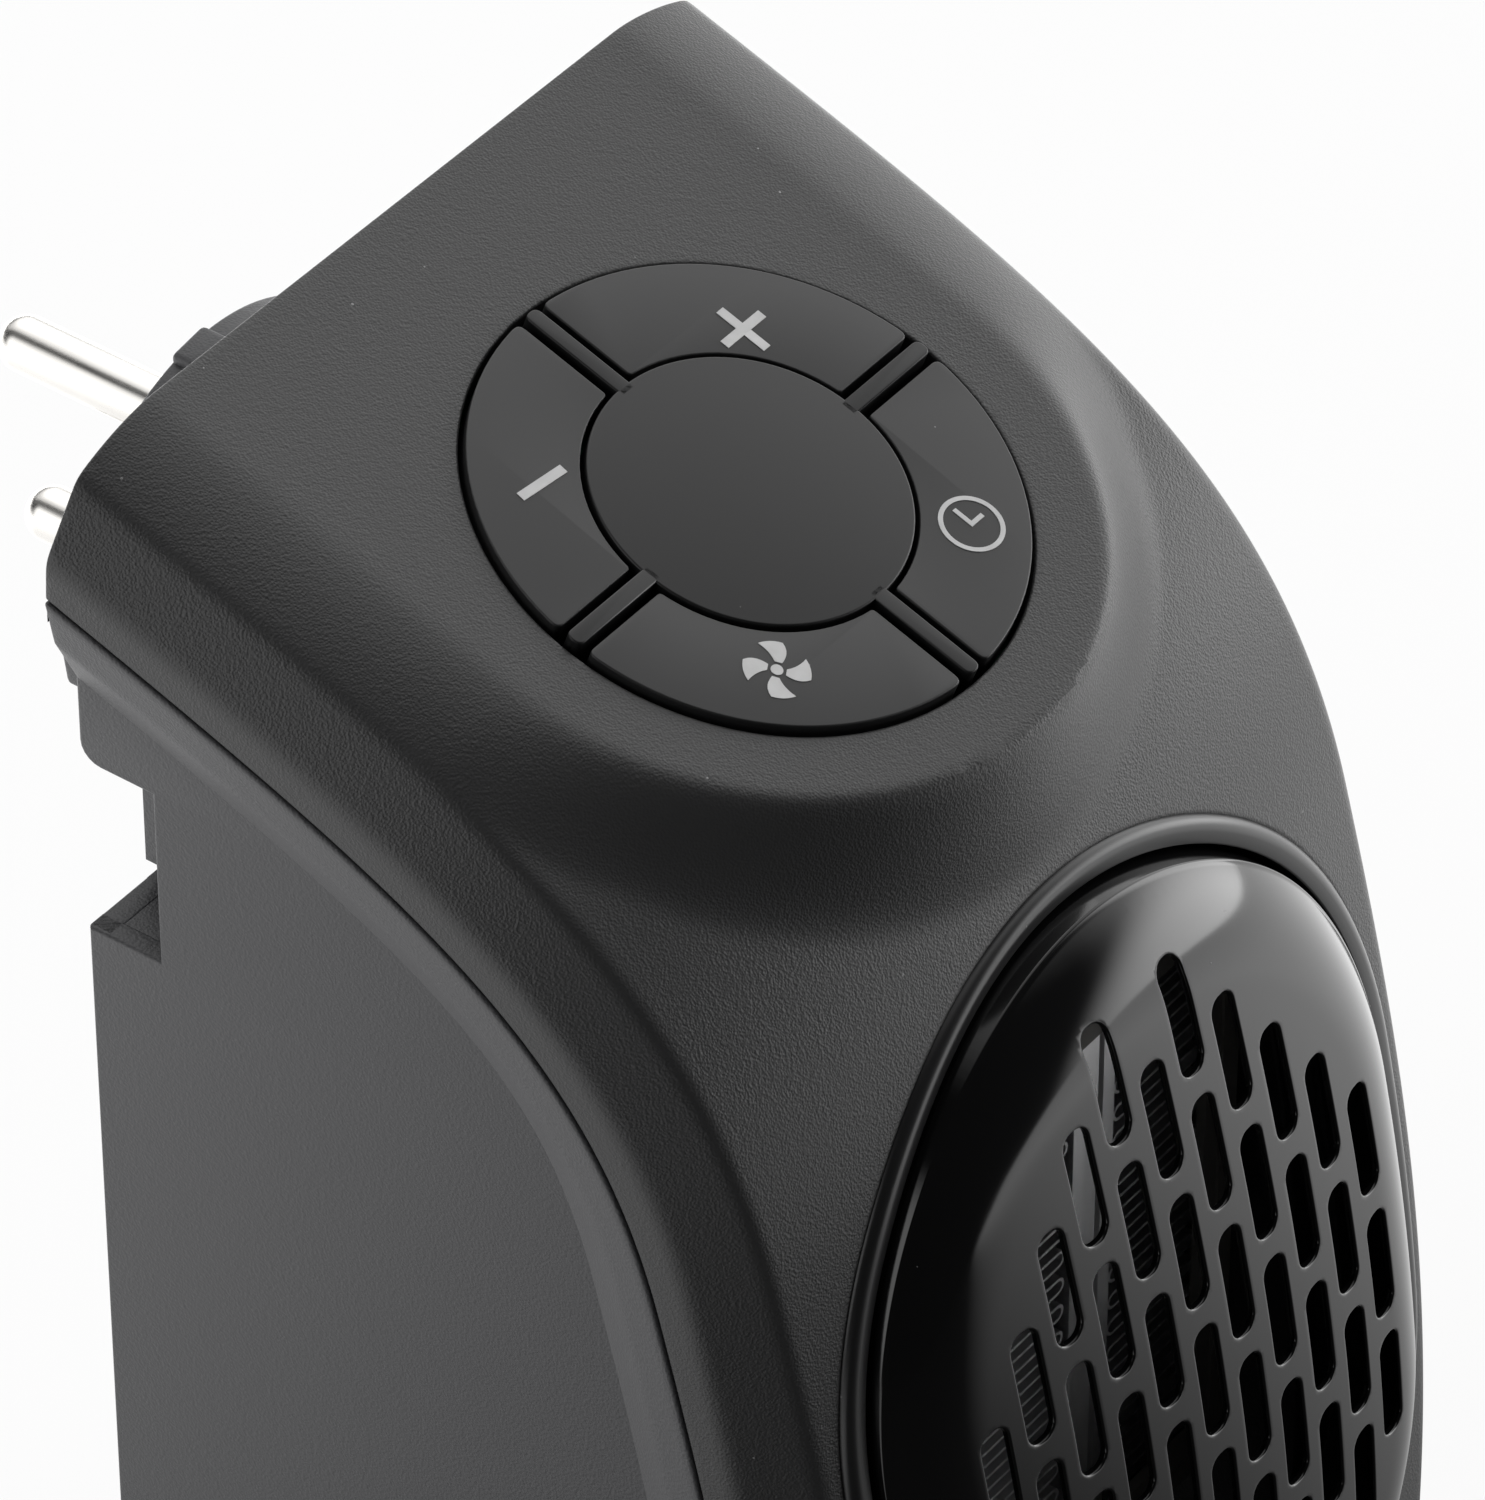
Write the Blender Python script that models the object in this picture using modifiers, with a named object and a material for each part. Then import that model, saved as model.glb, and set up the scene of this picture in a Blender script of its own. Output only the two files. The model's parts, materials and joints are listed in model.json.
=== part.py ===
"""Plug-in fan heater, built as an assembly of separate pieces.

Metres, +Z up. The grille looks along -Y, the plug leaves the back along +Y and +X is
the right-hand side of someone who faces the grille. The origin is under the middle of
the whole object's bounding box, on the flat base.
"""

import math

import bmesh
import bpy
from mathutils import Matrix, Vector

# Overall sizes
HEIGHT = 0.158
WIDTH = 0.0848
BODY_DEPTH = 0.0837
PLUG_DEPTH = 0.0171
PIN_LENGTH = 0.0222
WALL = 0.0022
GAP = 0.0003
OVERRUN = 0.004
WELD = 0.00001
SMOOTH = math.radians(35)
FLAT = math.radians(0.05)

# Control panel: a raised tongue with a round front end
PANEL_TILT = math.radians(19.14)
PANEL_TONGUE_SHARE = 0.75
RING_SETBACK = 0.0365
PANEL_FOOT_REACH = 0.034
PANEL_EDGE_SHARE = 0.25
LEAST_CLIMB_SHARE = 0.1

# Shoulders: the section that is swept round the side profile
SHOULDER_DROP = 0.0024
CREASE_INSET = 0.0044
FACET_INSET = 0.0002
FACET_DEPTH = 0.0052
RIM_DEPTH = 0.0084
FLARE_DEPTH = 0.016
BEND_SHARE = 0.9
SIDE_INSET = 0.0031
TONGUE_DEPTH = 0.0065
CROWN = 0.0033
COLUMN_SHARES = (0.2, 0.4, 0.56, 0.68, 0.75, 0.83, 0.91)

# Side profile: brow, nose and chin, with the handles of its curves
BROW_SETBACK = 0.0107
BROW_DROP = 0.051
BROW_LEAN = math.radians(15)
NOSE_HEIGHT = 0.034
CHIN_SETBACK = 0.0182
TOP_HANDLE_SHARES = (0.47, 0.37)
FRONT_HANDLE_SHARES = (0.31, 0.41)
CHIN_HANDLE_SHARES = (0.48, 0.26)
TOP_ROW_SHARES = (0.0, 0.12, 0.24, 0.36, 0.46, 0.54, 0.6, 0.65, 0.7, 0.75, 0.8, 0.86, 0.93)
FRONT_ROW_SHARES = (0.0, 0.14, 0.28, 0.42, 0.56, 0.7, 0.85)
CHIN_ROW_SHARES = (0.0, 0.2, 0.4, 0.6, 0.8)
BASE_ROW_SHARES = (0.0, 0.5)
PROFILE_STEPS = 40

# Key ring
WELL_SHARE = 0.807
KEY_CLEARANCE = 0.0004
KEY_PROUD = 0.001
KEY_DEPTH = 0.004
KEY_INNER_SHARE = 0.593
ARM_WIDTH = 0.0021
ARM_FOOT_DEPTH = 0.0024
SPIDER_RING_WIDTH = 0.0026
SPIDER_POST_RADIUS = 0.0018
ROUND_STEPS = 48
KEY_ARC_STEPS = 9

# Control board, switches and display
BOARD_CLEARANCE = 0.0095
BOARD_THICKNESS = 0.0016
BOARD_OVERHANG = 0.0008
BOARD_CORNER = 0.006
SWITCH_SIZE = 0.006
SWITCH_HEIGHT = 0.0034
SWITCH_NIB_RADIUS = 0.0016
KEY_REST_GAP = 0.0008
DISPLAY_WIDTH = 0.022
DISPLAY_LENGTH = 0.012

# Grille opening, trim ring and slotted disc
UPPER_ARC_DROP = 0.072
GRILLE_STRAIGHT = 0.0261
GRILLE_MARGIN = 0.006
BEZEL_CLEARANCE = 0.0004
BEZEL_WIDTH = 0.0021
BEZEL_PROUD = 0.0003
BEZEL_ROUND = 0.0006
BEZEL_DEPTH = 0.0055
GRILLE_CLEARANCE = 0.0006
GRILLE_PROUD = 0.0042
GRILLE_EDGE_SINK = 0.0006
GRILLE_THICKNESS = 0.002
GRILLE_RING_SHARES = (1.0, 0.975, 0.93, 0.86, 0.75, 0.5, 0.25)
RIM_RISE_SHARES = (0.0, 0.42, 0.72, 0.93, 1.0, 1.0, 1.0)
ARC_STEPS = 20
SLOT_PITCH = 0.004915
SLOT_RISE = 0.01222
SLOT_WIDTH = 0.0034
SLOT_LENGTH = 0.0104
SLOT_ROWS = (6, 7, 6, 5, 4, 3)
SLOT_END_STEPS = 3

# Heater pack behind the grille
HEATER_SETBACK_SHARE = 0.8071
HEATER_DEPTH_SHARE = 0.1575
HEATER_SIDE_MARGIN = 0.0143
HEATER_END_MARGIN = 0.0035
HEATER_FRAME_WALL = 0.0025
HEATER_FRAME_LIP = 0.0015
BAR_WIDTH = 0.0055
FIN_PITCH = 0.0029
FIN_SHEET = 0.0009

# Fan, motor and duct
SHROUD_MARGIN = 0.0062
FAN_DEPTH_SHARE = 0.1444
FAN_TIP_GAP = 0.0012
FAN_SETBACK_SHARE = 0.5577
HUB_CUP_RADIUS = 0.011
BLADE_COUNT = 7
BLADE_THICKNESS = 0.0014
BLADE_TWIST = math.radians(52)
DUCT_WALL = 0.0016
DUCT_MARGIN = 0.0022
DUCT_PLATE_THICKNESS = 0.002
MOTOR_RADIUS = 0.0125
MOTOR_LENGTH_SHARE = 0.1969
MOTOR_EDGE = 0.00125
SHAFT_RADIUS = 0.001
SHAFT_OVERHANG = 0.0009
BRACKET_THICKNESS = 0.0016
BRACKET_RING_DEPTH = 0.0032
BRACKET_ARM_WIDTH = 0.006
BRACKET_RING_WIDTH = 0.0022

# Plug: turning head with guide ribs, its neck in a carrier plate, pins, slip rings
PLUG_DROP = 0.0393
PLUG_TURN = math.radians(6.4)
PLUG_RADIUS = 0.019
PLUG_EDGE = 0.0008
PLUG_RIB_WIDTH = 0.0055
PLUG_RIB_DEPTH = 0.0028
PLUG_RIB_PROUD = 0.0016
CARRIER_CLEARANCE = 0.0016
CARRIER_HALF_HEIGHT = 0.019
CARRIER_THICKNESS = 0.004
NECK_RADIUS = 0.015
NECK_OVERHANG = 0.0003
PIN_RADIUS = 0.0024
PIN_SPACING = 0.019
PIN_TAIL = 0.016
RETAINER_RADIUS = 0.018
RETAINER_THICKNESS = 0.0016
SLIP_RING_RADII = ((0.0045, 0.0065), (0.0095, 0.0115))
SLIP_RING_THICKNESS = 0.0008
BRUSH_SIZE = 0.0014

# Rear housing: notches in its rear corners, air inlet, rails for boards
NOTCH_DROP = 0.029
NOTCH_HEIGHT = 0.0169
NOTCH_DEPTH = 0.0074
NOTCH_CORNER = 0.002
NOTCH_WIDTH = 0.0065
NOTCH_FOOT_WIDTH = 0.0095
NOTCH_FOOT_HEIGHT = 0.0019
RAIL_THICKNESS = 0.002
RAIL_GRIP = 0.004
INLET_COUNT = 11
INLET_PITCH = 0.005
INLET_WIDTH = 0.0026
INLET_LENGTH = 0.050

# Screws and their bosses
SCREW_INSET = 0.0113
SCREW_TOP_DROP = 0.0135
SCREW_BASE_RISE = 0.0068
SCREW_RADIUS = 0.0013
SCREW_LENGTH = 0.010
SCREW_HEAD_RADIUS = 0.0028
SCREW_HEAD_HEIGHT = 0.0014
SCREW_DOME_SHARE = 0.7
BOSS_HALF_WIDTH = 0.0032
BOSS_DEPTH = 0.009
CARRIER_SCREW_INSET = 0.0035
CARRIER_SCREW_BITE = 0.0014

# Power board and what stands on it
POWER_BOARD_SETBACK = 0.0245
POWER_BOARD_TOP_DROP = 0.0245
POWER_BOARD_HEIGHT = 0.029
POWER_BOARD_INSET = 0.0061
PART_INSET = 0.008
RELAY_SIZE = (0.015, 0.010, 0.012)
RELAY_RISE = 0.020
FUSE_RISE = 0.009
CAPACITOR_RADIUS = 0.005
CAPACITOR_LENGTH = 0.013
FUSE_RADIUS = 0.0025
FUSE_LENGTH = 0.016

# Rocker switch in the right-hand wall
ROCKER_SETBACK = 0.019
ROCKER_DROP = 0.072
ROCKER_LENGTH = 0.013
ROCKER_WIDTH = 0.009
ROCKER_TILT = math.radians(8)
ROCKER_BEZEL = 0.0018
ROCKER_BEZEL_PROUD = 0.001
ROCKER_BOX_DEPTH = 0.010
ROCKER_THICKNESS = 0.0028
ROCKER_PROUD = 0.0012
ROCKER_CLEARANCE = 0.0006

# Thermal cut-out and wiring
CUTOUT_RADIUS = 0.005
CUTOUT_HEIGHT = 0.0028
CUTOUT_CAP_SHARE = 0.7
LEAD_RADIUS = 0.0009
LEAD_BEND = 0.005
LEAD_LANDING = 0.003
LEAD_STEPS = 6
RIBBON_WIDTH = 0.008
RIBBON_THICKNESS = 0.0006
RIBBON_X = 0.012
LEAD_X = 0.0095

# Places worked out from the sizes above
BACK_Y = (BODY_DEPTH - PLUG_DEPTH - PIN_LENGTH) / 2
HALF_WIDTH = WIDTH / 2
CREASE_X = HALF_WIDTH - CREASE_INSET
SIDE_X = HALF_WIDTH - SIDE_INSET
NOSE_REACH = BODY_DEPTH - CROWN - GRILLE_PROUD
BROW_REACH = NOSE_REACH - BROW_SETBACK
CHIN_REACH = NOSE_REACH - CHIN_SETBACK
PANEL_HALF_WIDTH = CREASE_X * PANEL_TONGUE_SHARE
WELL_RADIUS = PANEL_HALF_WIDTH * WELL_SHARE
KEY_RADIUS = WELL_RADIUS - KEY_CLEARANCE
KEY_INNER_RADIUS = KEY_RADIUS * KEY_INNER_SHARE
HUB_RADIUS = KEY_INNER_RADIUS - KEY_CLEARANCE
ARM_REACH = KEY_RADIUS - KEY_CLEARANCE
SPIDER_RING_INNER = WELL_RADIUS + KEY_CLEARANCE
SPIDER_RING_OUTER = SPIDER_RING_INNER + SPIDER_RING_WIDTH
BOARD_HALF_WIDTH = WELL_RADIUS + BOARD_OVERHANG
KEY_CENTRE_RADIUS = (KEY_RADIUS + KEY_INNER_RADIUS) / 2
POST_CENTRE_RADIUS = (SPIDER_RING_INNER + SPIDER_RING_OUTER) / 2
OPENING_RADIUS = HALF_WIDTH - GRILLE_MARGIN
BEZEL_RADIUS = OPENING_RADIUS - BEZEL_CLEARANCE
BEZEL_INNER_RADIUS = BEZEL_RADIUS - BEZEL_WIDTH
GRILLE_RADIUS = BEZEL_INNER_RADIUS - GRILLE_CLEARANCE
SCREW_X = SIDE_X - SCREW_INSET
CARRIER_HALF_WIDTH = SIDE_X - NOTCH_FOOT_WIDTH - WALL - CARRIER_CLEARANCE
POWER_BOARD_WIDTH = 2 * (SIDE_X - WALL - POWER_BOARD_INSET)
PANEL_COS = math.cos(PANEL_TILT)
PANEL_SIN = math.sin(PANEL_TILT)
UPPER_ARC_Z = HEIGHT - UPPER_ARC_DROP
LOWER_ARC_Z = UPPER_ARC_Z - GRILLE_STRAIGHT
GRILLE_Z = (UPPER_ARC_Z + LOWER_ARC_Z) / 2
PLUG_Z = HEIGHT - PLUG_DROP
INNER_BACK_Y = BACK_Y - WALL
PANEL_BACK_TOP = HEIGHT - (WALL + GAP) / PANEL_COS
HEATER_DEPTH = NOSE_REACH * HEATER_DEPTH_SHARE
HEATER_FRONT_Y = BACK_Y - NOSE_REACH * HEATER_SETBACK_SHARE
HEATER_BACK_Y = HEATER_FRONT_Y + HEATER_DEPTH
FAN_Y = BACK_Y - NOSE_REACH * FAN_SETBACK_SHARE
FAN_DEPTH = NOSE_REACH * FAN_DEPTH_SHARE
MOTOR_LENGTH = NOSE_REACH * MOTOR_LENGTH_SHARE
DUCT_FRONT_Y = HEATER_BACK_Y + HEATER_FRAME_LIP + GAP
POWER_BOARD_Y = BACK_Y - POWER_BOARD_SETBACK
POWER_BOARD_TOP = HEIGHT - POWER_BOARD_TOP_DROP
DUCT_HALF_WIDTH = SIDE_X - WALL - GAP - GAP
FAN_RADIUS = DUCT_HALF_WIDTH - SHROUD_MARGIN - DUCT_WALL - FAN_TIP_GAP
DUCT_PLATE_HEIGHT = 2 * (FAN_RADIUS + FAN_TIP_GAP + DUCT_WALL + DUCT_MARGIN)
HEATER_HEIGHT = DUCT_PLATE_HEIGHT - HEATER_END_MARGIN - HEATER_END_MARGIN
HEATER_WIDTH = 2 * (SIDE_X - HEATER_SIDE_MARGIN)
NOTCH_LOW = HEIGHT - NOTCH_DROP - NOTCH_HEIGHT
SIDES = ((-1, "left"), (1, "right"))

PARTS = "plug_in_fan_heater"
CUTTERS = "cutters"


def clear_scene():
    """Empty the scene and make the two collections."""
    for item in list(bpy.data.objects):
        bpy.data.objects.remove(item, do_unlink=True)
    for name in (PARTS, CUTTERS):
        old = bpy.data.collections.get(name)
        if old is not None:
            bpy.data.collections.remove(old)
        bpy.context.scene.collection.children.link(bpy.data.collections.new(name))


def finish(name, colour, roughness, metallic=0.0):
    """A plain Principled material."""
    material = bpy.data.materials.get(name) or bpy.data.materials.new(name)
    material.use_nodes = True
    shader = material.node_tree.nodes["Principled BSDF"]
    shader.inputs["Base Color"].default_value = (*colour, 1)
    shader.inputs["Roughness"].default_value = roughness
    shader.inputs["Metallic"].default_value = metallic
    return material


def make_finishes():
    """Every finish on the heater, by name."""
    return {
        "shell": finish("shell_plastic", (0.035, 0.035, 0.037), 0.55),
        "housing": finish("housing_plastic", (0.075, 0.076, 0.08), 0.6),
        "hub": finish("hub_plastic", (0.022, 0.022, 0.023), 0.4),
        "key": finish("key_plastic", (0.045, 0.045, 0.047), 0.5),
        "gloss": finish("gloss_black", (0.008, 0.008, 0.009), 0.12),
        "satin": finish("satin_black", (0.02, 0.02, 0.022), 0.3),
        "nickel": finish("nickel", (0.72, 0.71, 0.68), 0.25, 1.0),
        "steel": finish("steel", (0.6, 0.6, 0.62), 0.35, 1.0),
        "aluminium": finish("aluminium", (0.78, 0.78, 0.79), 0.35, 1.0),
        "copper": finish("copper", (0.72, 0.38, 0.2), 0.35, 1.0),
        "board": finish("circuit_board", (0.02, 0.16, 0.06), 0.5),
        "dark": finish("black_component", (0.03, 0.03, 0.03), 0.5),
        "pale": finish("heat_resin", (0.72, 0.69, 0.6), 0.6),
        "blue": finish("blue_sleeve", (0.05, 0.16, 0.4), 0.4),
        "red": finish("red_lead", (0.45, 0.03, 0.03), 0.45),
        "white": finish("white_lead", (0.75, 0.75, 0.73), 0.45),
        "glass": finish("fuse_glass", (0.8, 0.85, 0.83), 0.1),
    }


def frame_of(x_axis, y_axis, z_axis, origin=(0, 0, 0)):
    """Matrix of a frame from its three axes and its origin."""
    turn = Matrix((x_axis, y_axis, z_axis)).transposed().to_4x4()
    return Matrix.Translation(origin) @ turn


def on_panel(x, fall, rise):
    """World point: fall runs down the panel from the key ring's centre, rise stands off it."""
    along = RING_SETBACK + fall
    y = BACK_Y - along * PANEL_COS - rise * PANEL_SIN
    z = HEIGHT - along * PANEL_SIN + rise * PANEL_COS
    return Vector((x, y, z))


# Local axes of flat pieces: drawn as seen from the front, from the side and on the panel
FRONT_VIEW = frame_of((1, 0, 0), (0, 0, 1), (0, -1, 0))
SIDE_VIEW = frame_of((0, 1, 0), (0, 0, 1), (1, 0, 0))
WORLD = Matrix.Identity(4)
PANEL_VIEW = frame_of(
    (1, 0, 0), (0, PANEL_COS, PANEL_SIN), (0, -PANEL_SIN, PANEL_COS), on_panel(0, 0, 0)
)
ALONG_Y = frame_of((1, 0, 0), (0, 0, -1), (0, 1, 0))


def add_object(name, mesh, frame, material, smooth_angle=None):
    """Link a mesh as an object of the heater."""
    item = bpy.data.objects.new(name, mesh)
    bpy.data.collections[PARTS].objects.link(item)
    item.matrix_world = frame
    if material is not None:
        mesh.materials.clear()
        mesh.materials.append(material)
    if smooth_angle is not None:
        mesh.shade_smooth()
        mesh.set_sharp_from_angle(angle=smooth_angle)
    return item


def tidy_mesh(build, name):
    """Weld a bmesh, turn its faces outwards and give its mesh."""
    bmesh.ops.remove_doubles(build, verts=build.verts, dist=WELD)
    bmesh.ops.recalc_face_normals(build, faces=build.faces)
    if build.calc_volume(signed=True) < 0:
        bmesh.ops.reverse_faces(build, faces=build.faces)
    mesh = bpy.data.meshes.new(name)
    build.to_mesh(mesh)
    build.free()
    return mesh


def box(name, low, high, frame=WORLD, material=None):
    """Box between two corners of a frame."""
    build = bmesh.new()
    bmesh.ops.create_cube(build, size=1)
    low, high = Vector(low), Vector(high)
    for vert in build.verts:
        vert.co = low + (high - low) * 0.5 + Vector(
            share * side for share, side in zip(vert.co, high - low)
        )
    return add_object(name, tidy_mesh(build, name), frame, material)


def rod(name, radius, low, high, frame, centre=(0, 0), material=None, steps=24, tip=None):
    """Cylinder or cone along a frame's Z axis."""
    build = bmesh.new()
    bmesh.ops.create_cone(
        build, cap_ends=True, segments=steps, radius1=radius,
        radius2=radius if tip is None else tip, depth=high - low,
    )
    bmesh.ops.translate(build, verts=build.verts, vec=(*centre, (low + high) / 2))
    return add_object(name, tidy_mesh(build, name), frame, material, SMOOTH)


def plate(name, loops, low, high, frame, material=None, smooth_angle=None):
    """Flat solid between two levels of a frame, filled between its outlines."""
    curve = bpy.data.curves.new(name, "CURVE")
    curve.dimensions = "2D"
    curve.fill_mode = "BOTH"
    curve.extrude = (high - low) / 2
    for loop in loops:
        spline = curve.splines.new("POLY")
        spline.points.add(len(loop) - 1)
        spline.use_cyclic_u = True
        for point, (across, up) in zip(spline.points, loop):
            point.co = (across, up, 0, 1)
    outline = bpy.data.objects.new(name + "_outline", curve)
    bpy.data.collections[PARTS].objects.link(outline)
    bpy.context.view_layer.update()
    depsgraph = bpy.context.evaluated_depsgraph_get()
    mesh = bpy.data.meshes.new_from_object(outline.evaluated_get(depsgraph))
    bpy.data.objects.remove(outline, do_unlink=True)
    bpy.data.curves.remove(curve)
    mesh.transform(Matrix.Translation((0, 0, (low + high) / 2)))
    build = bmesh.new()
    build.from_mesh(mesh)
    bpy.data.meshes.remove(mesh)
    bmesh.ops.remove_doubles(build, verts=build.verts, dist=WELD)
    bmesh.ops.dissolve_limit(build, angle_limit=FLAT, verts=build.verts, edges=build.edges)
    return add_object(name, tidy_mesh(build, name), frame, material, smooth_angle)


def turned(name, profile, frame, material=None, steps=32):
    """Turned piece: (radius, height) points run from top to bottom down the outer side."""
    mesh = bpy.data.meshes.new(name)
    points = [(radius, 0, height) for radius, height in profile]
    mesh.from_pydata(points, [(i, i + 1) for i in range(len(points) - 1)], [])
    item = add_object(name, mesh, frame, material)
    screw = item.modifiers.new("turn", "SCREW")
    screw.axis = "Z"
    screw.steps = steps
    screw.render_steps = steps
    screw.use_merge_vertices = True
    screw.merge_threshold = WELD
    screw.use_smooth_shade = True
    return item


def loft(name, sections, frame, material=None, closed=False, smooth_angle=None):
    """Solid through like loops of points; a closed loft joins its last loop to its first."""
    build = bmesh.new()
    rings = [[build.verts.new(point) for point in section] for section in sections]
    pairs = list(zip(rings, rings[1:]))
    if closed:
        pairs.append((rings[-1], rings[0]))
    for one, two in pairs:
        for i, vert in enumerate(one):
            after = (i + 1) % len(one)
            build.faces.new((vert, one[after], two[after], two[i]))
    if not closed:
        build.faces.new(rings[0])
        build.faces.new(rings[-1])
    return add_object(name, tidy_mesh(build, name), frame, material, smooth_angle)


def tube(name, points, radius, material):
    """Round lead through a chain of points."""
    curve = bpy.data.curves.new(name, "CURVE")
    curve.dimensions = "3D"
    curve.bevel_depth = radius
    curve.bevel_resolution = 2
    curve.use_fill_caps = True
    curve.materials.append(material)
    spline = curve.splines.new("POLY")
    spline.points.add(len(points) - 1)
    for spot, point in zip(spline.points, points):
        spot.co = (*point, 1)
    item = bpy.data.objects.new(name, curve)
    bpy.data.collections[PARTS].objects.link(item)
    return item


def combine(target, tools, operation):
    """Boolean modifiers on a piece; the tools move to the cutters' collection."""
    for tool in tools:
        modifier = target.modifiers.new(tool.name, "BOOLEAN")
        modifier.operation = operation
        modifier.solver = "EXACT"
        modifier.object = tool
        tool.hide_render = True
        tool.display_type = "WIRE"
        bpy.data.collections[PARTS].objects.unlink(tool)
        bpy.data.collections[CUTTERS].objects.link(tool)
    return target


def fuse(target, *tools):
    return combine(target, tools, "UNION")


def carve(target, *tools):
    return combine(target, tools, "DIFFERENCE")


def arc(radius, start, end, steps, centre=(0, 0)):
    """Points of an arc, both ends included."""
    return [
        (
            centre[0] + radius * math.cos(start + (end - start) * i / steps),
            centre[1] + radius * math.sin(start + (end - start) * i / steps),
        )
        for i in range(steps + 1)
    ]


def circle(radius, steps, centre=(0, 0)):
    return arc(radius, 0, math.tau, steps, centre)[:-1]


def stadium(radius, low, high, steps, across=0):
    """Upright outline with round ends about two heights, anticlockwise."""
    upper = arc(radius, 0, math.pi, steps, (across, high))
    lower = arc(radius, math.pi, math.tau, steps, (across, low))
    return upper + lower


def rounded_square(half, corner, steps=3):
    """Square outline with round corners, anticlockwise."""
    inner = half - corner
    loop = []
    for i, (sx, sy) in enumerate(((1, 1), (-1, 1), (-1, -1), (1, -1))):
        start = i * math.pi / 2
        loop += arc(corner, start, start + math.pi / 2, steps, (sx * inner, sy * inner))
    return loop


# Outer form


def bezier(points, share):
    """Point and tangent of a cubic curve."""
    rest = 1 - share
    a, b, c, d = (Vector(point) for point in points)
    place = a * rest**3 + b * 3 * rest**2 * share + c * 3 * rest * share**2 + d * share**3
    slope = (b - a) * rest**2 + (c - b) * 2 * rest * share + (d - c) * share**2
    return place, slope.normalized()


def profile_pieces():
    """Handles of the three curved stretches of the side profile, as (y, z)."""
    top = Vector((BACK_Y, HEIGHT - SHOULDER_DROP))
    brow = Vector((BACK_Y - BROW_REACH, HEIGHT - BROW_DROP))
    nose = Vector((BACK_Y - NOSE_REACH, NOSE_HEIGHT))
    chin = Vector((BACK_Y - CHIN_REACH, 0))
    down_panel = Vector((-PANEL_COS, -PANEL_SIN))
    down_brow = Vector((-math.sin(BROW_LEAN), -math.cos(BROW_LEAN)))
    down = Vector((0, -1))
    back = Vector((1, 0))
    pieces = []
    for start, end, leave, arrive, shares in (
        (top, brow, down_panel, down_brow, TOP_HANDLE_SHARES),
        (brow, nose, down_brow, down, FRONT_HANDLE_SHARES),
        (nose, chin, down, back, CHIN_HANDLE_SHARES),
    ):
        chord = (end - start).length
        pieces.append((start, start + leave * chord * shares[0], end - arrive * chord * shares[1], end))
    return pieces


PIECES = profile_pieces()


def profile(stretch, share):
    """Point and outward normal of the shoulder line; stretch 3 is the flat base."""
    if stretch == 3:
        start = PIECES[2][3]
        place = start + (Vector((BACK_Y, 0)) - start) * share
        tangent = Vector((1, 0))
    else:
        place, tangent = bezier(PIECES[stretch], share)
    return place, Vector((tangent.y, -tangent.x))


def row_list(overrun=OVERRUN):
    """Rows of the sweep as (point, normal, crown share), with an overrun past the back."""
    rows = []
    for stretch, shares in enumerate(
        (TOP_ROW_SHARES, FRONT_ROW_SHARES, CHIN_ROW_SHARES, BASE_ROW_SHARES)
    ):
        for share in shares:
            place, normal = profile(stretch, share)
            fade = {2: 1 - share * share * (3 - 2 * share), 3: 0}.get(stretch, 1)
            rows.append((place, normal, fade))
    first, normal, fade = rows[0]
    tangent = Vector((-normal.y, normal.x))
    rows.insert(0, (first - tangent * overrun, normal, fade))
    rows.append((Vector((BACK_Y, 0)), Vector((0, -1)), 0))
    rows.append((Vector((BACK_Y + overrun, 0)), Vector((0, -1)), 0))
    return rows


def panel_blend(x, fall):
    """Share of the drop below the panel: none on the tongue, all at its foot."""
    if fall <= 0:
        beyond = abs(x) - PANEL_HALF_WIDTH
        span = CREASE_X - PANEL_HALF_WIDTH
    else:
        reach = math.hypot(x, fall)
        beyond = reach - PANEL_HALF_WIDTH
        foot = 1 / math.hypot(x / reach / CREASE_X, fall / reach / PANEL_FOOT_REACH)
        span = foot - PANEL_HALF_WIDTH
    part = min(1, max(0, beyond / span))
    soft = PANEL_EDGE_SHARE
    return (math.hypot(part, soft) - soft) / (math.hypot(1, soft) - soft)


def crown_at(x):
    return CROWN * (1 - min(1, abs(x) / CREASE_X) ** 2)


def lift_at(x, place, normal, fade):
    """How far the skin stands off the shoulder line in one row, out to the panel's tongue."""
    crown = crown_at(x) * fade
    panel_normal = Vector((-PANEL_SIN, PANEL_COS))
    down_panel = Vector((-PANEL_COS, -PANEL_SIN))
    centre = on_panel(0, 0, 0)
    offset = place - Vector((centre.y, centre.z))
    fall, rise = offset.dot(down_panel), offset.dot(panel_normal)
    lean, climb = normal.dot(down_panel), normal.dot(panel_normal)
    if climb <= LEAST_CLIMB_SHARE or fall > PANEL_FOOT_REACH or rise >= 0:
        return crown
    skin_rise = rise + crown * climb
    low, high = 0, -rise / climb
    for _ in range(PROFILE_STEPS):
        middle = (low + high) / 2
        drop = panel_blend(x, fall + middle * lean) * skin_rise
        if rise + middle * climb < drop:
            low = middle
        else:
            high = middle
    return (low + high) / 2


def column_list():
    """Places across the skin between the two creases."""
    right = [CREASE_X * share for share in COLUMN_SHARES] + [CREASE_X]
    return [-x for x in reversed(right)] + [0] + right


def skin_point(x, row, lift=0):
    place, normal, fade = row
    spot = place + normal * (lift_at(x, place, normal, fade) + lift)
    return (x, spot.x, spot.y)


def section_point(x, depth, row):
    place, normal, _ = row
    spot = place - normal * depth
    return (x, spot.x, spot.y)


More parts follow.
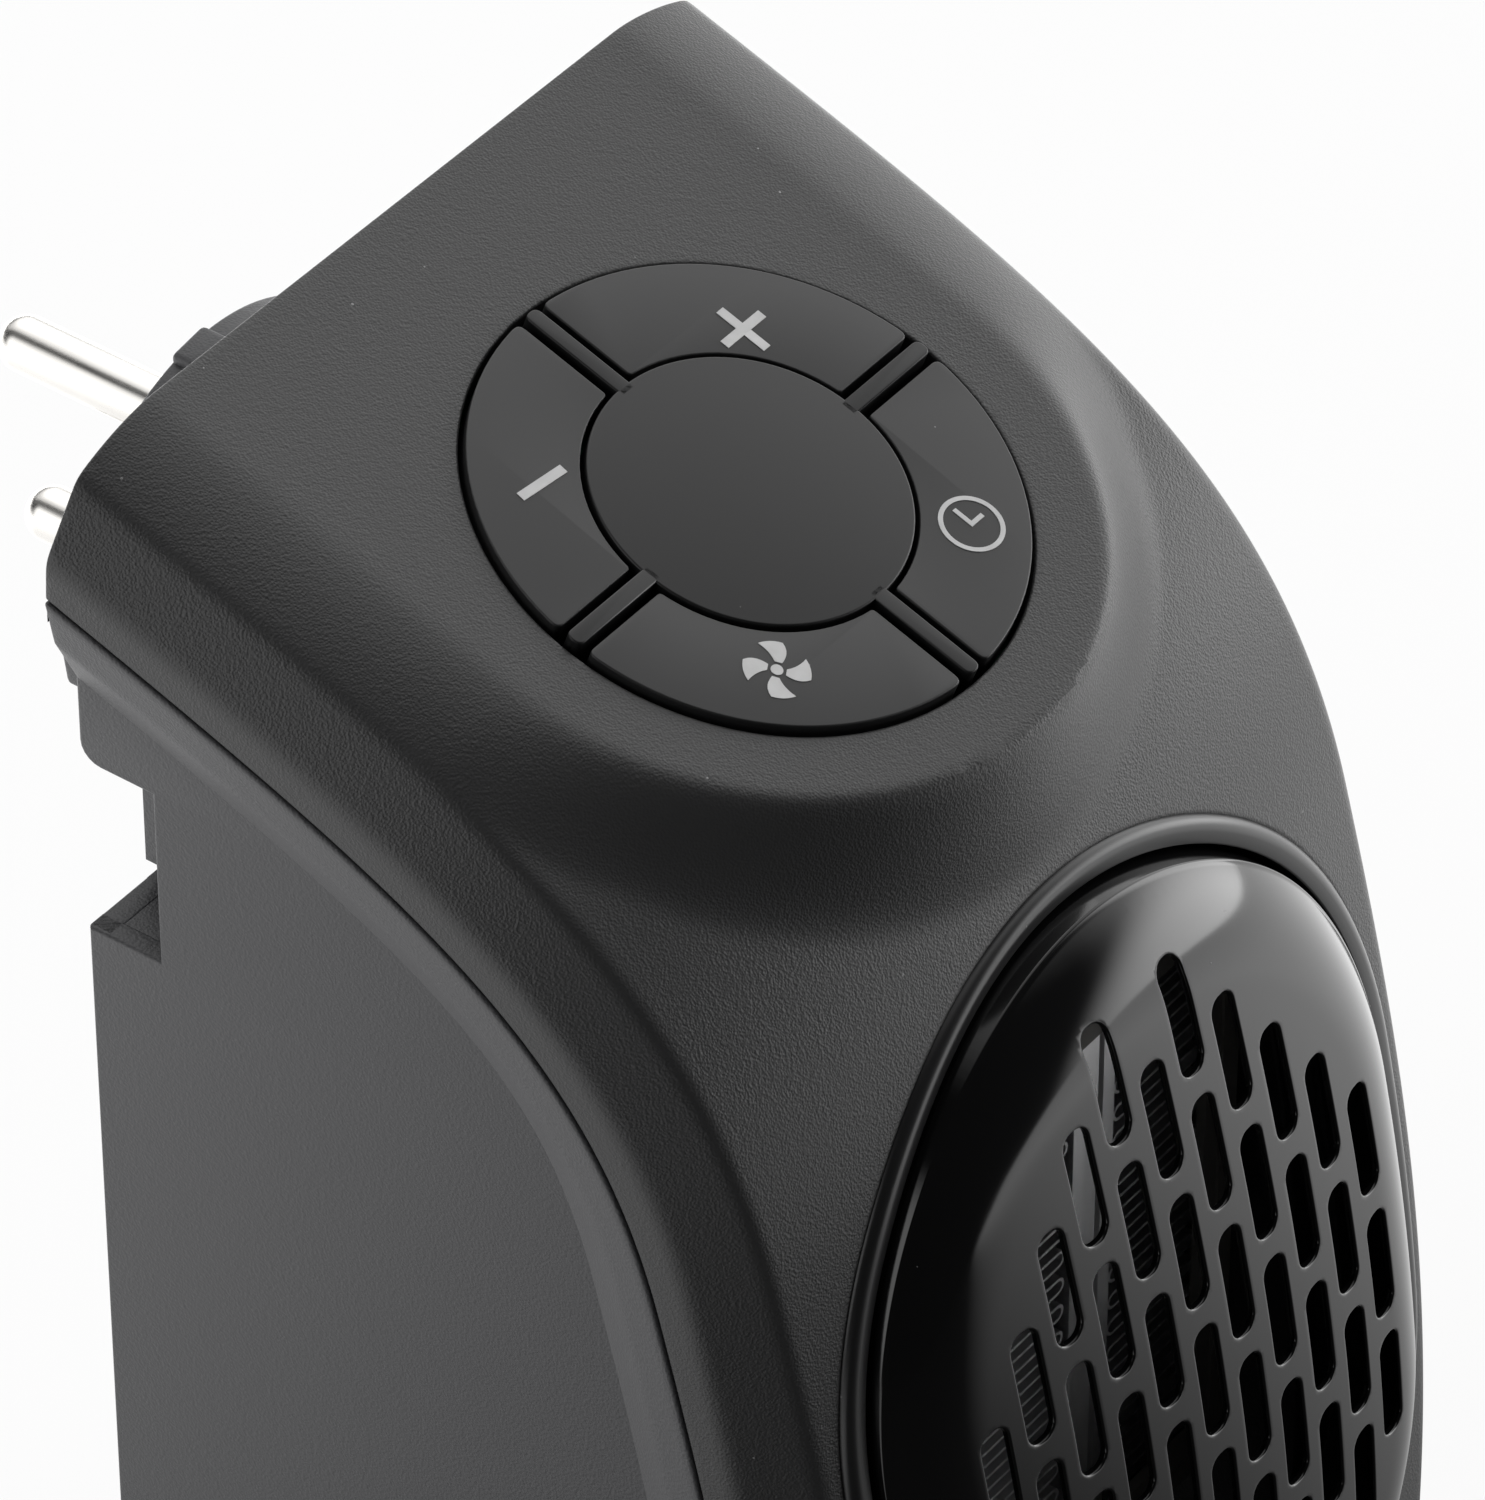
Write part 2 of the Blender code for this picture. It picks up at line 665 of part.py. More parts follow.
def front_y(x, z, lift):
    """Y of the front skin, raised by lift, at a place in the front view."""
    low, high = 0, len(PIECES)
    for _ in range(PROFILE_STEPS):
        middle = (low + high) / 2
        stretch = min(2, int(middle))
        place, normal = profile(stretch, middle - stretch)
        height = (place + normal * (crown_at(x) + lift)).y
        if height > z:
            low = middle
        else:
            high = middle
    stretch = min(2, int(low))
    place, normal = profile(stretch, low - stretch)
    return (place + normal * (crown_at(x) + lift)).x


def inset_profile(depth, limit):
    """Side outline at a depth inside the shoulder line, cut off at a plane behind."""
    points = []
    for place, normal, _ in row_list():
        spot = place - normal * depth
        points.append((spot.x, spot.y))
    kept = []
    for one, two in zip(points, points[1:]):
        if one[0] <= limit:
            kept.append(one)
        if (one[0] - limit) * (two[0] - limit) < 0:
            share = (limit - one[0]) / (two[0] - one[0])
            kept.append((limit, one[1] + (two[1] - one[1]) * share))
    return kept


def make_front_shell(finishes):
    """Panel, shoulders, front and base: an open skin thickened inwards, then cut."""
    build = bmesh.new()
    grid = []
    for row in row_list():
        line = [
            section_point(-HALF_WIDTH, RIM_DEPTH, row),
            section_point(-HALF_WIDTH + FACET_INSET, FACET_DEPTH, row),
        ]
        line += [skin_point(x, row) for x in column_list()]
        line += [
            section_point(HALF_WIDTH - FACET_INSET, FACET_DEPTH, row),
            section_point(HALF_WIDTH, RIM_DEPTH, row),
        ]
        grid.append([build.verts.new(point) for point in line])
    for one, two in zip(grid, grid[1:]):
        for i in range(len(one) - 1):
            build.faces.new((one[i], two[i], two[i + 1], one[i + 1]))
    mesh = bpy.data.meshes.new("front_shell")
    build.to_mesh(mesh)
    build.free()
    shell = add_object("front_shell", mesh, WORLD, finishes["shell"], SMOOTH)
    solid = shell.modifiers.new("wall", "SOLIDIFY")
    solid.thickness = WALL
    solid.offset = -1
    solid.use_even_offset = True
    far = HEIGHT
    carve(
        shell,
        box("shell_back_trim", (-far, BACK_Y, -far), (far, BACK_Y + far, far + far)),
        rod("key_well", WELL_RADIUS, -SPIDER_RING_OUTER / 2, OVERRUN, PANEL_VIEW, steps=ROUND_STEPS),
        plate(
            "grille_opening",
            [stadium(OPENING_RADIUS, LOWER_ARC_Z, UPPER_ARC_Z, ARC_STEPS)],
            0, BODY_DEPTH, FRONT_VIEW,
        ),
    )
    for side, name in SIDES:
        for tool in shell_bosses(side, name):
            fuse(shell, tool)
    for side, name in SIDES:
        for level, height in screw_levels():
            hole = rod(
                f"boss_hole_{level}_{name}", SCREW_RADIUS + GAP, INNER_BACK_Y - BOSS_DEPTH,
                BACK_Y, ALONG_Y, (side * SCREW_X, -height), steps=12,
            )
            carve(shell, hole)
    return shell


def screw_levels():
    return (("upper", HEIGHT - SCREW_TOP_DROP), ("lower", SCREW_BASE_RISE))


def shell_bosses(side, name):
    """Two screw blocks: one hangs from the panel's skin, one stands on the base."""
    end = INNER_BACK_Y - GAP
    start = end - BOSS_DEPTH
    sunk = WALL / 2

    def skin_z(y):
        return HEIGHT - sunk / PANEL_COS - (BACK_Y - y) * math.tan(PANEL_TILT)

    x_low = side * SCREW_X - BOSS_HALF_WIDTH
    x_high = side * SCREW_X + BOSS_HALF_WIDTH
    low_z = HEIGHT - SCREW_TOP_DROP - BOSS_HALF_WIDTH
    hanging = [(start, low_z), (end, low_z), (end, skin_z(end)), (start, skin_z(start))]
    inner = min(abs(x_low), abs(x_high))
    outer = min(PANEL_HALF_WIDTH, max(abs(x_low), abs(x_high)))
    span = sorted((side * inner, side * outer))
    upper = plate(f"boss_upper_{name}", [hanging], span[0], span[1], SIDE_VIEW)
    top = SCREW_BASE_RISE + BOSS_HALF_WIDTH
    lower = box(f"boss_lower_{name}", (x_low, start, sunk), (x_high, end, top))
    return upper, lower


def back_wall_outline():
    """Outline of the back wall, just inside the shell's section and the side walls' faces."""
    top = PANEL_BACK_TOP - WALL * math.tan(PANEL_TILT)
    crease = top - SHOULDER_DROP
    side = SIDE_X - WALL / 2
    corner = FACET_DEPTH + WALL / 2
    right = [
        (CREASE_X - WALL, WALL + GAP), (side, corner), (side, crease - corner),
        (CREASE_X - WALL - GAP, crease), (PANEL_HALF_WIDTH - WALL, top),
    ]
    return right + [(-x, z) for x, z in reversed(right)]


def make_rear_housing(finishes):
    """Back wall, two side walls with a flared edge, lined corner notches, inlet slots."""
    housing = plate(
        "rear_housing", [back_wall_outline()], -BACK_Y - OVERRUN / 2, -INNER_BACK_Y, FRONT_VIEW,
        finishes["housing"],
    )
    outline = inset_profile(TONGUE_DEPTH, BACK_Y + OVERRUN)
    for side, name in SIDES:
        span = sorted((side * (SIDE_X - WALL), side * SIDE_X))
        fuse(housing, plate(f"side_wall_{name}", [outline], *span, SIDE_VIEW))
        fuse(housing, flare_strip(side, name), notch_liner(side, name))
        fuse(housing, *wall_rails(side, name))
    for side, name in SIDES:
        carve(housing, *notch_cutters(side, name), *rail_grooves(side, name))
    holes = [(side * SCREW_X, z, INNER_BACK_Y - OVERRUN, BACK_Y + OVERRUN)
             for side, _ in SIDES for _, z in screw_levels()]
    holes += [(x, z, INNER_BACK_Y - OVERRUN, INNER_BACK_Y + CARRIER_SCREW_BITE)
              for x, z in carrier_screw_places()]
    for index, (x, z, start, end) in enumerate(holes):
        carve(housing, rod(f"wall_hole_{index}", SCREW_RADIUS + GAP, start, end, ALONG_Y,
                           (x, -z), steps=12))
    carve(
        housing,
        box("back_trim", (-WIDTH, BACK_Y, -HEIGHT), (WIDTH, BACK_Y + HEIGHT, HEIGHT + HEIGHT)),
        rod("neck_hole", NECK_RADIUS + GAP, INNER_BACK_Y - OVERRUN, BACK_Y + OVERRUN, ALONG_Y,
            (0, -PLUG_Z), steps=ROUND_STEPS),
        inlet_cutter(),
        rocker_cutter(),
    )
    return housing


def notch_liner(side, name):
    """Block in the rear corner that the notch is cut into."""
    low = NOTCH_LOW - WALL
    high = NOTCH_LOW + NOTCH_HEIGHT + NOTCH_CORNER + WALL
    span = sorted((side * (SIDE_X - NOTCH_FOOT_WIDTH - WALL), side * (SIDE_X - WALL / 2)))
    return box(
        f"notch_liner_{name}", (span[0], BACK_Y - NOTCH_DEPTH - WALL, low),
        (span[1], BACK_Y - WALL / 2, high),
    )


def notch_cutters(side, name):
    """Notch with a rounded upper corner, and its wider foot over the ledge."""
    front = BACK_Y - NOTCH_DEPTH
    top = NOTCH_LOW + NOTCH_HEIGHT
    corner = arc(NOTCH_CORNER, 0, -math.pi / 2, 4, (BACK_Y - NOTCH_CORNER, top + NOTCH_CORNER))
    outline = [(front, NOTCH_LOW), (BACK_Y + OVERRUN, NOTCH_LOW),
               (BACK_Y + OVERRUN, top + NOTCH_CORNER)]
    outline += corner + [(front, top)]
    span = sorted((side * (SIDE_X - NOTCH_WIDTH), side * (SIDE_X + OVERRUN)))
    foot = sorted((side * (SIDE_X - NOTCH_FOOT_WIDTH), side * (SIDE_X + OVERRUN)))
    return (
        plate(f"notch_{name}", [outline], *span, SIDE_VIEW),
        box(f"notch_foot_{name}", (foot[0], front, NOTCH_LOW),
            (foot[1], BACK_Y + OVERRUN, NOTCH_LOW + NOTCH_FOOT_HEIGHT)),
    )


def rail_places():
    """What slides between the side walls: (name, front, back, bottom, top, half width)."""
    plate_low = GRILLE_Z - DUCT_PLATE_HEIGHT / 2
    plate_high = GRILLE_Z + DUCT_PLATE_HEIGHT / 2
    board_low = POWER_BOARD_TOP - POWER_BOARD_HEIGHT
    return (
        ("duct", DUCT_FRONT_Y, DUCT_FRONT_Y + DUCT_PLATE_THICKNESS, plate_low, plate_high,
         DUCT_HALF_WIDTH),
        ("board", POWER_BOARD_Y, POWER_BOARD_Y + BOARD_THICKNESS, board_low, POWER_BOARD_TOP,
         POWER_BOARD_WIDTH / 2),
    )


def wall_rails(side, name):
    """Blocks on a side wall that hold the duct plate and the power board."""
    rails = []
    for what, front, back, low, high, half in rail_places():
        span = sorted((side * (half - RAIL_GRIP), side * (SIDE_X - WALL / 2)))
        rails.append(box(
            f"rail_{what}_{name}", (span[0], front - GAP - RAIL_THICKNESS, low - RAIL_THICKNESS),
            (span[1], back + GAP + RAIL_THICKNESS, high),
        ))
    return rails


def rail_grooves(side, name):
    """Grooves of the rails, open inwards and upwards."""
    grooves = []
    for what, front, back, low, high, half in rail_places():
        span = sorted((side * (half - RAIL_GRIP - OVERRUN), side * (half + GAP)))
        grooves.append(box(
            f"groove_{what}_{name}", (span[0], front - GAP, low - GAP),
            (span[1], back + GAP, high + OVERRUN),
        ))
    return grooves


def flare_strip(side, name):
    """Wedge along the parting line, from the full width in to the flat side wall."""
    inner = SIDE_X - WALL / 2
    sunk = WALL / 4
    foot = FLARE_DEPTH + sunk * (FLARE_DEPTH - RIM_DEPTH) / SIDE_INSET
    corners = (
        (inner, RIM_DEPTH + GAP), (HALF_WIDTH, RIM_DEPTH + GAP), (SIDE_X - sunk, foot),
        (inner, foot),
    )
    rows = row_list(OVERRUN + OVERRUN)
    sections = []
    for row, limit in zip(rows, bend_limits(rows)):
        sections.append([
            section_point(side * x, min(depth, limit), row) for x, depth in corners
        ])
    return loft(f"flare_{name}", sections, WORLD)


def bend_limits(rows):
    """Depth at each row that an inset line can reach before it folds over itself."""
    radii = []
    for (one, facing, _), (two, turned_to, _) in zip(rows, rows[1:]):
        turn = (turned_to - facing).length
        radii.append(BEND_SHARE * (two - one).length / turn if turn > FLAT else HEIGHT)
    return [min(pair) for pair in zip([HEIGHT] + radii, radii + [HEIGHT])]


def inlet_cutter():
    """All the upright inlet slots in one cutter."""
    build = bmesh.new()
    for i in range(INLET_COUNT):
        x = (i - (INLET_COUNT - 1) / 2) * INLET_PITCH
        slot = bmesh.ops.create_cube(build, size=1)
        for vert in slot["verts"]:
            vert.co = Vector((
                x + vert.co.x * INLET_WIDTH,
                (INNER_BACK_Y + BACK_Y) / 2 + vert.co.y * (WALL + OVERRUN),
                GRILLE_Z + vert.co.z * INLET_LENGTH,
            ))
    return add_object("inlet_slots", tidy_mesh(build, "inlet_slots"), WORLD, None)


# Grille


def make_bezel(finishes):
    """Trim ring that follows the front skin round the grille."""
    sections = []
    for (ux, uz), base in stadium_rays():
        section = []
        for radius, step in (
            (BEZEL_RADIUS, -BEZEL_DEPTH), (BEZEL_RADIUS, BEZEL_PROUD - BEZEL_ROUND),
            (BEZEL_RADIUS - BEZEL_ROUND, BEZEL_PROUD),
            (BEZEL_INNER_RADIUS + BEZEL_ROUND, BEZEL_PROUD),
            (BEZEL_INNER_RADIUS, BEZEL_PROUD - BEZEL_ROUND),
            (BEZEL_INNER_RADIUS, -BEZEL_DEPTH),
        ):
            x, z = ux * radius, base + uz * radius
            edge_x, edge_z = ux * BEZEL_RADIUS, base + uz * BEZEL_RADIUS
            section.append((x, front_y(edge_x, edge_z, 0) - step, z))
        sections.append(section)
    return loft("bezel_ring", sections, WORLD, finishes["satin"], True, SMOOTH)


def stadium_rays():
    """Unit rays round the grille, each with the height of the arc centre it leaves."""
    rays = []
    for i in range(ARC_STEPS + 1):
        angle = math.pi * i / ARC_STEPS
        rays.append(((math.cos(angle), math.sin(angle)), UPPER_ARC_Z))
    for i in range(ARC_STEPS + 1):
        angle = math.pi + math.pi * i / ARC_STEPS
        rays.append(((math.cos(angle), math.sin(angle)), LOWER_ARC_Z))
    return rays


def make_grille(finishes):
    """Domed disc with a rounded rim and staggered upright slots."""
    build = bmesh.new()
    rings = []
    for share, rise in zip(GRILLE_RING_SHARES, RIM_RISE_SHARES):
        radius = GRILLE_RADIUS * share
        lift = GRILLE_PROUD * rise - GRILLE_EDGE_SINK * (1 - rise)
        ring = []
        for (ux, uz), base in stadium_rays():
            x, z = ux * radius, base + uz * radius
            ring.append(build.verts.new((x, front_y(x, z, lift), z)))
        rings.append(ring)
    spine = [
        build.verts.new((0, front_y(0, base, GRILLE_PROUD), base))
        for _, base in stadium_rays()
    ]
    rings.append(spine)
    count = len(rings[0])
    for one, two in zip(rings, rings[1:]):
        for i in range(count):
            after = (i + 1) % count
            build.faces.new((one[i], one[after], two[after], two[i]))
    bmesh.ops.remove_doubles(build, verts=build.verts, dist=WELD)
    bmesh.ops.dissolve_degenerate(build, edges=build.edges, dist=WELD)
    mesh = bpy.data.meshes.new("grille")
    build.to_mesh(mesh)
    build.free()
    grille = add_object("grille", mesh, WORLD, finishes["gloss"], SMOOTH)
    solid = grille.modifiers.new("wall", "SOLIDIFY")
    solid.thickness = GRILLE_THICKNESS
    solid.offset = -1
    solid.use_even_offset = True
    carve(grille, slot_cutter())
    return grille


def slot_places():
    """Centres of the slots: columns outwards from the middle, every other one staggered."""
    places = []
    for column, rows in enumerate(SLOT_ROWS):
        for side in (-1, 1) if column else (1,):
            for i in range(rows):
                z = GRILLE_Z + (i - (rows - 1) / 2) * SLOT_RISE
                places.append((side * column * SLOT_PITCH, z))
    return places


def slot_cutter():
    """One cutter that holds a prism for every slot."""
    half = (SLOT_LENGTH - SLOT_WIDTH) / 2
    loops = [
        [(x, z) for x, z in stadium(SLOT_WIDTH / 2, place_z - half, place_z + half,
                                    SLOT_END_STEPS, place_x)]
        for place_x, place_z in slot_places()
    ]
    return plate("grille_slots", loops, 0, BODY_DEPTH, FRONT_VIEW)


# Key ring


def make_spider(finishes):
    """Centre disc, four arms and the ring under the panel that carries them."""
    top = KEY_PROUD
    low = top - KEY_DEPTH
    floor = low - ARM_FOOT_DEPTH
    ring_top = -WALL - GAP
    hub = rod(
        "keypad_spider", HUB_RADIUS, low, top, PANEL_VIEW, material=finishes["hub"],
        steps=ROUND_STEPS,
    )
    half = ARM_WIDTH / 2
    start = HUB_RADIUS - ARM_WIDTH / 2
    arms = (
        ("right", (start, -half), (ARM_REACH, half)), ("left", (-ARM_REACH, -half), (-start, half)),
        ("back", (-half, start), (half, ARM_REACH)), ("front", (-half, -ARM_REACH), (half, -start)),
    )
    for name, low_corner, high_corner in arms:
        fuse(hub, box(f"arm_{name}", (*low_corner, floor), (*high_corner, top), PANEL_VIEW))
    reach = (SPIDER_RING_INNER + SPIDER_RING_OUTER) / 2
    begin = ARM_REACH - ARM_WIDTH
    feet = (
        ("right", (begin, -half), (reach, half)), ("left", (-reach, -half), (-begin, half)),
        ("back", (-half, begin), (half, reach)), ("front", (-half, -reach), (half, -begin)),
    )
    step = (ring_top - floor) / 2
    for name, low_corner, high_corner in feet:
        block = box(
            f"foot_{name}", (*low_corner, floor + GAP), (*high_corner, floor + step), PANEL_VIEW
        )
        fuse(hub, block)
    ring = plate(
        "spider_ring", [circle(SPIDER_RING_OUTER, ROUND_STEPS), circle(SPIDER_RING_INNER, ROUND_STEPS)],
        floor, ring_top, PANEL_VIEW,
    )
    fuse(hub, ring)
    for index, (x, y) in enumerate(post_places()):
        post = rod(
            f"post_{index}", SPIDER_POST_RADIUS, -BOARD_CLEARANCE + GAP, floor + step,
            PANEL_VIEW, (x, y), steps=12,
        )
        fuse(hub, post)
    for index, (x, y) in enumerate(post_places()):
        hole = rod(
            f"post_hole_{index}", SCREW_RADIUS / 2 + GAP, -BOARD_CLEARANCE - OVERRUN,
            floor, PANEL_VIEW, (x, y), steps=8,
        )
        carve(hub, hole)
    return hub


def post_places():
    """Places of the four posts that hold the control board, on the diagonals."""
    reach = POST_CENTRE_RADIUS / math.sqrt(2)
    return [(sx * reach, sy * reach) for sx in (-1, 1) for sy in (-1, 1)]


def key_outline():
    """Sector between two arms, in the first quarter, anticlockwise."""
    side = ARM_WIDTH / 2 + KEY_CLEARANCE

    def sweep(radius):
        edge = math.asin(side / radius)
        return arc(radius, edge, math.pi / 2 - edge, KEY_ARC_STEPS)

    return sweep(KEY_RADIUS) + list(reversed(sweep(KEY_INNER_RADIUS)))


KEYS = (("plus", 0), ("minus", 1), ("speed", 2), ("timer", 3))


def make_keys(finishes):
    """Four sector buttons, each turned a quarter on from the last."""
    keys = []
    for name, quarter in KEYS:
        turn = PANEL_VIEW @ Matrix.Rotation(quarter * math.pi / 2, 4, "Z")
        key = plate(
            f"button_{name}", [key_outline()], KEY_PROUD - KEY_DEPTH, KEY_PROUD, turn,
            finishes["key"], SMOOTH,
        )
        keys.append(key)
    return keys


def make_switches(finishes):
    """Four tact switches on the control board, one under each button."""
    half = SWITCH_SIZE / 2
    reach = KEY_CENTRE_RADIUS / math.sqrt(2)
    floor = -BOARD_CLEARANCE + GAP
    top = KEY_PROUD - KEY_DEPTH - KEY_REST_GAP
    for name, quarter in KEYS:
        turn = PANEL_VIEW @ Matrix.Rotation(quarter * math.pi / 2, 4, "Z")
        switch = box(
            f"tact_switch_{name}", (reach - half, reach - half, floor),
            (reach + half, reach + half, floor + SWITCH_HEIGHT), turn, finishes["dark"],
        )
        nib = rod(
            f"switch_nib_{name}", SWITCH_NIB_RADIUS, floor + SWITCH_HEIGHT / 2, top, turn,
            (reach, reach), steps=12,
        )
        fuse(switch, nib)


def make_control_board(finishes):
    """Board under the keys with its display, held on the spider's posts by four screws."""
    loop = rounded_square(BOARD_HALF_WIDTH, BOARD_CORNER)
    holes = [circle(SCREW_RADIUS / 2 + GAP, 8, place) for place in post_places()]
    plate(
        "control_board", [loop] + holes, -BOARD_CLEARANCE - BOARD_THICKNESS, -BOARD_CLEARANCE,
        PANEL_VIEW, finishes["board"],
    )
    box(
        "display_module", (-DISPLAY_WIDTH / 2, -DISPLAY_LENGTH / 2, -BOARD_CLEARANCE + GAP),
        (DISPLAY_WIDTH / 2, DISPLAY_LENGTH / 2, KEY_PROUD - KEY_DEPTH - GAP), PANEL_VIEW,
        finishes["dark"],
    )
    radius = SCREW_RADIUS / 2
    below = -BOARD_CLEARANCE - BOARD_THICKNESS - GAP
    for index, (x, y) in enumerate(post_places()):
        turned(
            f"board_screw_{index + 1}",
            [
                (0, below + BOARD_CLEARANCE / 2), (radius, below + BOARD_CLEARANCE / 2),
                (radius, below), (SCREW_HEAD_RADIUS / 2, below),
                (SCREW_HEAD_RADIUS / 2, below - SCREW_HEAD_HEIGHT / 2),
                (0, below - SCREW_HEAD_HEIGHT / 2),
            ],
            PANEL_VIEW @ Matrix.Translation((x, y, 0)), finishes["steel"], 12,
        )


# Heater pack


def make_heater(finishes):
    """Frame, two upright bars and three folded fin packs."""
    half_x, half_z = HEATER_WIDTH / 2, HEATER_HEIGHT / 2
    wall, lip = HEATER_FRAME_WALL, HEATER_FRAME_LIP

    def window(x, z):
        return [
            (-x, GRILLE_Z - z), (x, GRILLE_Z - z), (x, GRILLE_Z + z), (-x, GRILLE_Z + z)
        ]

    frame = plate(
        "heater_frame",
        [window(half_x + wall, half_z + wall), window(half_x + GAP, half_z + GAP)],
        -HEATER_BACK_Y - lip, -HEATER_FRONT_Y + lip, FRONT_VIEW, finishes["pale"],
    )
    thick = lip - GAP - GAP
    for name, low in (("front", -HEATER_FRONT_Y + GAP), ("rear", -HEATER_BACK_Y - GAP - thick)):
        rim = plate(
            f"frame_lip_{name}",
            [window(half_x + wall / 2, half_z + wall / 2), window(half_x - lip, half_z - lip)],
            low, low + thick, FRONT_VIEW,
        )
        fuse(frame, rim)
    fin_width = (HEATER_WIDTH - 2 * BAR_WIDTH - 4 * GAP) / 3
    left = -half_x
    for name in ("left", "centre", "right"):
        make_fin_pack(f"fin_pack_{name}", left, left + fin_width, finishes)
        left += fin_width + GAP
        if name != "right":
            box(
                f"ptc_bar_{name.replace('centre', 'right')}",
                (left, HEATER_FRONT_Y, GRILLE_Z - half_z),
                (left + BAR_WIDTH, HEATER_BACK_Y, GRILLE_Z + half_z), WORLD, finishes["aluminium"],
            )
            left += BAR_WIDTH + GAP


def make_fin_pack(name, left, right, finishes):
    """Sheet folded to and fro between two bars, as one outline with a notch at each fold."""
    low = GRILLE_Z - HEATER_HEIGHT / 2
    rise = FIN_PITCH / 2
    folds = int((HEATER_HEIGHT - FIN_SHEET) / rise)
    notch = (right - left) * FIN_SHEET / FIN_PITCH

    def edge(first, outer, inner):
        """One side's edge, upwards: blunt fold ends with a notch between each two."""
        points = []
        for i in range(first, folds + 1, 2):
            z = low + i * rise
            if i > 0:
                points += [(inner, z - rise + FIN_SHEET / 2)] if i > first else []
            points += [(outer, z), (outer, z + FIN_SHEET)]
        return points

    rising = edge(0, right, left + notch)
    falling = list(reversed(edge(1, left, right - notch)))
    plate(
        name, [rising + falling], -HEATER_BACK_Y + GAP, -HEATER_FRONT_Y - GAP, FRONT_VIEW,
        finishes["aluminium"],
    )


def make_cutout(finishes):
    """Thermal cut-out on top of the heater frame."""
    floor = GRILLE_Z + HEATER_HEIGHT / 2 + HEATER_FRAME_WALL + GAP
    middle = (HEATER_FRONT_Y + HEATER_BACK_Y) / 2
    cap = CUTOUT_RADIUS * CUTOUT_CAP_SHARE
    turned(
        "thermal_cutout",
        [
            (0, floor + CUTOUT_HEIGHT), (cap, floor + CUTOUT_HEIGHT),
            (cap, floor + CUTOUT_HEIGHT / 2), (CUTOUT_RADIUS, floor + CUTOUT_HEIGHT / 2),
            (CUTOUT_RADIUS, floor), (0, floor),
        ],
        Matrix.Translation((0, middle, 0)), finishes["steel"], 24,
    )


# Fan


def make_duct(finishes):
    """Square plate behind the heater with a round shroud about the fan."""
    radius = FAN_RADIUS + FAN_TIP_GAP
    half, reach = DUCT_HALF_WIDTH, DUCT_PLATE_HEIGHT / 2
    square = [
        (-half, GRILLE_Z - reach), (half, GRILLE_Z - reach), (half, GRILLE_Z + reach),
        (-half, GRILLE_Z + reach),
    ]
    front = -DUCT_FRONT_Y
    duct = plate(
        "air_duct", [square, circle(radius, ROUND_STEPS, (0, GRILLE_Z))],
        front - DUCT_PLATE_THICKNESS, front, FRONT_VIEW, finishes["dark"],
    )
    shroud = plate(
        "fan_shroud",
        [
            circle(radius + DUCT_WALL, ROUND_STEPS, (0, GRILLE_Z)),
            circle(radius, ROUND_STEPS, (0, GRILLE_Z)),
        ],
        -FAN_Y - FAN_DEPTH, front - DUCT_PLATE_THICKNESS / 2, FRONT_VIEW,
    )
    return fuse(duct, shroud)


def fan_frame(turn=0.0):
    """Frame on the fan's axis, at the fan's front, with Z to the back."""
    return Matrix.Translation((0, FAN_Y, GRILLE_Z)) @ ALONG_Y @ Matrix.Rotation(turn, 4, "Z")


def make_fan(finishes):
    """Hub cup with twisted blades; its origin is on the fan's axis."""
    bore = SHAFT_RADIUS + GAP
    hub = turned(
        "fan_impeller",
        [
            (bore, FAN_DEPTH), (HUB_CUP_RADIUS, FAN_DEPTH), (HUB_CUP_RADIUS, BLADE_THICKNESS),
            (HUB_CUP_RADIUS - BLADE_THICKNESS, 0), (bore, 0), (bore, FAN_DEPTH),
        ],
        fan_frame(), finishes["dark"], 28,
    )
    half_chord = (FAN_DEPTH / 2 - BLADE_THICKNESS) / math.cos(BLADE_TWIST)
    for i in range(BLADE_COUNT):
        frame = (
            fan_frame(i * math.tau / BLADE_COUNT)
            @ Matrix.Translation((0, 0, FAN_DEPTH / 2))
            @ Matrix.Rotation(BLADE_TWIST, 4, "X")
        )
        blade = box(
            f"blade_{i}", (HUB_CUP_RADIUS - BLADE_THICKNESS, -BLADE_THICKNESS / 2, -half_chord),
            (FAN_RADIUS - BLADE_THICKNESS, BLADE_THICKNESS / 2, half_chord), frame,
        )
        fuse(hub, blade)
    shaft_end = FAN_DEPTH + SHAFT_OVERHANG
    rod("motor_shaft", SHAFT_RADIUS, 0, shaft_end, fan_frame(), material=finishes["steel"], steps=16)
    return hub


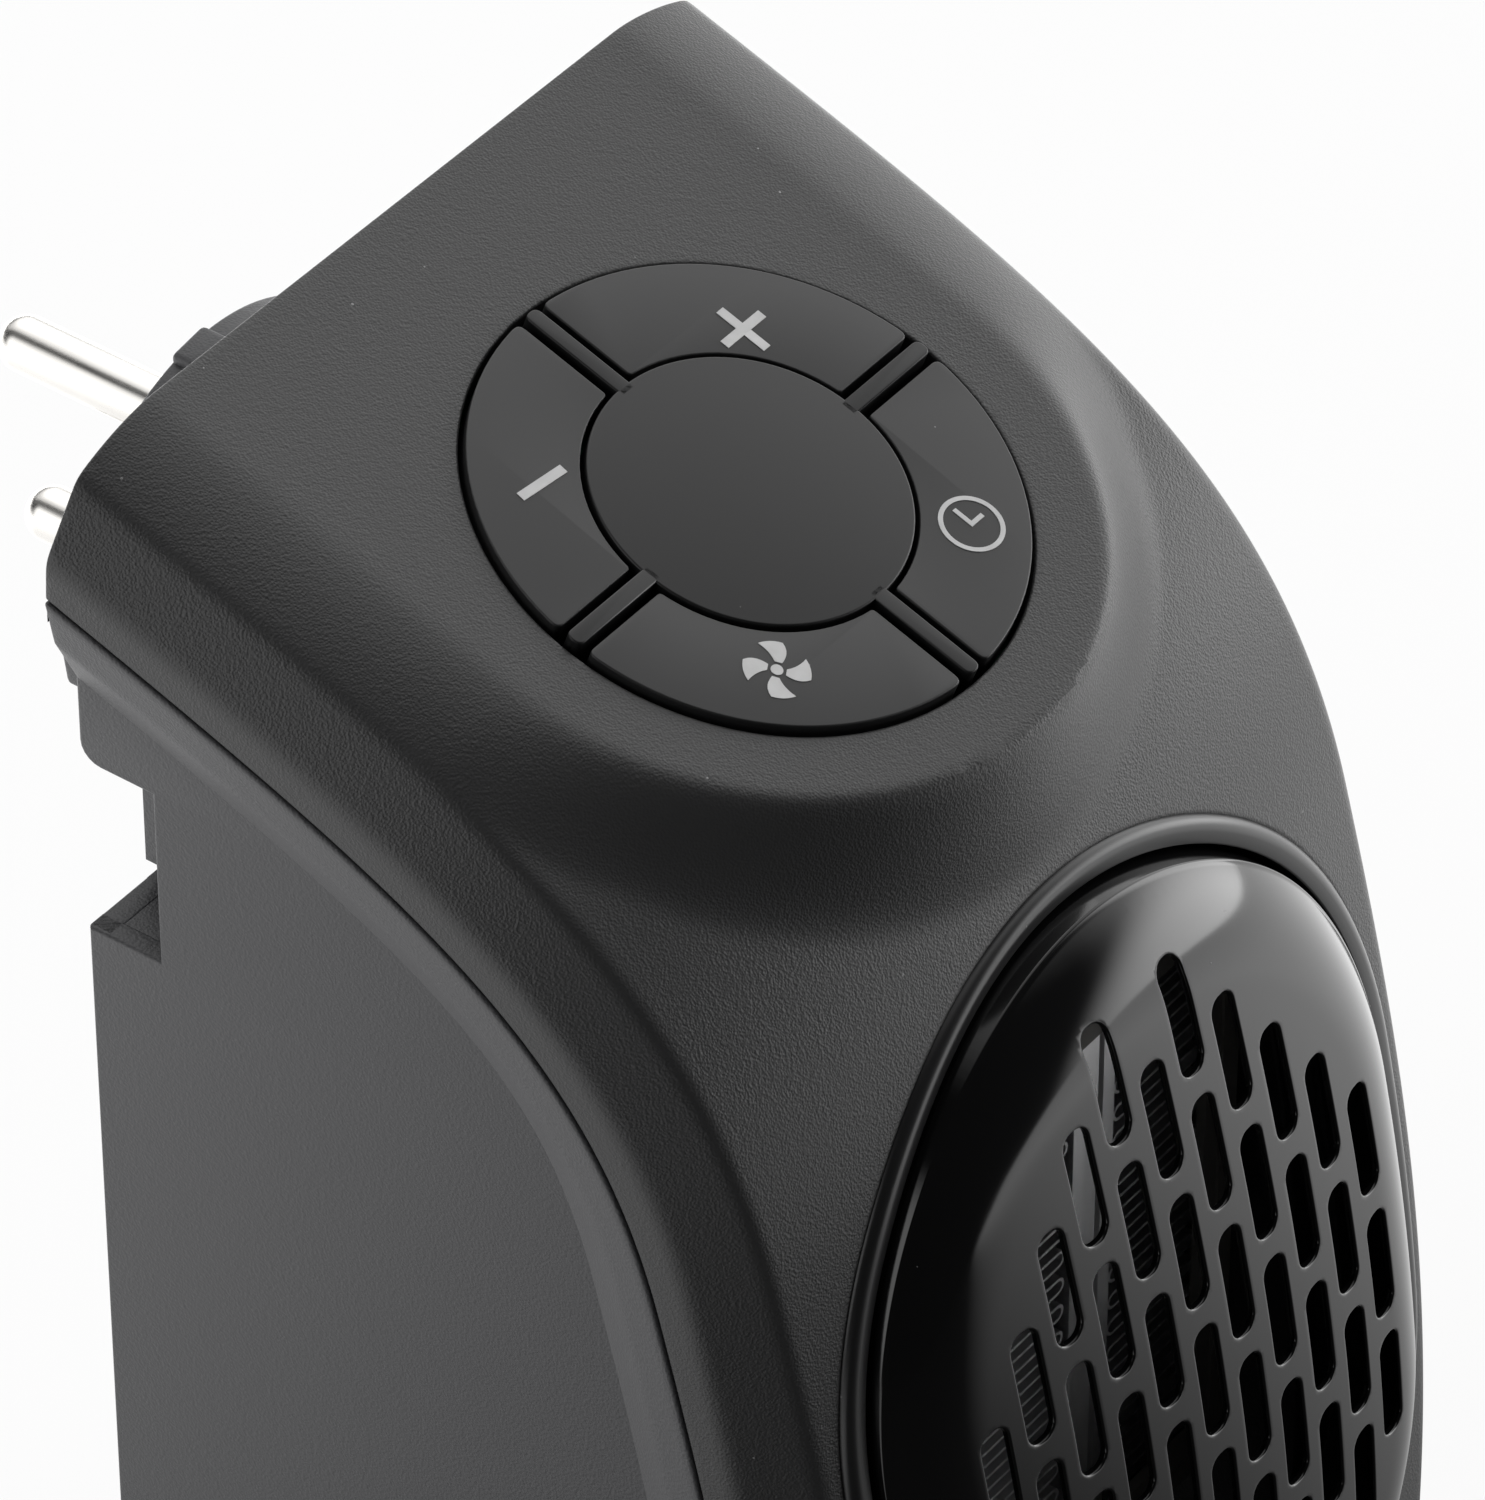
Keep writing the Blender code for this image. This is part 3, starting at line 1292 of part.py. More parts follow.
def make_motor(finishes):
    """Motor can on the fan's axis and the bracket that holds it to the shroud."""
    start = FAN_DEPTH + SHAFT_OVERHANG + GAP
    turned(
        "fan_motor",
        [
            (0, start + MOTOR_LENGTH), (MOTOR_RADIUS - MOTOR_EDGE, start + MOTOR_LENGTH),
            (MOTOR_RADIUS, start + MOTOR_LENGTH - MOTOR_EDGE), (MOTOR_RADIUS, start), (0, start),
        ],
        fan_frame(), finishes["steel"], 32,
    )
    ring_inner = MOTOR_RADIUS + GAP
    ring_outer = ring_inner + BRACKET_RING_WIDTH
    centre = (0, GRILLE_Z)
    front = -FAN_Y - start - GAP
    shroud_end = -FAN_Y - FAN_DEPTH
    bracket = plate(
        "motor_bracket", [circle(ring_outer, 32, centre), circle(ring_inner, 32, centre)],
        front - BRACKET_RING_DEPTH, front, FRONT_VIEW, finishes["dark"],
    )
    reach = FAN_RADIUS + FAN_TIP_GAP + DUCT_WALL
    for i in range(3):
        frame = (
            Matrix.Translation((0, 0, GRILLE_Z)) @ FRONT_VIEW
            @ Matrix.Rotation(math.pi / 2 + i * math.tau / 3, 4, "Z")
        )
        arm = box(
            f"bracket_arm_{i}", (ring_inner + BRACKET_RING_WIDTH / 2, -BRACKET_ARM_WIDTH / 2,
                                 front - BRACKET_THICKNESS),
            (reach, BRACKET_ARM_WIDTH / 2, min(front, shroud_end - GAP)), frame,
        )
        fuse(bracket, arm)
    return bracket


# Plug


def plug_frame():
    """Frame on the plug's axis at the back plane, Z to the back, turned with the plug."""
    return (
        Matrix.Translation((0, BACK_Y, PLUG_Z)) @ ALONG_Y @ Matrix.Rotation(-PLUG_TURN, 4, "Z")
    )


def carrier_screw_places():
    """Places (x, z) of the four screws that hold the carrier plate."""
    across = CARRIER_HALF_WIDTH - CARRIER_SCREW_INSET
    up = CARRIER_HALF_HEIGHT - CARRIER_SCREW_INSET
    return [(side * across, PLUG_Z + level * up) for side in (-1, 1) for level in (-1, 1)]


def make_carrier(finishes):
    """Plate inside the back wall that the plug's neck turns in."""
    half, reach = CARRIER_HALF_WIDTH, CARRIER_HALF_HEIGHT
    outline = [
        (-half, PLUG_Z - reach), (half, PLUG_Z - reach), (half, PLUG_Z + reach),
        (-half, PLUG_Z + reach),
    ]
    bore = circle(NECK_RADIUS + GAP, ROUND_STEPS, (0, PLUG_Z))
    holes = [circle(SCREW_RADIUS + GAP, 12, place) for place in carrier_screw_places()]
    back = INNER_BACK_Y - GAP
    return plate(
        "plug_carrier", [outline, bore] + holes, -back, CARRIER_THICKNESS - back, FRONT_VIEW,
        finishes["housing"],
    )


def make_plug(finishes):
    """Turning plug head, its neck through the wall, its pins, retainer and slip rings."""
    frame = plug_frame()
    inner_end = -WALL - GAP - CARRIER_THICKNESS - NECK_OVERHANG
    head = turned(
        "plug_head",
        [
            (0, PLUG_DEPTH), (PLUG_RADIUS - PLUG_EDGE, PLUG_DEPTH),
            (PLUG_RADIUS, PLUG_DEPTH - PLUG_EDGE), (PLUG_RADIUS, GAP), (NECK_RADIUS, GAP),
            (NECK_RADIUS, inner_end), (0, inner_end),
        ],
        frame, finishes["housing"], ROUND_STEPS,
    )
    outer = PLUG_RADIUS - PLUG_EDGE - GAP
    inner = outer - PLUG_RIB_DEPTH
    half = PLUG_RIB_WIDTH / 2
    for i in range(4):
        turn = frame @ Matrix.Rotation(i * math.pi / 2, 4, "Z")
        rib = box(f"plug_rib_{i}", (inner, -half, PLUG_DEPTH - PLUG_RIB_PROUD),
                  (outer, half, PLUG_DEPTH + PLUG_RIB_PROUD), turn)
        fuse(head, rib)
    tail = PLUG_DEPTH - PIN_TAIL
    for name, place in (("live", PIN_SPACING / 2), ("neutral", -PIN_SPACING / 2)):
        bore = rod(f"pin_bore_{name}", PIN_RADIUS + GAP, tail - GAP, PLUG_DEPTH + OVERRUN,
                   frame, (0, place), steps=24)
        carve(head, bore)
        turned(
            f"plug_pin_{name}", pin_profile(tail), frame @ Matrix.Translation((0, place, 0)),
            finishes["nickel"], 24,
        )
    back = inner_end - GAP
    turned(
        "swivel_retainer",
        [
            (0, back), (RETAINER_RADIUS, back), (RETAINER_RADIUS, back - RETAINER_THICKNESS),
            (0, back - RETAINER_THICKNESS),
        ],
        frame, finishes["housing"], 32,
    )
    floor = back - RETAINER_THICKNESS - GAP
    for name, (inside, outside) in zip(("live", "neutral"), SLIP_RING_RADII):
        plate(
            f"slip_ring_{name}", [circle(outside, 32), circle(inside, 32)],
            floor - SLIP_RING_THICKNESS, floor, frame, finishes["copper"],
        )
    return head


def pin_profile(tail):
    """Round-ended pin, from its tip down to its tail."""
    tip = PLUG_DEPTH + PIN_LENGTH
    steps = 6
    points = []
    for i in range(steps + 1):
        angle = math.pi / 2 * i / steps
        points.append((PIN_RADIUS * math.sin(angle), tip - PIN_RADIUS * (1 - math.cos(angle))))
    return points + [(PIN_RADIUS, tail), (0, tail)]


def make_brushes(finishes):
    """Two sprung contacts from the power board to the slip rings."""
    neck_y = INNER_BACK_Y - GAP - CARRIER_THICKNESS - NECK_OVERHANG
    floor_y = neck_y - GAP - RETAINER_THICKNESS - GAP - SLIP_RING_THICKNESS
    for name, (inner, outer) in zip(("live", "neutral"), SLIP_RING_RADII):
        reach = (inner + outer) / 2
        half = BRUSH_SIZE / 2
        box(
            f"contact_brush_{name}",
            (-half, POWER_BOARD_Y + BOARD_THICKNESS + GAP, PLUG_Z - reach - half),
            (half, floor_y - GAP, PLUG_Z - reach + half), WORLD, finishes["copper"],
        )


# Power board


def make_power_board(finishes):
    """Upright board behind the control board, with its parts on the front side."""
    half = POWER_BOARD_WIDTH / 2
    low = POWER_BOARD_TOP - POWER_BOARD_HEIGHT
    box(
        "power_board", (-half, POWER_BOARD_Y, low), (half, POWER_BOARD_Y + BOARD_THICKNESS,
                                                     POWER_BOARD_TOP),
        WORLD, finishes["board"],
    )
    face = POWER_BOARD_Y - GAP
    width, depth, height = RELAY_SIZE
    middle = low + RELAY_RISE
    left = -half + PART_INSET
    box(
        "relay", (left, face - depth, middle - height / 2), (left + width, face, middle + height / 2),
        WORLD, finishes["dark"],
    )
    rod(
        "fuse", FUSE_RADIUS, -FUSE_LENGTH / 2, FUSE_LENGTH / 2, SIDE_VIEW,
        (face - FUSE_RADIUS, low + FUSE_RISE), finishes["glass"], 16,
    )
    rod(
        "capacitor", CAPACITOR_RADIUS, -CAPACITOR_LENGTH / 2, CAPACITOR_LENGTH / 2,
        Matrix.Translation((half - PART_INSET - CAPACITOR_RADIUS,
                            face - CAPACITOR_RADIUS, middle)),
        material=finishes["blue"], steps=20,
    )


# Rocker switch


def rocker_centre():
    return Vector((SIDE_X, BACK_Y - ROCKER_SETBACK, HEIGHT - ROCKER_DROP))


def rocker_cutter():
    """Window in the right-hand wall."""
    centre = rocker_centre()
    half_y = ROCKER_WIDTH / 2 + ROCKER_BEZEL / 2 + GAP
    half_z = ROCKER_LENGTH / 2 + ROCKER_BEZEL / 2 + GAP
    return box(
        "rocker_window", (SIDE_X - WALL - OVERRUN, centre.y - half_y, centre.z - half_z),
        (SIDE_X + OVERRUN, centre.y + half_y, centre.z + half_z),
    )


def make_rocker(finishes):
    """Switch frame with a stepped edge, and the rocker on its level axis."""
    centre = rocker_centre()
    inner_y = ROCKER_WIDTH / 2
    inner_z = ROCKER_LENGTH / 2
    edge = ROCKER_BEZEL

    def block(name, grow, low_x, high_x, material=None):
        return box(
            name, (low_x, centre.y - inner_y - grow, centre.z - inner_z - grow),
            (high_x, centre.y + inner_y + grow, centre.z + inner_z + grow), WORLD, material,
        )

    outside = SIDE_X + GAP
    frame = block(
        "rocker_frame", edge / 2, SIDE_X - ROCKER_BOX_DEPTH, outside + ROCKER_BEZEL_PROUD / 2,
        finishes["dark"],
    )
    fuse(frame, block("rocker_flange", edge, outside, outside + ROCKER_BEZEL_PROUD))
    carve(
        frame,
        block("rocker_pocket", -GAP, SIDE_X - ROCKER_BOX_DEPTH + edge, SIDE_X + OVERRUN),
    )
    turn = Matrix.Translation(centre) @ Matrix.Rotation(ROCKER_TILT, 4, "Y")
    half_y = inner_y - GAP - ROCKER_CLEARANCE / 2
    half_z = inner_z - GAP - ROCKER_CLEARANCE
    rocker = plate(
        "power_rocker",
        [rocker_outline(half_z)], -half_y, half_y,
        turn @ frame_of((0, 0, 1), (1, 0, 0), (0, 1, 0)), finishes["key"],
    )
    return rocker


def rocker_outline(half_z):
    """Side outline of the rocker: dished face outside, keel at its axis inside."""
    top = ROCKER_PROUD
    dish = ROCKER_PROUD / 2
    floor = top - ROCKER_THICKNESS
    keel = floor - ROCKER_THICKNESS
    return [
        (-half_z, floor / 2), (-half_z / 3, keel), (half_z / 3, keel), (half_z, floor / 2),
        (half_z, top), (0, dish), (-half_z, top),
    ]


# Screws and leads


def make_screws(finishes):
    """Housing screws from the back and carrier screws from the inside."""
    for side, name in SIDES:
        for level, height in screw_levels():
            frame = Matrix.Translation((side * SCREW_X, BACK_Y + GAP, height)) @ ALONG_Y
            turned(f"housing_screw_{level}_{name}", screw_profile(SCREW_LENGTH), frame,
                   finishes["steel"], 16)


def make_carrier_screws(finishes):
    """Four screws from the inside, through the carrier plate into the back wall."""
    face = INNER_BACK_Y - GAP - CARRIER_THICKNESS - GAP
    length = CARRIER_THICKNESS + GAP + CARRIER_SCREW_BITE
    for index, (x, z) in enumerate(carrier_screw_places()):
        frame = (
            Matrix.Translation((x, face, z)) @ ALONG_Y @ Matrix.Rotation(math.pi, 4, "X")
        )
        turned(f"carrier_screw_{index + 1}", screw_profile(length), frame, finishes["steel"], 16)


def screw_profile(length):
    """Pan head above the origin, shank below it."""
    return [
        (0, SCREW_HEAD_HEIGHT), (SCREW_HEAD_RADIUS * SCREW_DOME_SHARE, SCREW_HEAD_HEIGHT),
        (SCREW_HEAD_RADIUS, SCREW_HEAD_HEIGHT / 2), (SCREW_HEAD_RADIUS, 0), (SCREW_RADIUS, 0),
        (SCREW_RADIUS, -length), (0, -length),
    ]


def smooth_chain(points, steps=5):
    """Rounded chain through hand-picked points."""
    full = [points[0]] + list(points) + [points[-1]]
    chain = []
    for a, b, c, d in zip(full, full[1:], full[2:], full[3:]):
        a, b, c, d = Vector(a), Vector(b), Vector(c), Vector(d)
        for i in range(steps):
            t = i / steps
            chain.append(
                b + (c - a) * t / 2 + (a * 2 - b * 5 + c * 4 - d) * t * t / 2
                + (b * 3 - a - c * 3 + d) * t**3 / 2
            )
    return chain + [Vector(points[-1])]


def make_leads(finishes):
    """Leads from the heater bars over the duct to the power board, and from the motor."""
    bar_top = GRILLE_Z + HEATER_HEIGHT / 2 + HEATER_FRAME_WALL + GAP
    board_low = POWER_BOARD_TOP - POWER_BOARD_HEIGHT
    middle = (HEATER_FRONT_Y + HEATER_BACK_Y) / 2
    over = GRILLE_Z + DUCT_PLATE_HEIGHT / 2 + GAP + LEAD_RADIUS * 2
    bend = over - bar_top
    turn = arc(bend, math.pi, math.pi / 2, LEAD_STEPS, (middle + bend, bar_top))
    for side, name in ((-1, "live"), (1, "neutral")):
        x = side * LEAD_X
        route = [(x, y, z) for y, z in turn]
        route += [(x, DUCT_FRONT_Y + DUCT_PLATE_THICKNESS, over),
                  (x, POWER_BOARD_Y - GAP, board_low + LEAD_LANDING)]
        tube(f"heater_lead_{name}", route, LEAD_RADIUS, finishes["red"])
    motor_y = FAN_Y + FAN_DEPTH + MOTOR_LENGTH / 2
    motor_top = GRILLE_Z + MOTOR_RADIUS + LEAD_RADIUS
    back = POWER_BOARD_Y + BOARD_THICKNESS + GAP + LEAD_RADIUS
    route = [
        (0, motor_y, motor_top), (0, motor_y, motor_top + LEAD_BEND),
        (0, back, board_low - LEAD_BEND), (0, back, board_low + LEAD_BEND / 2),
    ]
    tube("motor_lead", smooth_chain(route), LEAD_RADIUS, finishes["white"])


def make_ribbon(finishes):
    """Flat cable from the control board's underside down the back of the power board."""
    y = POWER_BOARD_Y + BOARD_THICKNESS + GAP
    under = HEIGHT - (BACK_Y - y) * math.tan(PANEL_TILT)
    under -= (BOARD_CLEARANCE + BOARD_THICKNESS + GAP) / PANEL_COS
    outer = y + RIBBON_THICKNESS
    low = POWER_BOARD_TOP - RIBBON_WIDTH
    strip = [(y, low), (outer, low), (outer, under), (y, under)]
    return plate("ribbon_cable", [strip], RIBBON_X - RIBBON_WIDTH / 2, RIBBON_X + RIBBON_WIDTH / 2,
                 SIDE_VIEW, finishes["white"])


def main():
    """Build the whole heater."""
    clear_scene()
    finishes = make_finishes()
    make_front_shell(finishes)
    make_rear_housing(finishes)
    make_bezel(finishes)
    make_grille(finishes)
    make_spider(finishes)
    make_keys(finishes)
    make_switches(finishes)
    make_control_board(finishes)
    make_heater(finishes)
    make_cutout(finishes)
    make_duct(finishes)
    make_fan(finishes)
    make_motor(finishes)
    make_carrier(finishes)
    make_plug(finishes)
    make_brushes(finishes)
    make_power_board(finishes)
    make_rocker(finishes)
    make_screws(finishes)
    make_carrier_screws(finishes)
    make_leads(finishes)
    make_ribbon(finishes)


main()
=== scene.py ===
"""Looks of the plug-in fan heater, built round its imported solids.

Metres, +Z up: the grille faces -Y, the plug leaves along +Y, and the flat base lies on
z = 0. Each sub-assembly is a class, each finish a small frozen class.
"""

import json
import logging
import math
from dataclasses import dataclass, field
from enum import Enum
from typing import Iterable, Sequence

import bmesh
import bpy
import numpy as np
from mathutils import Matrix, Vector

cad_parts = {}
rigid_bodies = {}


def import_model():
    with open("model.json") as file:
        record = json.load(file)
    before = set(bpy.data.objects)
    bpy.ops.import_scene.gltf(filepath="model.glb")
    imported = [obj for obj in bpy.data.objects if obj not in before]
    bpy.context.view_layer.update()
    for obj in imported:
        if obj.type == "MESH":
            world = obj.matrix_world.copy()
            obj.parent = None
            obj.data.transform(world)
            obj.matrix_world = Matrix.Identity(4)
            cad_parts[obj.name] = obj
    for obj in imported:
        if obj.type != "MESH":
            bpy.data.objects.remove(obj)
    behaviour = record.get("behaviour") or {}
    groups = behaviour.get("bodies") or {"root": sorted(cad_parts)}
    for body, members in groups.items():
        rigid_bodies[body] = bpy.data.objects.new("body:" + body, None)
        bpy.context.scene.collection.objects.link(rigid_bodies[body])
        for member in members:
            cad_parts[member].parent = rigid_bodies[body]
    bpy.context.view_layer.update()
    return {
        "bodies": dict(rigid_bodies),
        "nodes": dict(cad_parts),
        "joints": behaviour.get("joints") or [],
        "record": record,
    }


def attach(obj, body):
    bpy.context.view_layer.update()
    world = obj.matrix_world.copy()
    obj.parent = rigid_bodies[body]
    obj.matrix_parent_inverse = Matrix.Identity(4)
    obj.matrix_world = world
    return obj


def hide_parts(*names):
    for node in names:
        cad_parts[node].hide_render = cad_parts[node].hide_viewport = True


LOG = logging.getLogger("fan_heater")
SMOOTH_ANGLE = math.radians(38)

Pair = tuple[float, float]
Triple = tuple[float, float, float]


class Body(Enum):
    """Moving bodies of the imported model."""

    HOUSING = "housing"
    PLUG = "plug"
    ROCKER = "rocker"
    PLUS = "button_plus_body"
    MINUS = "button_minus_body"
    SPEED = "button_speed_body"
    TIMER = "button_timer_body"


class Slot(Enum):
    """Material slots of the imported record."""

    SHELL = "shell"
    HOUSING = "housing"
    HUB = "hub"
    KEYS = "keys"
    GLOSS = "gloss"
    SATIN = "satin"
    NICKEL = "nickel"
    STEEL = "steel"
    ALUMINIUM = "aluminium"
    COPPER = "copper"
    BOARD = "circuit_board"
    RESIN = "heat_resin"
    SLEEVE = "blue_sleeve"
    RED_LEAD = "red_lead"
    PALE_LEAD = "white_lead"
    GLASS = "fuse_glass"
    DARK = "dark_plastic"


# Shader building


class Graph:
    """Small helper that adds and links shader nodes in one tree."""

    def __init__(self, tree: bpy.types.NodeTree) -> None:
        """Keep the tree.

        Args:
            tree: node tree to fill.
        """
        self.tree = tree

    def add(self, kind: str, **values: object) -> bpy.types.Node:
        """Add a node and set its plain properties.

        Args:
            kind: Blender's node type name.
            values: properties of the node.

        Returns:
            The new node.
        """
        node = self.tree.nodes.new(kind)
        for key, value in values.items():
            setattr(node, key, value)
        return node

    def feed(self, node: bpy.types.Node, name: str | int, source: object) -> None:
        """Link an output to an input, or set the input's value.

        Args:
            node: node whose input is fed.
            name: the input's name or place.
            source: an output socket, or a plain value.
        """
        if isinstance(source, bpy.types.NodeSocket):
            self.tree.links.new(source, node.inputs[name])
        else:
            node.inputs[name].default_value = source

    def maths(self, operation: str, one: object, two: object = 0.0) -> bpy.types.NodeSocket:
        """Arithmetic on two values.

        Args:
            operation: Blender's name of the operation.
            one: first value or output.
            two: second value or output.

        Returns:
            The result's output.
        """
        node = self.add("ShaderNodeMath", operation=operation)
        self.feed(node, 0, one)
        self.feed(node, 1, two)
        return node.outputs[0]

    def blend(self, share: object, one: object, two: object) -> bpy.types.NodeSocket:
        """Mix two colours.

        Args:
            share: how much of the second colour.
            one: first colour or output.
            two: second colour or output.

        Returns:
            The colour's output.
        """
        node = self.add("ShaderNodeMix", data_type="RGBA")
        self.feed(node, 0, share)
        self.feed(node, 6, one)
        self.feed(node, 7, two)
        return node.outputs[2]


def new_group(
    name: str, inputs: Sequence[tuple[str, str, object]], outputs: Sequence[tuple[str, str]]
) -> tuple[bpy.types.NodeTree, Graph, bpy.types.Node, bpy.types.Node]:
    """Start a shader node group with named sockets.

    Args:
        name: the group's name.
        inputs: socket name, kind and default of each input.
        outputs: socket name and kind of each output.

    Returns:
        The group, a helper on it, its input node and its output node.
    """
    group = bpy.data.node_groups.new(name, "ShaderNodeTree")
    for label, kind, default in inputs:
        socket = group.interface.new_socket(label, in_out="INPUT", socket_type=f"NodeSocket{kind}")
        socket.default_value = default
    for label, kind in outputs:
        group.interface.new_socket(label, in_out="OUTPUT", socket_type=f"NodeSocket{kind}")
    graph = Graph(group)
    return group, graph, graph.add("NodeGroupInput"), graph.add("NodeGroupOutput")


def grain_group() -> bpy.types.NodeTree:
    """Moulded leather grain: fine cells with softer waves under them.

    Returns:
        A group that gives a height from 0 to 1.
    """
    found = bpy.data.node_groups.get("moulded_grain")
    if found:
        return found
    group, graph, start, end = new_group(
        "moulded_grain",
        [("Cells per metre", "Float", 1600.0), ("Wave share", "Float", 0.4)],
        [("Height", "Float")],
    )
    spot = graph.add("ShaderNodeTexCoord").outputs["Object"]
    cells = graph.add("ShaderNodeTexVoronoi", feature="SMOOTH_F1")
    graph.feed(cells, "Vector", spot)
    graph.feed(cells, "Scale", start.outputs["Cells per metre"])
    graph.feed(cells, "Smoothness", 0.6)
    waves = graph.add("ShaderNodeTexNoise")
    graph.feed(waves, "Vector", spot)
    graph.feed(waves, "Scale", graph.maths("MULTIPLY", start.outputs["Cells per metre"], 0.45))
    graph.feed(waves, "Detail", 3.0)
    share = start.outputs["Wave share"]
    rest = graph.maths("SUBTRACT", 1.0, share)
    height = graph.maths(
        "ADD",
        graph.maths("MULTIPLY", cells.outputs["Distance"], rest),
        graph.maths("MULTIPLY", waves.outputs["Fac"], share),
    )
    graph.feed(end, "Height", height)
    return group


def tone_group() -> bpy.types.NodeTree:
    """Slow change of tone over a moulding, with rare pale specks of dust.

    Returns:
        A group that gives a tone mask and a dust mask.
    """
    found = bpy.data.node_groups.get("tone_and_dust")
    if found:
        return found
    group, graph, start, end = new_group(
        "tone_and_dust",
        [("Patches per metre", "Float", 35.0), ("Specks per metre", "Float", 420.0),
         ("Speck size", "Float", 0.05)],
        [("Tone", "Float"), ("Dust", "Float")],
    )
    spot = graph.add("ShaderNodeTexCoord").outputs["Object"]
    patches = graph.add("ShaderNodeTexNoise")
    graph.feed(patches, "Vector", spot)
    graph.feed(patches, "Scale", start.outputs["Patches per metre"])
    graph.feed(patches, "Detail", 4.0)
    graph.feed(end, "Tone", patches.outputs["Fac"])
    specks = graph.add("ShaderNodeTexVoronoi", feature="F1")
    graph.feed(specks, "Vector", spot)
    graph.feed(specks, "Scale", start.outputs["Specks per metre"])
    near = graph.maths("LESS_THAN", specks.outputs["Distance"], start.outputs["Speck size"])
    chosen = graph.add("ShaderNodeSeparateColor")
    graph.feed(chosen, 0, specks.outputs["Color"])
    rare = graph.maths("GREATER_THAN", chosen.outputs[0], 0.86)
    graph.feed(end, "Dust", graph.maths("MULTIPLY", near, rare))
    return group


def scratch_group() -> bpy.types.NodeTree:
    """Fine drawn lines along one axis, for rolled and turned metal.

    Returns:
        A group that gives a line mask.
    """
    found = bpy.data.node_groups.get("drawn_lines")
    if found:
        return found
    group, graph, start, end = new_group(
        "drawn_lines",
        [("Lines per metre", "Float", 2500.0), ("Stretch", "Vector", (1.0, 0.03, 1.0))],
        [("Lines", "Float")],
    )
    spot = graph.add("ShaderNodeTexCoord").outputs["Object"]
    scaled = graph.add("ShaderNodeVectorMath", operation="MULTIPLY")
    graph.feed(scaled, 0, spot)
    graph.feed(scaled, 1, start.outputs["Stretch"])
    noise = graph.add("ShaderNodeTexNoise")
    graph.feed(noise, "Vector", scaled.outputs[0])
    graph.feed(noise, "Scale", start.outputs["Lines per metre"])
    graph.feed(noise, "Detail", 2.0)
    graph.feed(end, "Lines", noise.outputs["Fac"])
    return group


def start_material(name: str) -> tuple[bpy.types.Material, Graph, bpy.types.Node]:
    """Make a material with a Principled shader.

    Args:
        name: the material's name.

    Returns:
        The material, a helper on its tree and the shader.
    """
    material = bpy.data.materials.new(name)
    material.use_nodes = True
    graph = Graph(material.node_tree)
    return material, graph, material.node_tree.nodes["Principled BSDF"]


def place_group(graph: Graph, group: bpy.types.NodeTree, **values: object) -> bpy.types.Node:
    """Put a node group into a material and set its inputs.

    Args:
        graph: helper on the material's tree.
        group: the group to place.
        values: input name with underscores for spaces, and its value.

    Returns:
        The group's node.
    """
    node = graph.add("ShaderNodeGroup", node_tree=group)
    for key, value in values.items():
        graph.feed(node, key.replace("_", " "), value)
    return node


def shade(colour: Triple, factor: float) -> tuple[float, float, float, float]:
    """Scale a colour and add its alpha.

    Args:
        colour: linear red, green and blue.
        factor: multiplier.

    Returns:
        The scaled colour with an alpha of 1.
    """
    return (colour[0] * factor, colour[1] * factor, colour[2] * factor, 1.0)


@dataclass(frozen=True)
class MouldedPlastic:
    """Plastic with a moulded grain, a slow change of tone and a little dust."""

    name: str
    colour: Triple
    roughness: float = 0.5
    roughness_spread: float = 0.08
    cells_per_metre: float = 2300.0
    grain_depth: float = 0.00006
    grain_strength: float = 1.0
    tone_spread: float = 0.1
    dust: float = 0.4
    specular: float = 0.5
    coat: float = 0.0

    def build(self) -> bpy.types.Material:
        """Make the material.

        Returns:
            The finished material.
        """
        material, graph, shader = start_material(self.name)
        tone = place_group(graph, tone_group())
        dark = shade(self.colour, 1 - self.tone_spread)
        light = shade(self.colour, 1 + self.tone_spread)
        base = graph.blend(tone.outputs["Tone"], dark, light)
        dusty = graph.maths("MULTIPLY", tone.outputs["Dust"], self.dust)
        graph.feed(shader, "Base Color", graph.blend(dusty, base, (0.4, 0.4, 0.4, 1.0)))
        spread = graph.maths("MULTIPLY", tone.outputs["Tone"], self.roughness_spread)
        graph.feed(shader, "Roughness", graph.maths("ADD", spread, self.roughness))
        shader.inputs["Specular IOR Level"].default_value = self.specular
        if self.coat:
            shader.inputs["Coat Weight"].default_value = self.coat
            shader.inputs["Coat Roughness"].default_value = 0.25
        if self.grain_strength:
            grain = place_group(graph, grain_group(), Cells_per_metre=self.cells_per_metre)
            bump = graph.add("ShaderNodeBump")
            graph.feed(bump, "Strength", self.grain_strength)
            graph.feed(bump, "Distance", self.grain_depth)
            graph.feed(bump, "Height", grain.outputs["Height"])
            graph.feed(shader, "Normal", bump.outputs["Normal"])
        return material


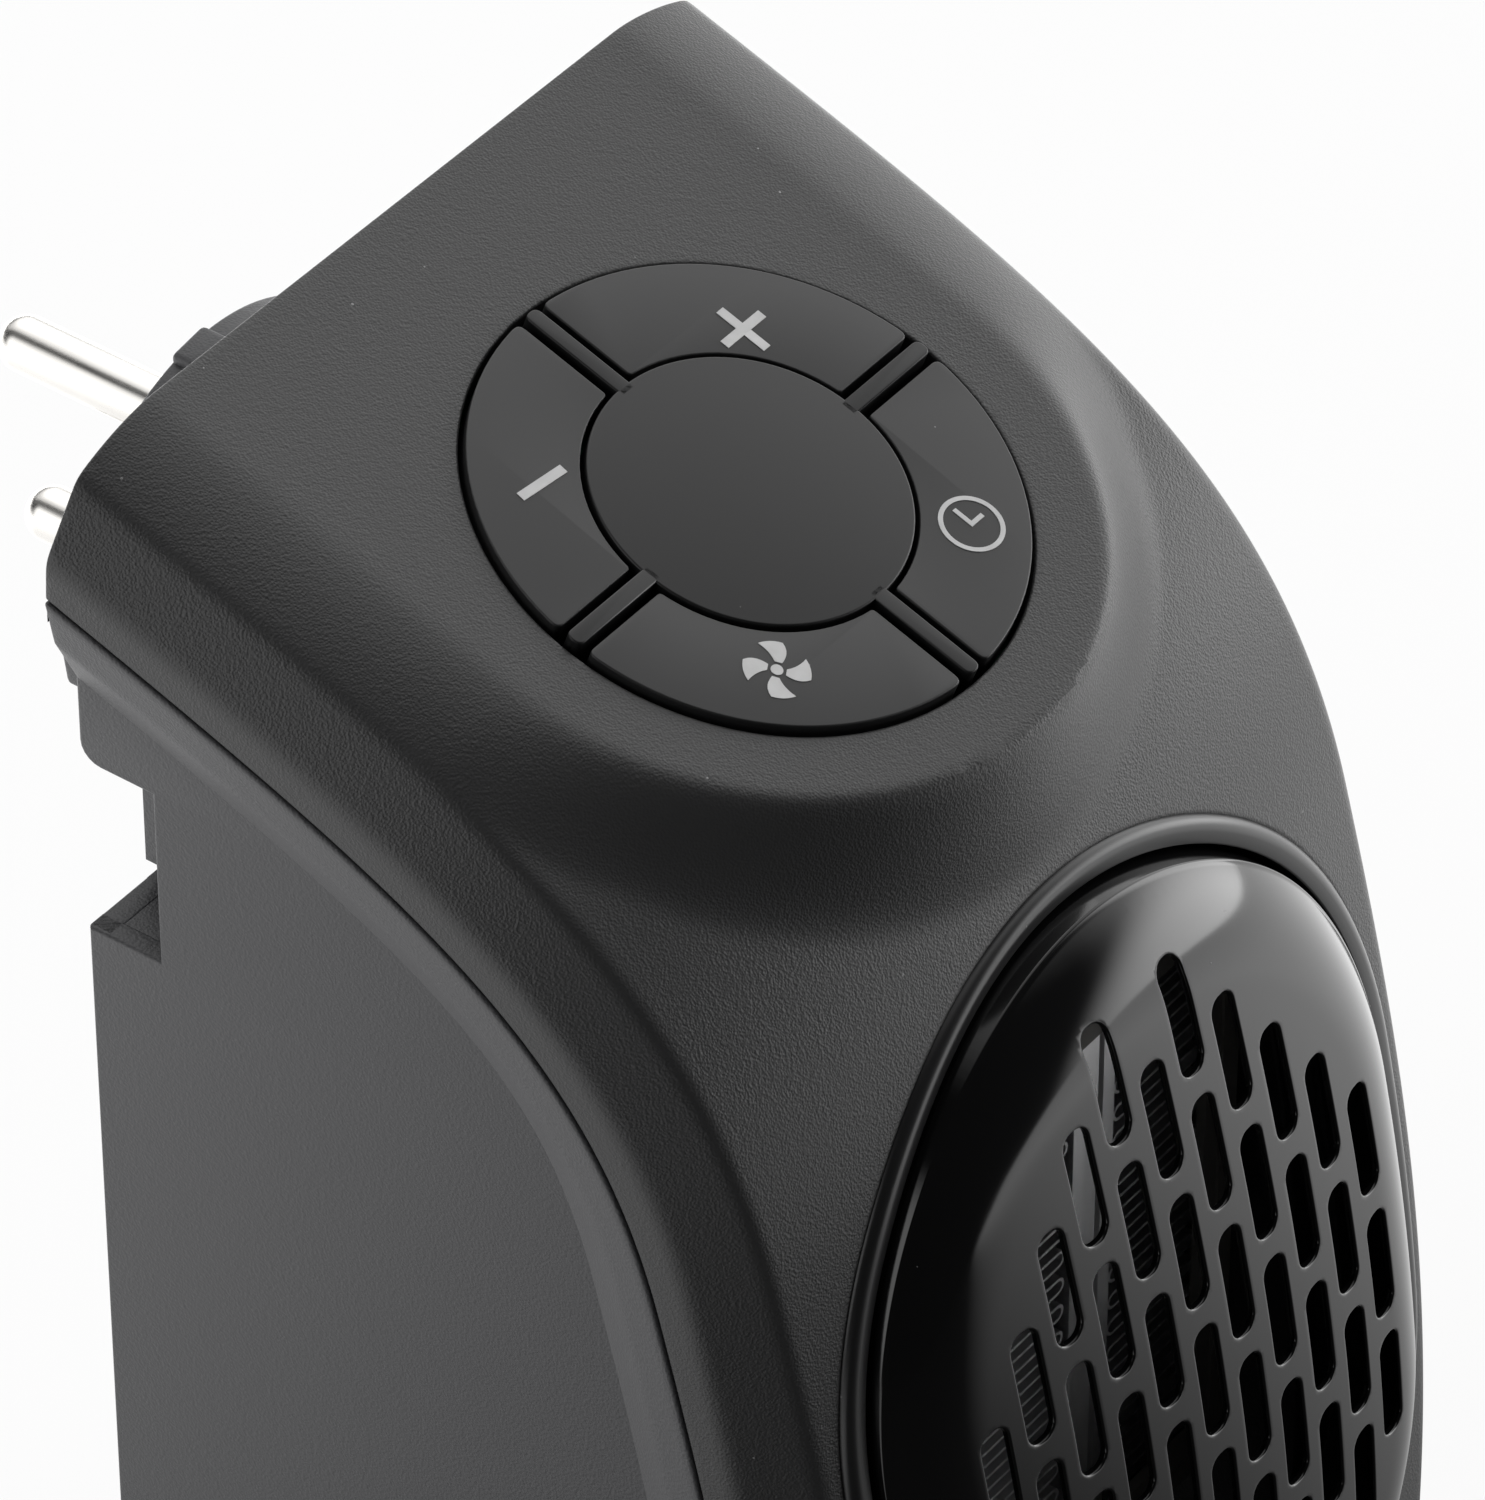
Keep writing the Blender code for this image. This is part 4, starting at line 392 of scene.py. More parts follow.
@dataclass(frozen=True)
class PolishedPlastic:
    """Polished or satin plastic with faint wipe marks and specks of dust."""

    name: str
    colour: Triple
    roughness: float = 0.08
    smear: float = 0.06
    dust: float = 0.5
    specular: float = 0.5

    def build(self) -> bpy.types.Material:
        """Make the material.

        Returns:
            The finished material.
        """
        material, graph, shader = start_material(self.name)
        tone = place_group(graph, tone_group(), Patches_per_metre=60.0, Specks_per_metre=500.0)
        base = graph.blend(
            tone.outputs["Tone"], shade(self.colour, 0.9), shade(self.colour, 1.1)
        )
        dusty = graph.maths("MULTIPLY", tone.outputs["Dust"], self.dust)
        graph.feed(shader, "Base Color", graph.blend(dusty, base, (0.35, 0.35, 0.35, 1.0)))
        smeared = graph.maths("MULTIPLY", tone.outputs["Tone"], self.smear)
        cover = graph.maths("MULTIPLY", tone.outputs["Dust"], 0.5)
        rough = graph.maths("ADD", graph.maths("ADD", smeared, self.roughness), cover)
        graph.feed(shader, "Roughness", rough)
        shader.inputs["Specular IOR Level"].default_value = self.specular
        return material


@dataclass(frozen=True)
class BareMetal:
    """Rolled, plated or turned metal with drawn lines and slight tarnish."""

    name: str
    colour: Triple
    roughness: float = 0.25
    line_strength: float = 0.25
    stretch: Triple = (1.0, 0.03, 1.0)
    tarnish: float = 0.25

    def build(self) -> bpy.types.Material:
        """Make the material.

        Returns:
            The finished material.
        """
        material, graph, shader = start_material(self.name)
        lines = place_group(graph, scratch_group(), Stretch=self.stretch)
        tone = place_group(graph, tone_group(), Patches_per_metre=150.0)
        dull = graph.maths("MULTIPLY", tone.outputs["Tone"], self.tarnish)
        graph.feed(
            shader, "Base Color",
            graph.blend(dull, shade(self.colour, 1.0), shade(self.colour, 0.45)),
        )
        shader.inputs["Metallic"].default_value = 1.0
        spread = graph.maths("MULTIPLY", lines.outputs["Lines"], 0.2)
        graph.feed(shader, "Roughness", graph.maths("ADD", spread, self.roughness))
        bump = graph.add("ShaderNodeBump")
        graph.feed(bump, "Strength", self.line_strength)
        graph.feed(bump, "Distance", 0.00001)
        graph.feed(bump, "Height", lines.outputs["Lines"])
        graph.feed(shader, "Normal", bump.outputs["Normal"])
        return material


@dataclass(frozen=True)
class BoardLaminate:
    """Circuit board: solder mask with pale pads and copper under the mask."""

    name: str
    colour: Triple

    def build(self) -> bpy.types.Material:
        """Make the material.

        Returns:
            The finished material.
        """
        material, graph, shader = start_material(self.name)
        spot = graph.add("ShaderNodeTexCoord").outputs["Object"]
        tracks = graph.add("ShaderNodeTexVoronoi", feature="F1", distance="CHEBYCHEV")
        graph.feed(tracks, "Vector", spot)
        graph.feed(tracks, "Scale", 260.0)
        edge = graph.maths("GREATER_THAN", tracks.outputs["Distance"], 0.42)
        base = graph.blend(edge, shade(self.colour, 1.0), shade(self.colour, 1.7))
        pads = graph.maths("LESS_THAN", tracks.outputs["Distance"], 0.09)
        graph.feed(shader, "Base Color", graph.blend(pads, base, (0.6, 0.6, 0.58, 1.0)))
        graph.feed(shader, "Metallic", graph.maths("MULTIPLY", pads, 0.8))
        matt = graph.maths("ADD", graph.maths("MULTIPLY", edge, 0.1), 0.35)
        graph.feed(shader, "Roughness", matt)
        bump = graph.add("ShaderNodeBump")
        graph.feed(bump, "Strength", 0.4)
        graph.feed(bump, "Distance", 0.00005)
        graph.feed(bump, "Height", edge)
        graph.feed(shader, "Normal", bump.outputs["Normal"])
        return material


@dataclass(frozen=True)
class ClearGlass:
    """Thin clear glass of the fuse."""

    name: str
    colour: Triple

    def build(self) -> bpy.types.Material:
        """Make the material.

        Returns:
            The finished material.
        """
        material, graph, shader = start_material(self.name)
        tone = place_group(graph, tone_group(), Patches_per_metre=200.0)
        graph.feed(
            shader, "Base Color",
            graph.blend(tone.outputs["Tone"], shade(self.colour, 0.92), shade(self.colour, 1.0)),
        )
        shader.inputs["Roughness"].default_value = 0.05
        shader.inputs["Transmission Weight"].default_value = 0.85
        return material


@dataclass(frozen=True)
class PrintedInk:
    """Pad-printed ink on a key: pale, a little worn and uneven."""

    name: str
    colour: Triple

    def build(self) -> bpy.types.Material:
        """Make the material.

        Returns:
            The finished material.
        """
        material, graph, shader = start_material(self.name)
        tone = place_group(graph, tone_group(), Patches_per_metre=900.0, Speck_size=0.0)
        graph.feed(
            shader, "Base Color",
            graph.blend(tone.outputs["Tone"], shade(self.colour, 0.82), shade(self.colour, 1.1)),
        )
        spread = graph.maths("MULTIPLY", tone.outputs["Tone"], 0.15)
        graph.feed(shader, "Roughness", graph.maths("ADD", spread, 0.45))
        return material


@dataclass
class Finishes:
    """Every finish of the heater, made once."""

    made: dict[Slot, bpy.types.Material] = field(default_factory=dict)
    ink: bpy.types.Material | None = None

    def build(self) -> None:
        """Make all the materials."""
        recipes = {
            Slot.SHELL: MouldedPlastic(
                "shell_grain", (0.026, 0.026, 0.0265), 0.4, cells_per_metre=4800.0, specular=0.4
            ),
            Slot.HOUSING: MouldedPlastic(
                "housing_grain", (0.041, 0.041, 0.0438), 0.5, cells_per_metre=4200.0
            ),
            Slot.HUB: MouldedPlastic(
                "hub_satin", (0.01, 0.01, 0.0103), 0.34, 0.04, 2600.0, 0.00001, 0.12, 0.05,
                specular=0.3,
            ),
            Slot.KEYS: MouldedPlastic(
                "key_satin", (0.015, 0.015, 0.0154), 0.38, 0.05, 2600.0, 0.00001, 0.2, 0.06,
                specular=0.38,
            ),
            Slot.GLOSS: PolishedPlastic(
                "grille_polish", (0.004, 0.004, 0.0042), 0.08, specular=0.45
            ),
            Slot.SATIN: PolishedPlastic("bezel_satin", (0.012, 0.012, 0.0125), 0.26, 0.08),
            Slot.NICKEL: BareMetal("pin_nickel", (0.62, 0.605, 0.58), 0.16, 0.2),
            Slot.STEEL: BareMetal("zinc_steel", (0.6, 0.6, 0.62), 0.3),
            Slot.ALUMINIUM: BareMetal(
                "rolled_aluminium", (0.9, 0.9, 0.91), 0.3, 0.3, (1.0, 1.0, 0.05)
            ),
            Slot.COPPER: BareMetal("bare_copper", (0.78, 0.42, 0.24), 0.25),
            Slot.BOARD: BoardLaminate("board_green", (0.015, 0.12, 0.05)),
            Slot.RESIN: MouldedPlastic(
                "heat_resin", (0.22, 0.215, 0.2), 0.55, grain_strength=0.2
            ),
            Slot.SLEEVE: PolishedPlastic("capacitor_sleeve", (0.03, 0.1, 0.3), 0.25),
            Slot.RED_LEAD: PolishedPlastic("silicone_red", (0.4, 0.03, 0.03), 0.4),
            Slot.PALE_LEAD: PolishedPlastic("silicone_pale", (0.68, 0.67, 0.63), 0.4),
            Slot.GLASS: ClearGlass("fuse_glass", (0.9, 0.93, 0.92)),
            Slot.DARK: MouldedPlastic(
                "black_nylon", (0.022, 0.022, 0.023), 0.42, grain_strength=0.25
            ),
        }
        self.made = {slot: recipe.build() for slot, recipe in recipes.items()}
        self.ink = PrintedInk("key_print", (0.52, 0.52, 0.52)).build()

    def of(self, slot: Slot) -> bpy.types.Material:
        """Finish of a slot.

        Args:
            slot: the record's material slot.

        Returns:
            Its material.
        """
        return self.made[slot]


# Mesh building


@dataclass
class Skin:
    """Points and faces that are gathered before they become one mesh."""

    points: list[Sequence[float]] = field(default_factory=list)
    faces: list[Sequence[int]] = field(default_factory=list)

    def add_points(self, rows: Iterable[Sequence[float]]) -> list[int]:
        """Add points.

        Args:
            rows: the points.

        Returns:
            Their numbers.
        """
        first = len(self.points)
        self.points.extend(tuple(float(c) for c in row) for row in rows)
        return list(range(first, len(self.points)))

    def add_face(self, corners: Sequence[int], flip: bool = False) -> None:
        """Add a face, without corners that repeat.

        Args:
            corners: point numbers in order.
            flip: turn the face over.
        """
        kept = [c for i, c in enumerate(corners) if c != corners[i - 1]]
        if len(set(kept)) > 2:
            self.faces.append(tuple(reversed(kept)) if flip else tuple(kept))

    def bridge(
        self, one: Sequence[int], two: Sequence[int], closed: bool = True, flip: bool = False
    ) -> None:
        """Join two chains of points with quads.

        Args:
            one: first chain.
            two: second chain, of the same length.
            closed: join the ends as well.
            flip: turn the faces over.
        """
        count = len(one) if closed else len(one) - 1
        for i in range(count):
            j = (i + 1) % len(one)
            self.add_face((one[i], one[j], two[j], two[i]), flip)

    def add_grid(
        self, grid: np.ndarray, closed: bool = False, flip: bool = False,
    ) -> list[list[int]]:
        """Add a sheet of quads through rows of points.

        Args:
            grid: points as rows, columns and coordinates.
            closed: join each row's end to its start.
            flip: turn the faces over.

        Returns:
            Point numbers, row by row.
        """
        rows = [self.add_points(row) for row in grid]
        for one, two in zip(rows, rows[1:]):
            self.bridge(one, two, closed, flip)
        return rows

    def add_skin(self, other: "Skin") -> None:
        """Add all of another skin.

        Args:
            other: the skin to copy in.
        """
        first = len(self.points)
        self.points.extend(other.points)
        self.faces.extend(tuple(c + first for c in face) for face in other.faces)


def make_piece(
    name: str, skin: Skin, material: bpy.types.Material, body: Body,
    replaces: Sequence[str] = (), bevel: float = 0.0, weld: float = 1e-7,
) -> bpy.types.Object:
    """Turn a skin into a shown piece that rides on a body.

    Args:
        name: the piece's name.
        skin: its points and faces.
        material: its finish.
        body: the body that it moves with.
        replaces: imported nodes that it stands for.
        bevel: width of a rounding on its sharp edges.
        weld: points nearer than this are joined.

    Returns:
        The piece.
    """
    mesh = bpy.data.meshes.new(name)
    mesh.from_pydata(skin.points, [], skin.faces)
    mesh.validate(clean_customdata=False)
    piece = bpy.data.objects.new(name, mesh)
    bpy.context.scene.collection.objects.link(piece)
    mesh.materials.append(material)
    join_close_points(mesh, weld)
    if bevel:
        rounding = piece.modifiers.new("edge rounding", "BEVEL")
        rounding.width = bevel
        rounding.segments = 2
        rounding.limit_method = "ANGLE"
        rounding.angle_limit = SMOOTH_ANGLE
        rounding.use_clamp_overlap = True
        apply_modifiers(piece)
    piece.data.shade_smooth()
    piece.data.set_sharp_from_angle(angle=SMOOTH_ANGLE)
    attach(piece, body.value)
    if replaces:
        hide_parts(*replaces)
    LOG.info("%s: %d faces", name, len(piece.data.polygons))
    return piece


def join_close_points(mesh: bpy.types.Mesh, distance: float) -> None:
    """Weld a mesh's doubled points.

    Args:
        mesh: the mesh.
        distance: points nearer than this are joined.
    """
    work = bmesh.new()
    work.from_mesh(mesh)
    bmesh.ops.remove_doubles(work, verts=work.verts, dist=distance)
    work.to_mesh(mesh)
    work.free()


def apply_modifiers(piece: bpy.types.Object) -> None:
    """Replace a piece's mesh by its modified one.

    Args:
        piece: the piece.
    """
    bpy.context.view_layer.update()
    shown = piece.evaluated_get(bpy.context.evaluated_depsgraph_get())
    mesh = bpy.data.meshes.new_from_object(shown)
    old = piece.data
    piece.modifiers.clear()
    piece.data = mesh
    mesh.name = old.name
    bpy.data.meshes.remove(old)


def arc(
    radius: float, start: float, end: float, steps: int, centre: Pair = (0.0, 0.0),
) -> list[Pair]:
    """Points of an arc, both ends included.

    Args:
        radius: the arc's radius.
        start: first angle.
        end: last angle.
        steps: number of chords.
        centre: the arc's centre.

    Returns:
        The points.
    """
    turns = [start + (end - start) * i / steps for i in range(steps + 1)]
    return [(centre[0] + radius * math.cos(t), centre[1] + radius * math.sin(t)) for t in turns]


def circle(radius: float, steps: int, centre: Pair = (0.0, 0.0)) -> list[Pair]:
    """Points of a circle, anticlockwise."""
    return arc(radius, 0, math.tau, steps, centre)[:-1]


def cross_outline(reach: float, width: float) -> list[Pair]:
    """Outline of two crossed bars.

    Args:
        reach: length of each bar.
        width: width of each bar.

    Returns:
        The outline.
    """
    a, b = reach / 2, width / 2
    return [
        (b, b), (b, a), (-b, a), (-b, b), (-a, b), (-a, -b), (-b, -b), (-b, -a), (b, -a),
        (b, -b), (a, -b), (a, b),
    ]


def rounded_outline(corners: Sequence[Pair], radii: Sequence[float], steps: int = 5) -> list[Pair]:
    """Round the corners of a closed outline.

    Args:
        corners: the outline's corners in order.
        radii: the rounding at each corner.
        steps: chords in each rounding.

    Returns:
        The rounded outline.
    """
    result: list[Pair] = []
    count = len(corners)
    for i in range(count):
        here = Vector(corners[i])
        to_last = (Vector(corners[i - 1]) - here).normalized()
        to_next = (Vector(corners[(i + 1) % count]) - here).normalized()
        if radii[i] <= 0:
            result.append(tuple(here))
            continue
        half = to_last.angle(to_next) / 2
        reach = radii[i] / math.tan(half)
        one, two = here + to_last * reach, here + to_next * reach
        for k in range(steps + 1):
            share = k / steps
            spot = one * (1 - share) ** 2 + here * 2 * share * (1 - share) + two * share**2
            result.append(tuple(spot))
    return result


def flat_piece(
    loops: Sequence[Sequence[Pair]], low: float, high: float, frame: Matrix, rounding: float = 0.0,
    rounding_steps: int = 3,
) -> Skin:
    """Plate between two levels of a frame with rounded edges, from flat outlines.

    Args:
        loops: outlines, the outer one first.
        low: lower level.
        high: upper level.
        frame: the plate's frame.
        rounding: radius of the edges.
        rounding_steps: chords of the rounding.

    Returns:
        The plate's skin.
    """
    curve = bpy.data.curves.new("outline", "CURVE")
    curve.dimensions = "2D"
    curve.fill_mode = "BOTH"
    curve.extrude = (high - low) / 2 - rounding
    curve.bevel_depth = rounding
    curve.bevel_resolution = rounding_steps
    curve.offset = -rounding
    for loop in loops:
        spline = curve.splines.new("POLY")
        spline.points.add(len(loop) - 1)
        spline.use_cyclic_u = True
        for point, (across, up) in zip(spline.points, loop):
            point.co = (across, up, 0, 1)
    holder = bpy.data.objects.new("outline", curve)
    bpy.context.scene.collection.objects.link(holder)
    bpy.context.view_layer.update()
    mesh = bpy.data.meshes.new_from_object(
        holder.evaluated_get(bpy.context.evaluated_depsgraph_get())
    )
    lift = (low + high) / 2
    points = [tuple(frame @ Vector((v.co.x, v.co.y, v.co.z + lift))) for v in mesh.vertices]
    faces = [tuple(polygon.vertices) for polygon in mesh.polygons]
    bpy.data.objects.remove(holder, do_unlink=True)
    bpy.data.curves.remove(curve)
    bpy.data.meshes.remove(mesh)
    return Skin(points, faces)


def turned_piece(profile: Sequence[Pair], frame: Matrix, steps: int = 64) -> Skin:
    """Turned piece from a profile of radius and height, top to bottom down the outer side.

    Args:
        profile: the profile's points.
        frame: the piece's frame, its axis along Z.
        steps: facets round the axis.

    Returns:
        The piece's skin.
    """
    skin = Skin()
    rings: list[list[int]] = []
    for radius, height in profile:
        if radius < 1e-9:
            centre = skin.add_points([tuple(frame @ Vector((0, 0, height)))])
            rings.append(centre * steps)
            continue
        spots = [
            frame @ Vector((radius * math.cos(t), radius * math.sin(t), height))
            for t in (math.tau * i / steps for i in range(steps))
        ]
        rings.append(skin.add_points(spots))
    for one, two in zip(rings, rings[1:]):
        skin.bridge(two, one)
    return skin


@dataclass
class CutSheet:
    """Sheet of points with the parts outside a boundary left out."""

    points: np.ndarray
    faces: list[list[int]]
    chains: list[tuple[list[int], bool]]


def cut_sheet(grid: np.ndarray, keep: np.ndarray, flip: bool) -> CutSheet:
    """Cut a sheet along the zero line of a field.

    Args:
        grid: values at each place as rows, columns and numbers.
        keep: the field; the sheet stays where it is positive.
        flip: turn the faces over.

    Returns:
        The cut sheet, with its new edges as chains of point numbers.
    """
    rows, columns = keep.shape
    numbers = -np.ones(keep.shape, int)
    inside = keep > 0
    numbers[inside] = np.arange(int(inside.sum()))
    points: list[np.ndarray] = list(grid[inside])
    crossings: dict[tuple[Pair, Pair], int] = {}
    links: dict[int, int] = {}
    faces: list[list[int]] = []

    def crossing(one: tuple[int, int], two: tuple[int, int]) -> int:
        key = (one, two) if one < two else (two, one)
        if key not in crossings:
            share = keep[one] / (keep[one] - keep[two])
            crossings[key] = len(points)
            points.append(grid[one] + (grid[two] - grid[one]) * share)
        return crossings[key]

    for i in range(rows - 1):
        for j in range(columns - 1):
            corners = [(i, j), (i, j + 1), (i + 1, j + 1), (i + 1, j)]
            if flip:
                corners.reverse()
            states = [bool(inside[c]) for c in corners]
            if not any(states):
                continue
            if all(states):
                faces.append([int(numbers[c]) for c in corners])
                continue
            face: list[int] = []
            cuts: list[tuple[int, bool]] = []
            for k, corner in enumerate(corners):
                after = corners[(k + 1) % 4]
                if inside[corner]:
                    face.append(int(numbers[corner]))
                if inside[corner] != inside[after]:
                    number = crossing(corner, after)
                    face.append(number)
                    cuts.append((number, bool(inside[corner])))
            faces.append(face)
            for k, (number, leaving) in enumerate(cuts):
                if leaving:
                    links[number] = cuts[(k + 1) % len(cuts)][0]
    return CutSheet(np.array(points), faces, chain_up(links))


def chain_up(links: dict[int, int]) -> list[tuple[list[int], bool]]:
    """Follow links between points.

    Args:
        links: next point of each point.

    Returns:
        Chains of points, each with whether it is closed.
    """
    chains: list[tuple[list[int], bool]] = []
    left = dict(links)
    targets = set(links.values())
    for start in [point for point in links if point not in targets]:
        chain = [start]
        while chain[-1] in left:
            chain.append(left.pop(chain[-1]))
        chains.append((chain, False))
    while left:
        start = next(iter(left))
        chain = [start]
        while chain[-1] in left:
            chain.append(left.pop(chain[-1]))
        chains.append((chain[:-1], True))
    return chains


def unit(vectors: np.ndarray) -> np.ndarray:
    """Unit vectors along the last axis."""
    length = np.linalg.norm(vectors, axis=-1, keepdims=True)
    return vectors / np.maximum(length, 1e-12)


def grid_normals(grid: np.ndarray, outward: np.ndarray) -> np.ndarray:
    """Normals of a sheet of points.

    Args:
        grid: points as rows, columns and coordinates.
        outward: rough outward direction at each point.

    Returns:
        Unit normals that agree with the outward direction.
    """
    down = np.gradient(grid, axis=0)
    across = np.gradient(grid, axis=1)
    normal = unit(np.cross(across, down))
    sign = np.sign((normal * outward).sum(axis=-1, keepdims=True))
    return normal * np.where(sign == 0, 1, sign)


def add_lip(
    skin: Skin, ids: list[int], normals: np.ndarray, inward: np.ndarray, closed: bool,
    radius: float, depth: float, steps: int = 4, wall: np.ndarray | None = None,
) -> list[int]:
    """Roll a sheet's cut edge over a rounding and down a wall.

    Args:
        skin: the skin that holds the edge.
        ids: the edge's points in order.
        normals: outward normal at each point.
        inward: direction into the opening at each point.
        closed: whether the edge is a loop.
        radius: radius of the rounding.
        depth: how far the wall runs on.
        steps: chords of the rounding.
        wall: direction of the wall, against the normals where none is given.

    Returns:
        The last ring's point numbers.
    """
    spots = np.array([skin.points[i] for i in ids])
    sideways = unit(inward - (inward * normals).sum(axis=-1, keepdims=True) * normals)
    ring = ids
    for k in range(1, steps + 1):
        turn = math.pi / 2 * k / steps
        place = spots + sideways * radius * math.sin(turn) - normals * radius * (1 - math.cos(turn))
        after = skin.add_points(place)
        skin.bridge(after, ring, closed)
        ring = after
    if depth:
        along = -normals if wall is None else wall
        last = np.array([skin.points[i] for i in ring])
        after = skin.add_points(last + along * depth)
        skin.bridge(after, ring, closed)
        ring = after
    return ring


# Outer form


@dataclass
class SideProfile:
    """Shoulder line in the side view, with the crown and the raised panel that stand over it."""

    back: float = 0.0222
    height: float = 0.158
    shoulder_drop: float = 0.0024
    crown: float = 0.0033
    crease: float = 0.038
    tilt: float = math.radians(19.14)
    ring_setback: float = 0.0365
    tongue: float = 0.0285
    foot_reach: float = 0.034
    edge_share: float = 0.12
    run_out: float = 0.015
    brow: Pair = (0.0655, 0.051)
    brow_lean: float = math.radians(15)
    nose: Pair = (0.0762, 0.034)
    chin_reach: float = 0.058
    handles: tuple[Pair, ...] = ((0.47, 0.37), (0.31, 0.41), (0.48, 0.26))
    spacing: float = 0.00065

    def __post_init__(self) -> None:
        """Work out the panel's axes and the sampled line."""
        self.down = np.array([-math.cos(self.tilt), -math.sin(self.tilt)])
        self.up = np.array([-math.sin(self.tilt), math.cos(self.tilt)])
        self.centre = np.array([self.back, self.height]) + self.down * self.ring_setback
        self.places, self.normals, self.fades = self.sample_line()

    def panel_frame(self) -> Matrix:
        """Frame on the panel at the key ring's centre, Y up the panel and Z off it.

        Returns:
            The frame's matrix.
        """
        back, up = -self.down, self.up
        turn = Matrix(((1, 0, 0), (0, back[0], back[1]), (0, up[0], up[1]))).transposed().to_4x4()
        return Matrix.Translation((0, self.centre[0], self.centre[1])) @ turn

    def stretches(self) -> list[list[np.ndarray]]:
        """Handles of the three curved stretches.

        Returns:
            Four handles for each stretch, as (y, z).
        """
        ends = [
            np.array([self.back, self.height - self.shoulder_drop]),
            np.array([self.back - self.brow[0], self.height - self.brow[1]]),
            np.array([self.back - self.nose[0], self.nose[1]]),
            np.array([self.back - self.chin_reach, 0.0]),
        ]
        lean = np.array([-math.sin(self.brow_lean), -math.cos(self.brow_lean)])
        leaving = [self.down, lean, np.array([0.0, -1.0]), np.array([1.0, 0.0])]
        result = []
        for i, (first, last) in enumerate(self.handles):
            start, end = ends[i], ends[i + 1]
            chord = float(np.linalg.norm(end - start))
            one, two = leaving[i] * chord * first, leaving[i + 1] * chord * last
            result.append([start, start + one, end - two, end])
        return result

    def sample_line(self) -> tuple[np.ndarray, np.ndarray, np.ndarray]:
        """Sample the shoulder line from the top of the back to the chin.

        Returns:
            Places, outward normals and the share of the crown at each place.
        """
        places, normals, fades = [], [], []
        for number, (a, b, c, d) in enumerate(self.stretches()):
            length = float(np.linalg.norm(d - a)) * 1.08
            steps = max(8, int(length / self.spacing))
            shares = np.arange(steps + (number == 2)) / steps
            t, r = shares[:, None], 1 - shares[:, None]
            places.append(a * r**3 + 3 * b * r**2 * t + 3 * c * r * t**2 + d * t**3)
            slope = unit((b - a) * r**2 + 2 * (c - b) * r * t + (d - c) * t**2)
            normals.append(np.stack([slope[:, 1], -slope[:, 0]], axis=1))
            soft = 1 - shares**2 * (3 - 2 * shares)
            fades.append(soft if number == 2 else np.ones(len(shares)))
        return np.concatenate(places), np.concatenate(normals), np.concatenate(fades)

    def rows(self, overrun: float = 0.003) -> tuple[np.ndarray, np.ndarray, np.ndarray]:
        """Rows of the sweep: the shoulder line, the flat base and an overrun past the back.

        Args:
            overrun: how far the rows run past the back.

        Returns:
            Places, normals and crown shares.
        """
        extra = max(2, int(overrun / self.spacing))
        tangent = np.array([-self.normals[0][1], self.normals[0][0]])
        lead = self.places[0] - tangent * np.linspace(overrun, overrun / extra, extra)[:, None]
        chin = self.places[-1]
        steps = int((self.back + overrun - chin[0]) / self.spacing)
        along = np.linspace(0, self.back + overrun - chin[0], steps + 1)[1:]
        base = np.stack([chin[0] + along, np.zeros(steps)], axis=1)
        places = np.concatenate([lead, self.places, base])
        normals = np.concatenate(
            [np.repeat(self.normals[:1], extra, 0), self.normals,
             np.repeat(np.array([[0.0, -1.0]]), steps, 0)]
        )
        fades = np.concatenate([np.ones(extra), self.fades, np.zeros(steps)])
        return places, normals, fades

    def crown_at(self, across: np.ndarray) -> np.ndarray:
        """Height of the crown at places across the skin."""
        return self.crown * (1 - np.minimum(1, np.abs(across) / self.crease) ** 2)

    def panel_blend(self, across: np.ndarray, fall: np.ndarray) -> np.ndarray:
        """Share of the drop below the panel: none on the tongue, all at its foot.

        Args:
            across: places across the skin.
            fall: places down the panel from the key ring's centre.

        Returns:
            The share at each place.
        """
        reach = np.maximum(np.hypot(across, fall), 1e-9)
        foot = 1 / np.hypot(across / reach / self.crease, fall / reach / self.foot_reach)
        beyond = np.where(fall <= 0, np.abs(across) - self.tongue, reach - self.tongue)
        span = np.where(fall <= 0, self.crease - self.tongue, foot - self.tongue)
        part = np.clip(beyond / span, 0, 1)
        soft = self.edge_share
        share = (np.hypot(part, soft) - soft) / (math.hypot(1, soft) - soft)
        return share * (1 + (1 - share) * np.clip(fall / self.run_out, 0, 1))

    def lifts(
        self, across: np.ndarray, places: np.ndarray, normals: np.ndarray, fades: np.ndarray
    ) -> np.ndarray:
        """How far the skin stands off the shoulder line.

        Args:
            across: places across the skin.
            places: the rows' places.
            normals: the rows' normals.
            fades: the rows' crown shares.

        Returns:
            The lift, row by row.
        """
        crown = self.crown_at(across)[None, :] * fades[:, None]
        offset = places - self.centre
        fall, rise = (offset @ self.down)[:, None], (offset @ self.up)[:, None]
        lean, climb = (normals @ self.down)[:, None], (normals @ self.up)[:, None]
        near = (climb > 0.1) & (fall <= self.foot_reach) & (rise < 0)
        safe = np.where(near, climb, 1.0)
        skin_rise = rise + crown * safe
        low = np.zeros_like(crown)
        high = np.broadcast_to(np.maximum(-rise / safe, 0), crown.shape).copy()
        for _ in range(34):
            middle = (low + high) / 2
            drop = self.panel_blend(across[None, :], fall + middle * lean) * skin_rise
            below = rise + middle * safe < drop
            low, high = np.where(below, middle, low), np.where(below, high, middle)
        return np.where(near, (low + high) / 2, crown)

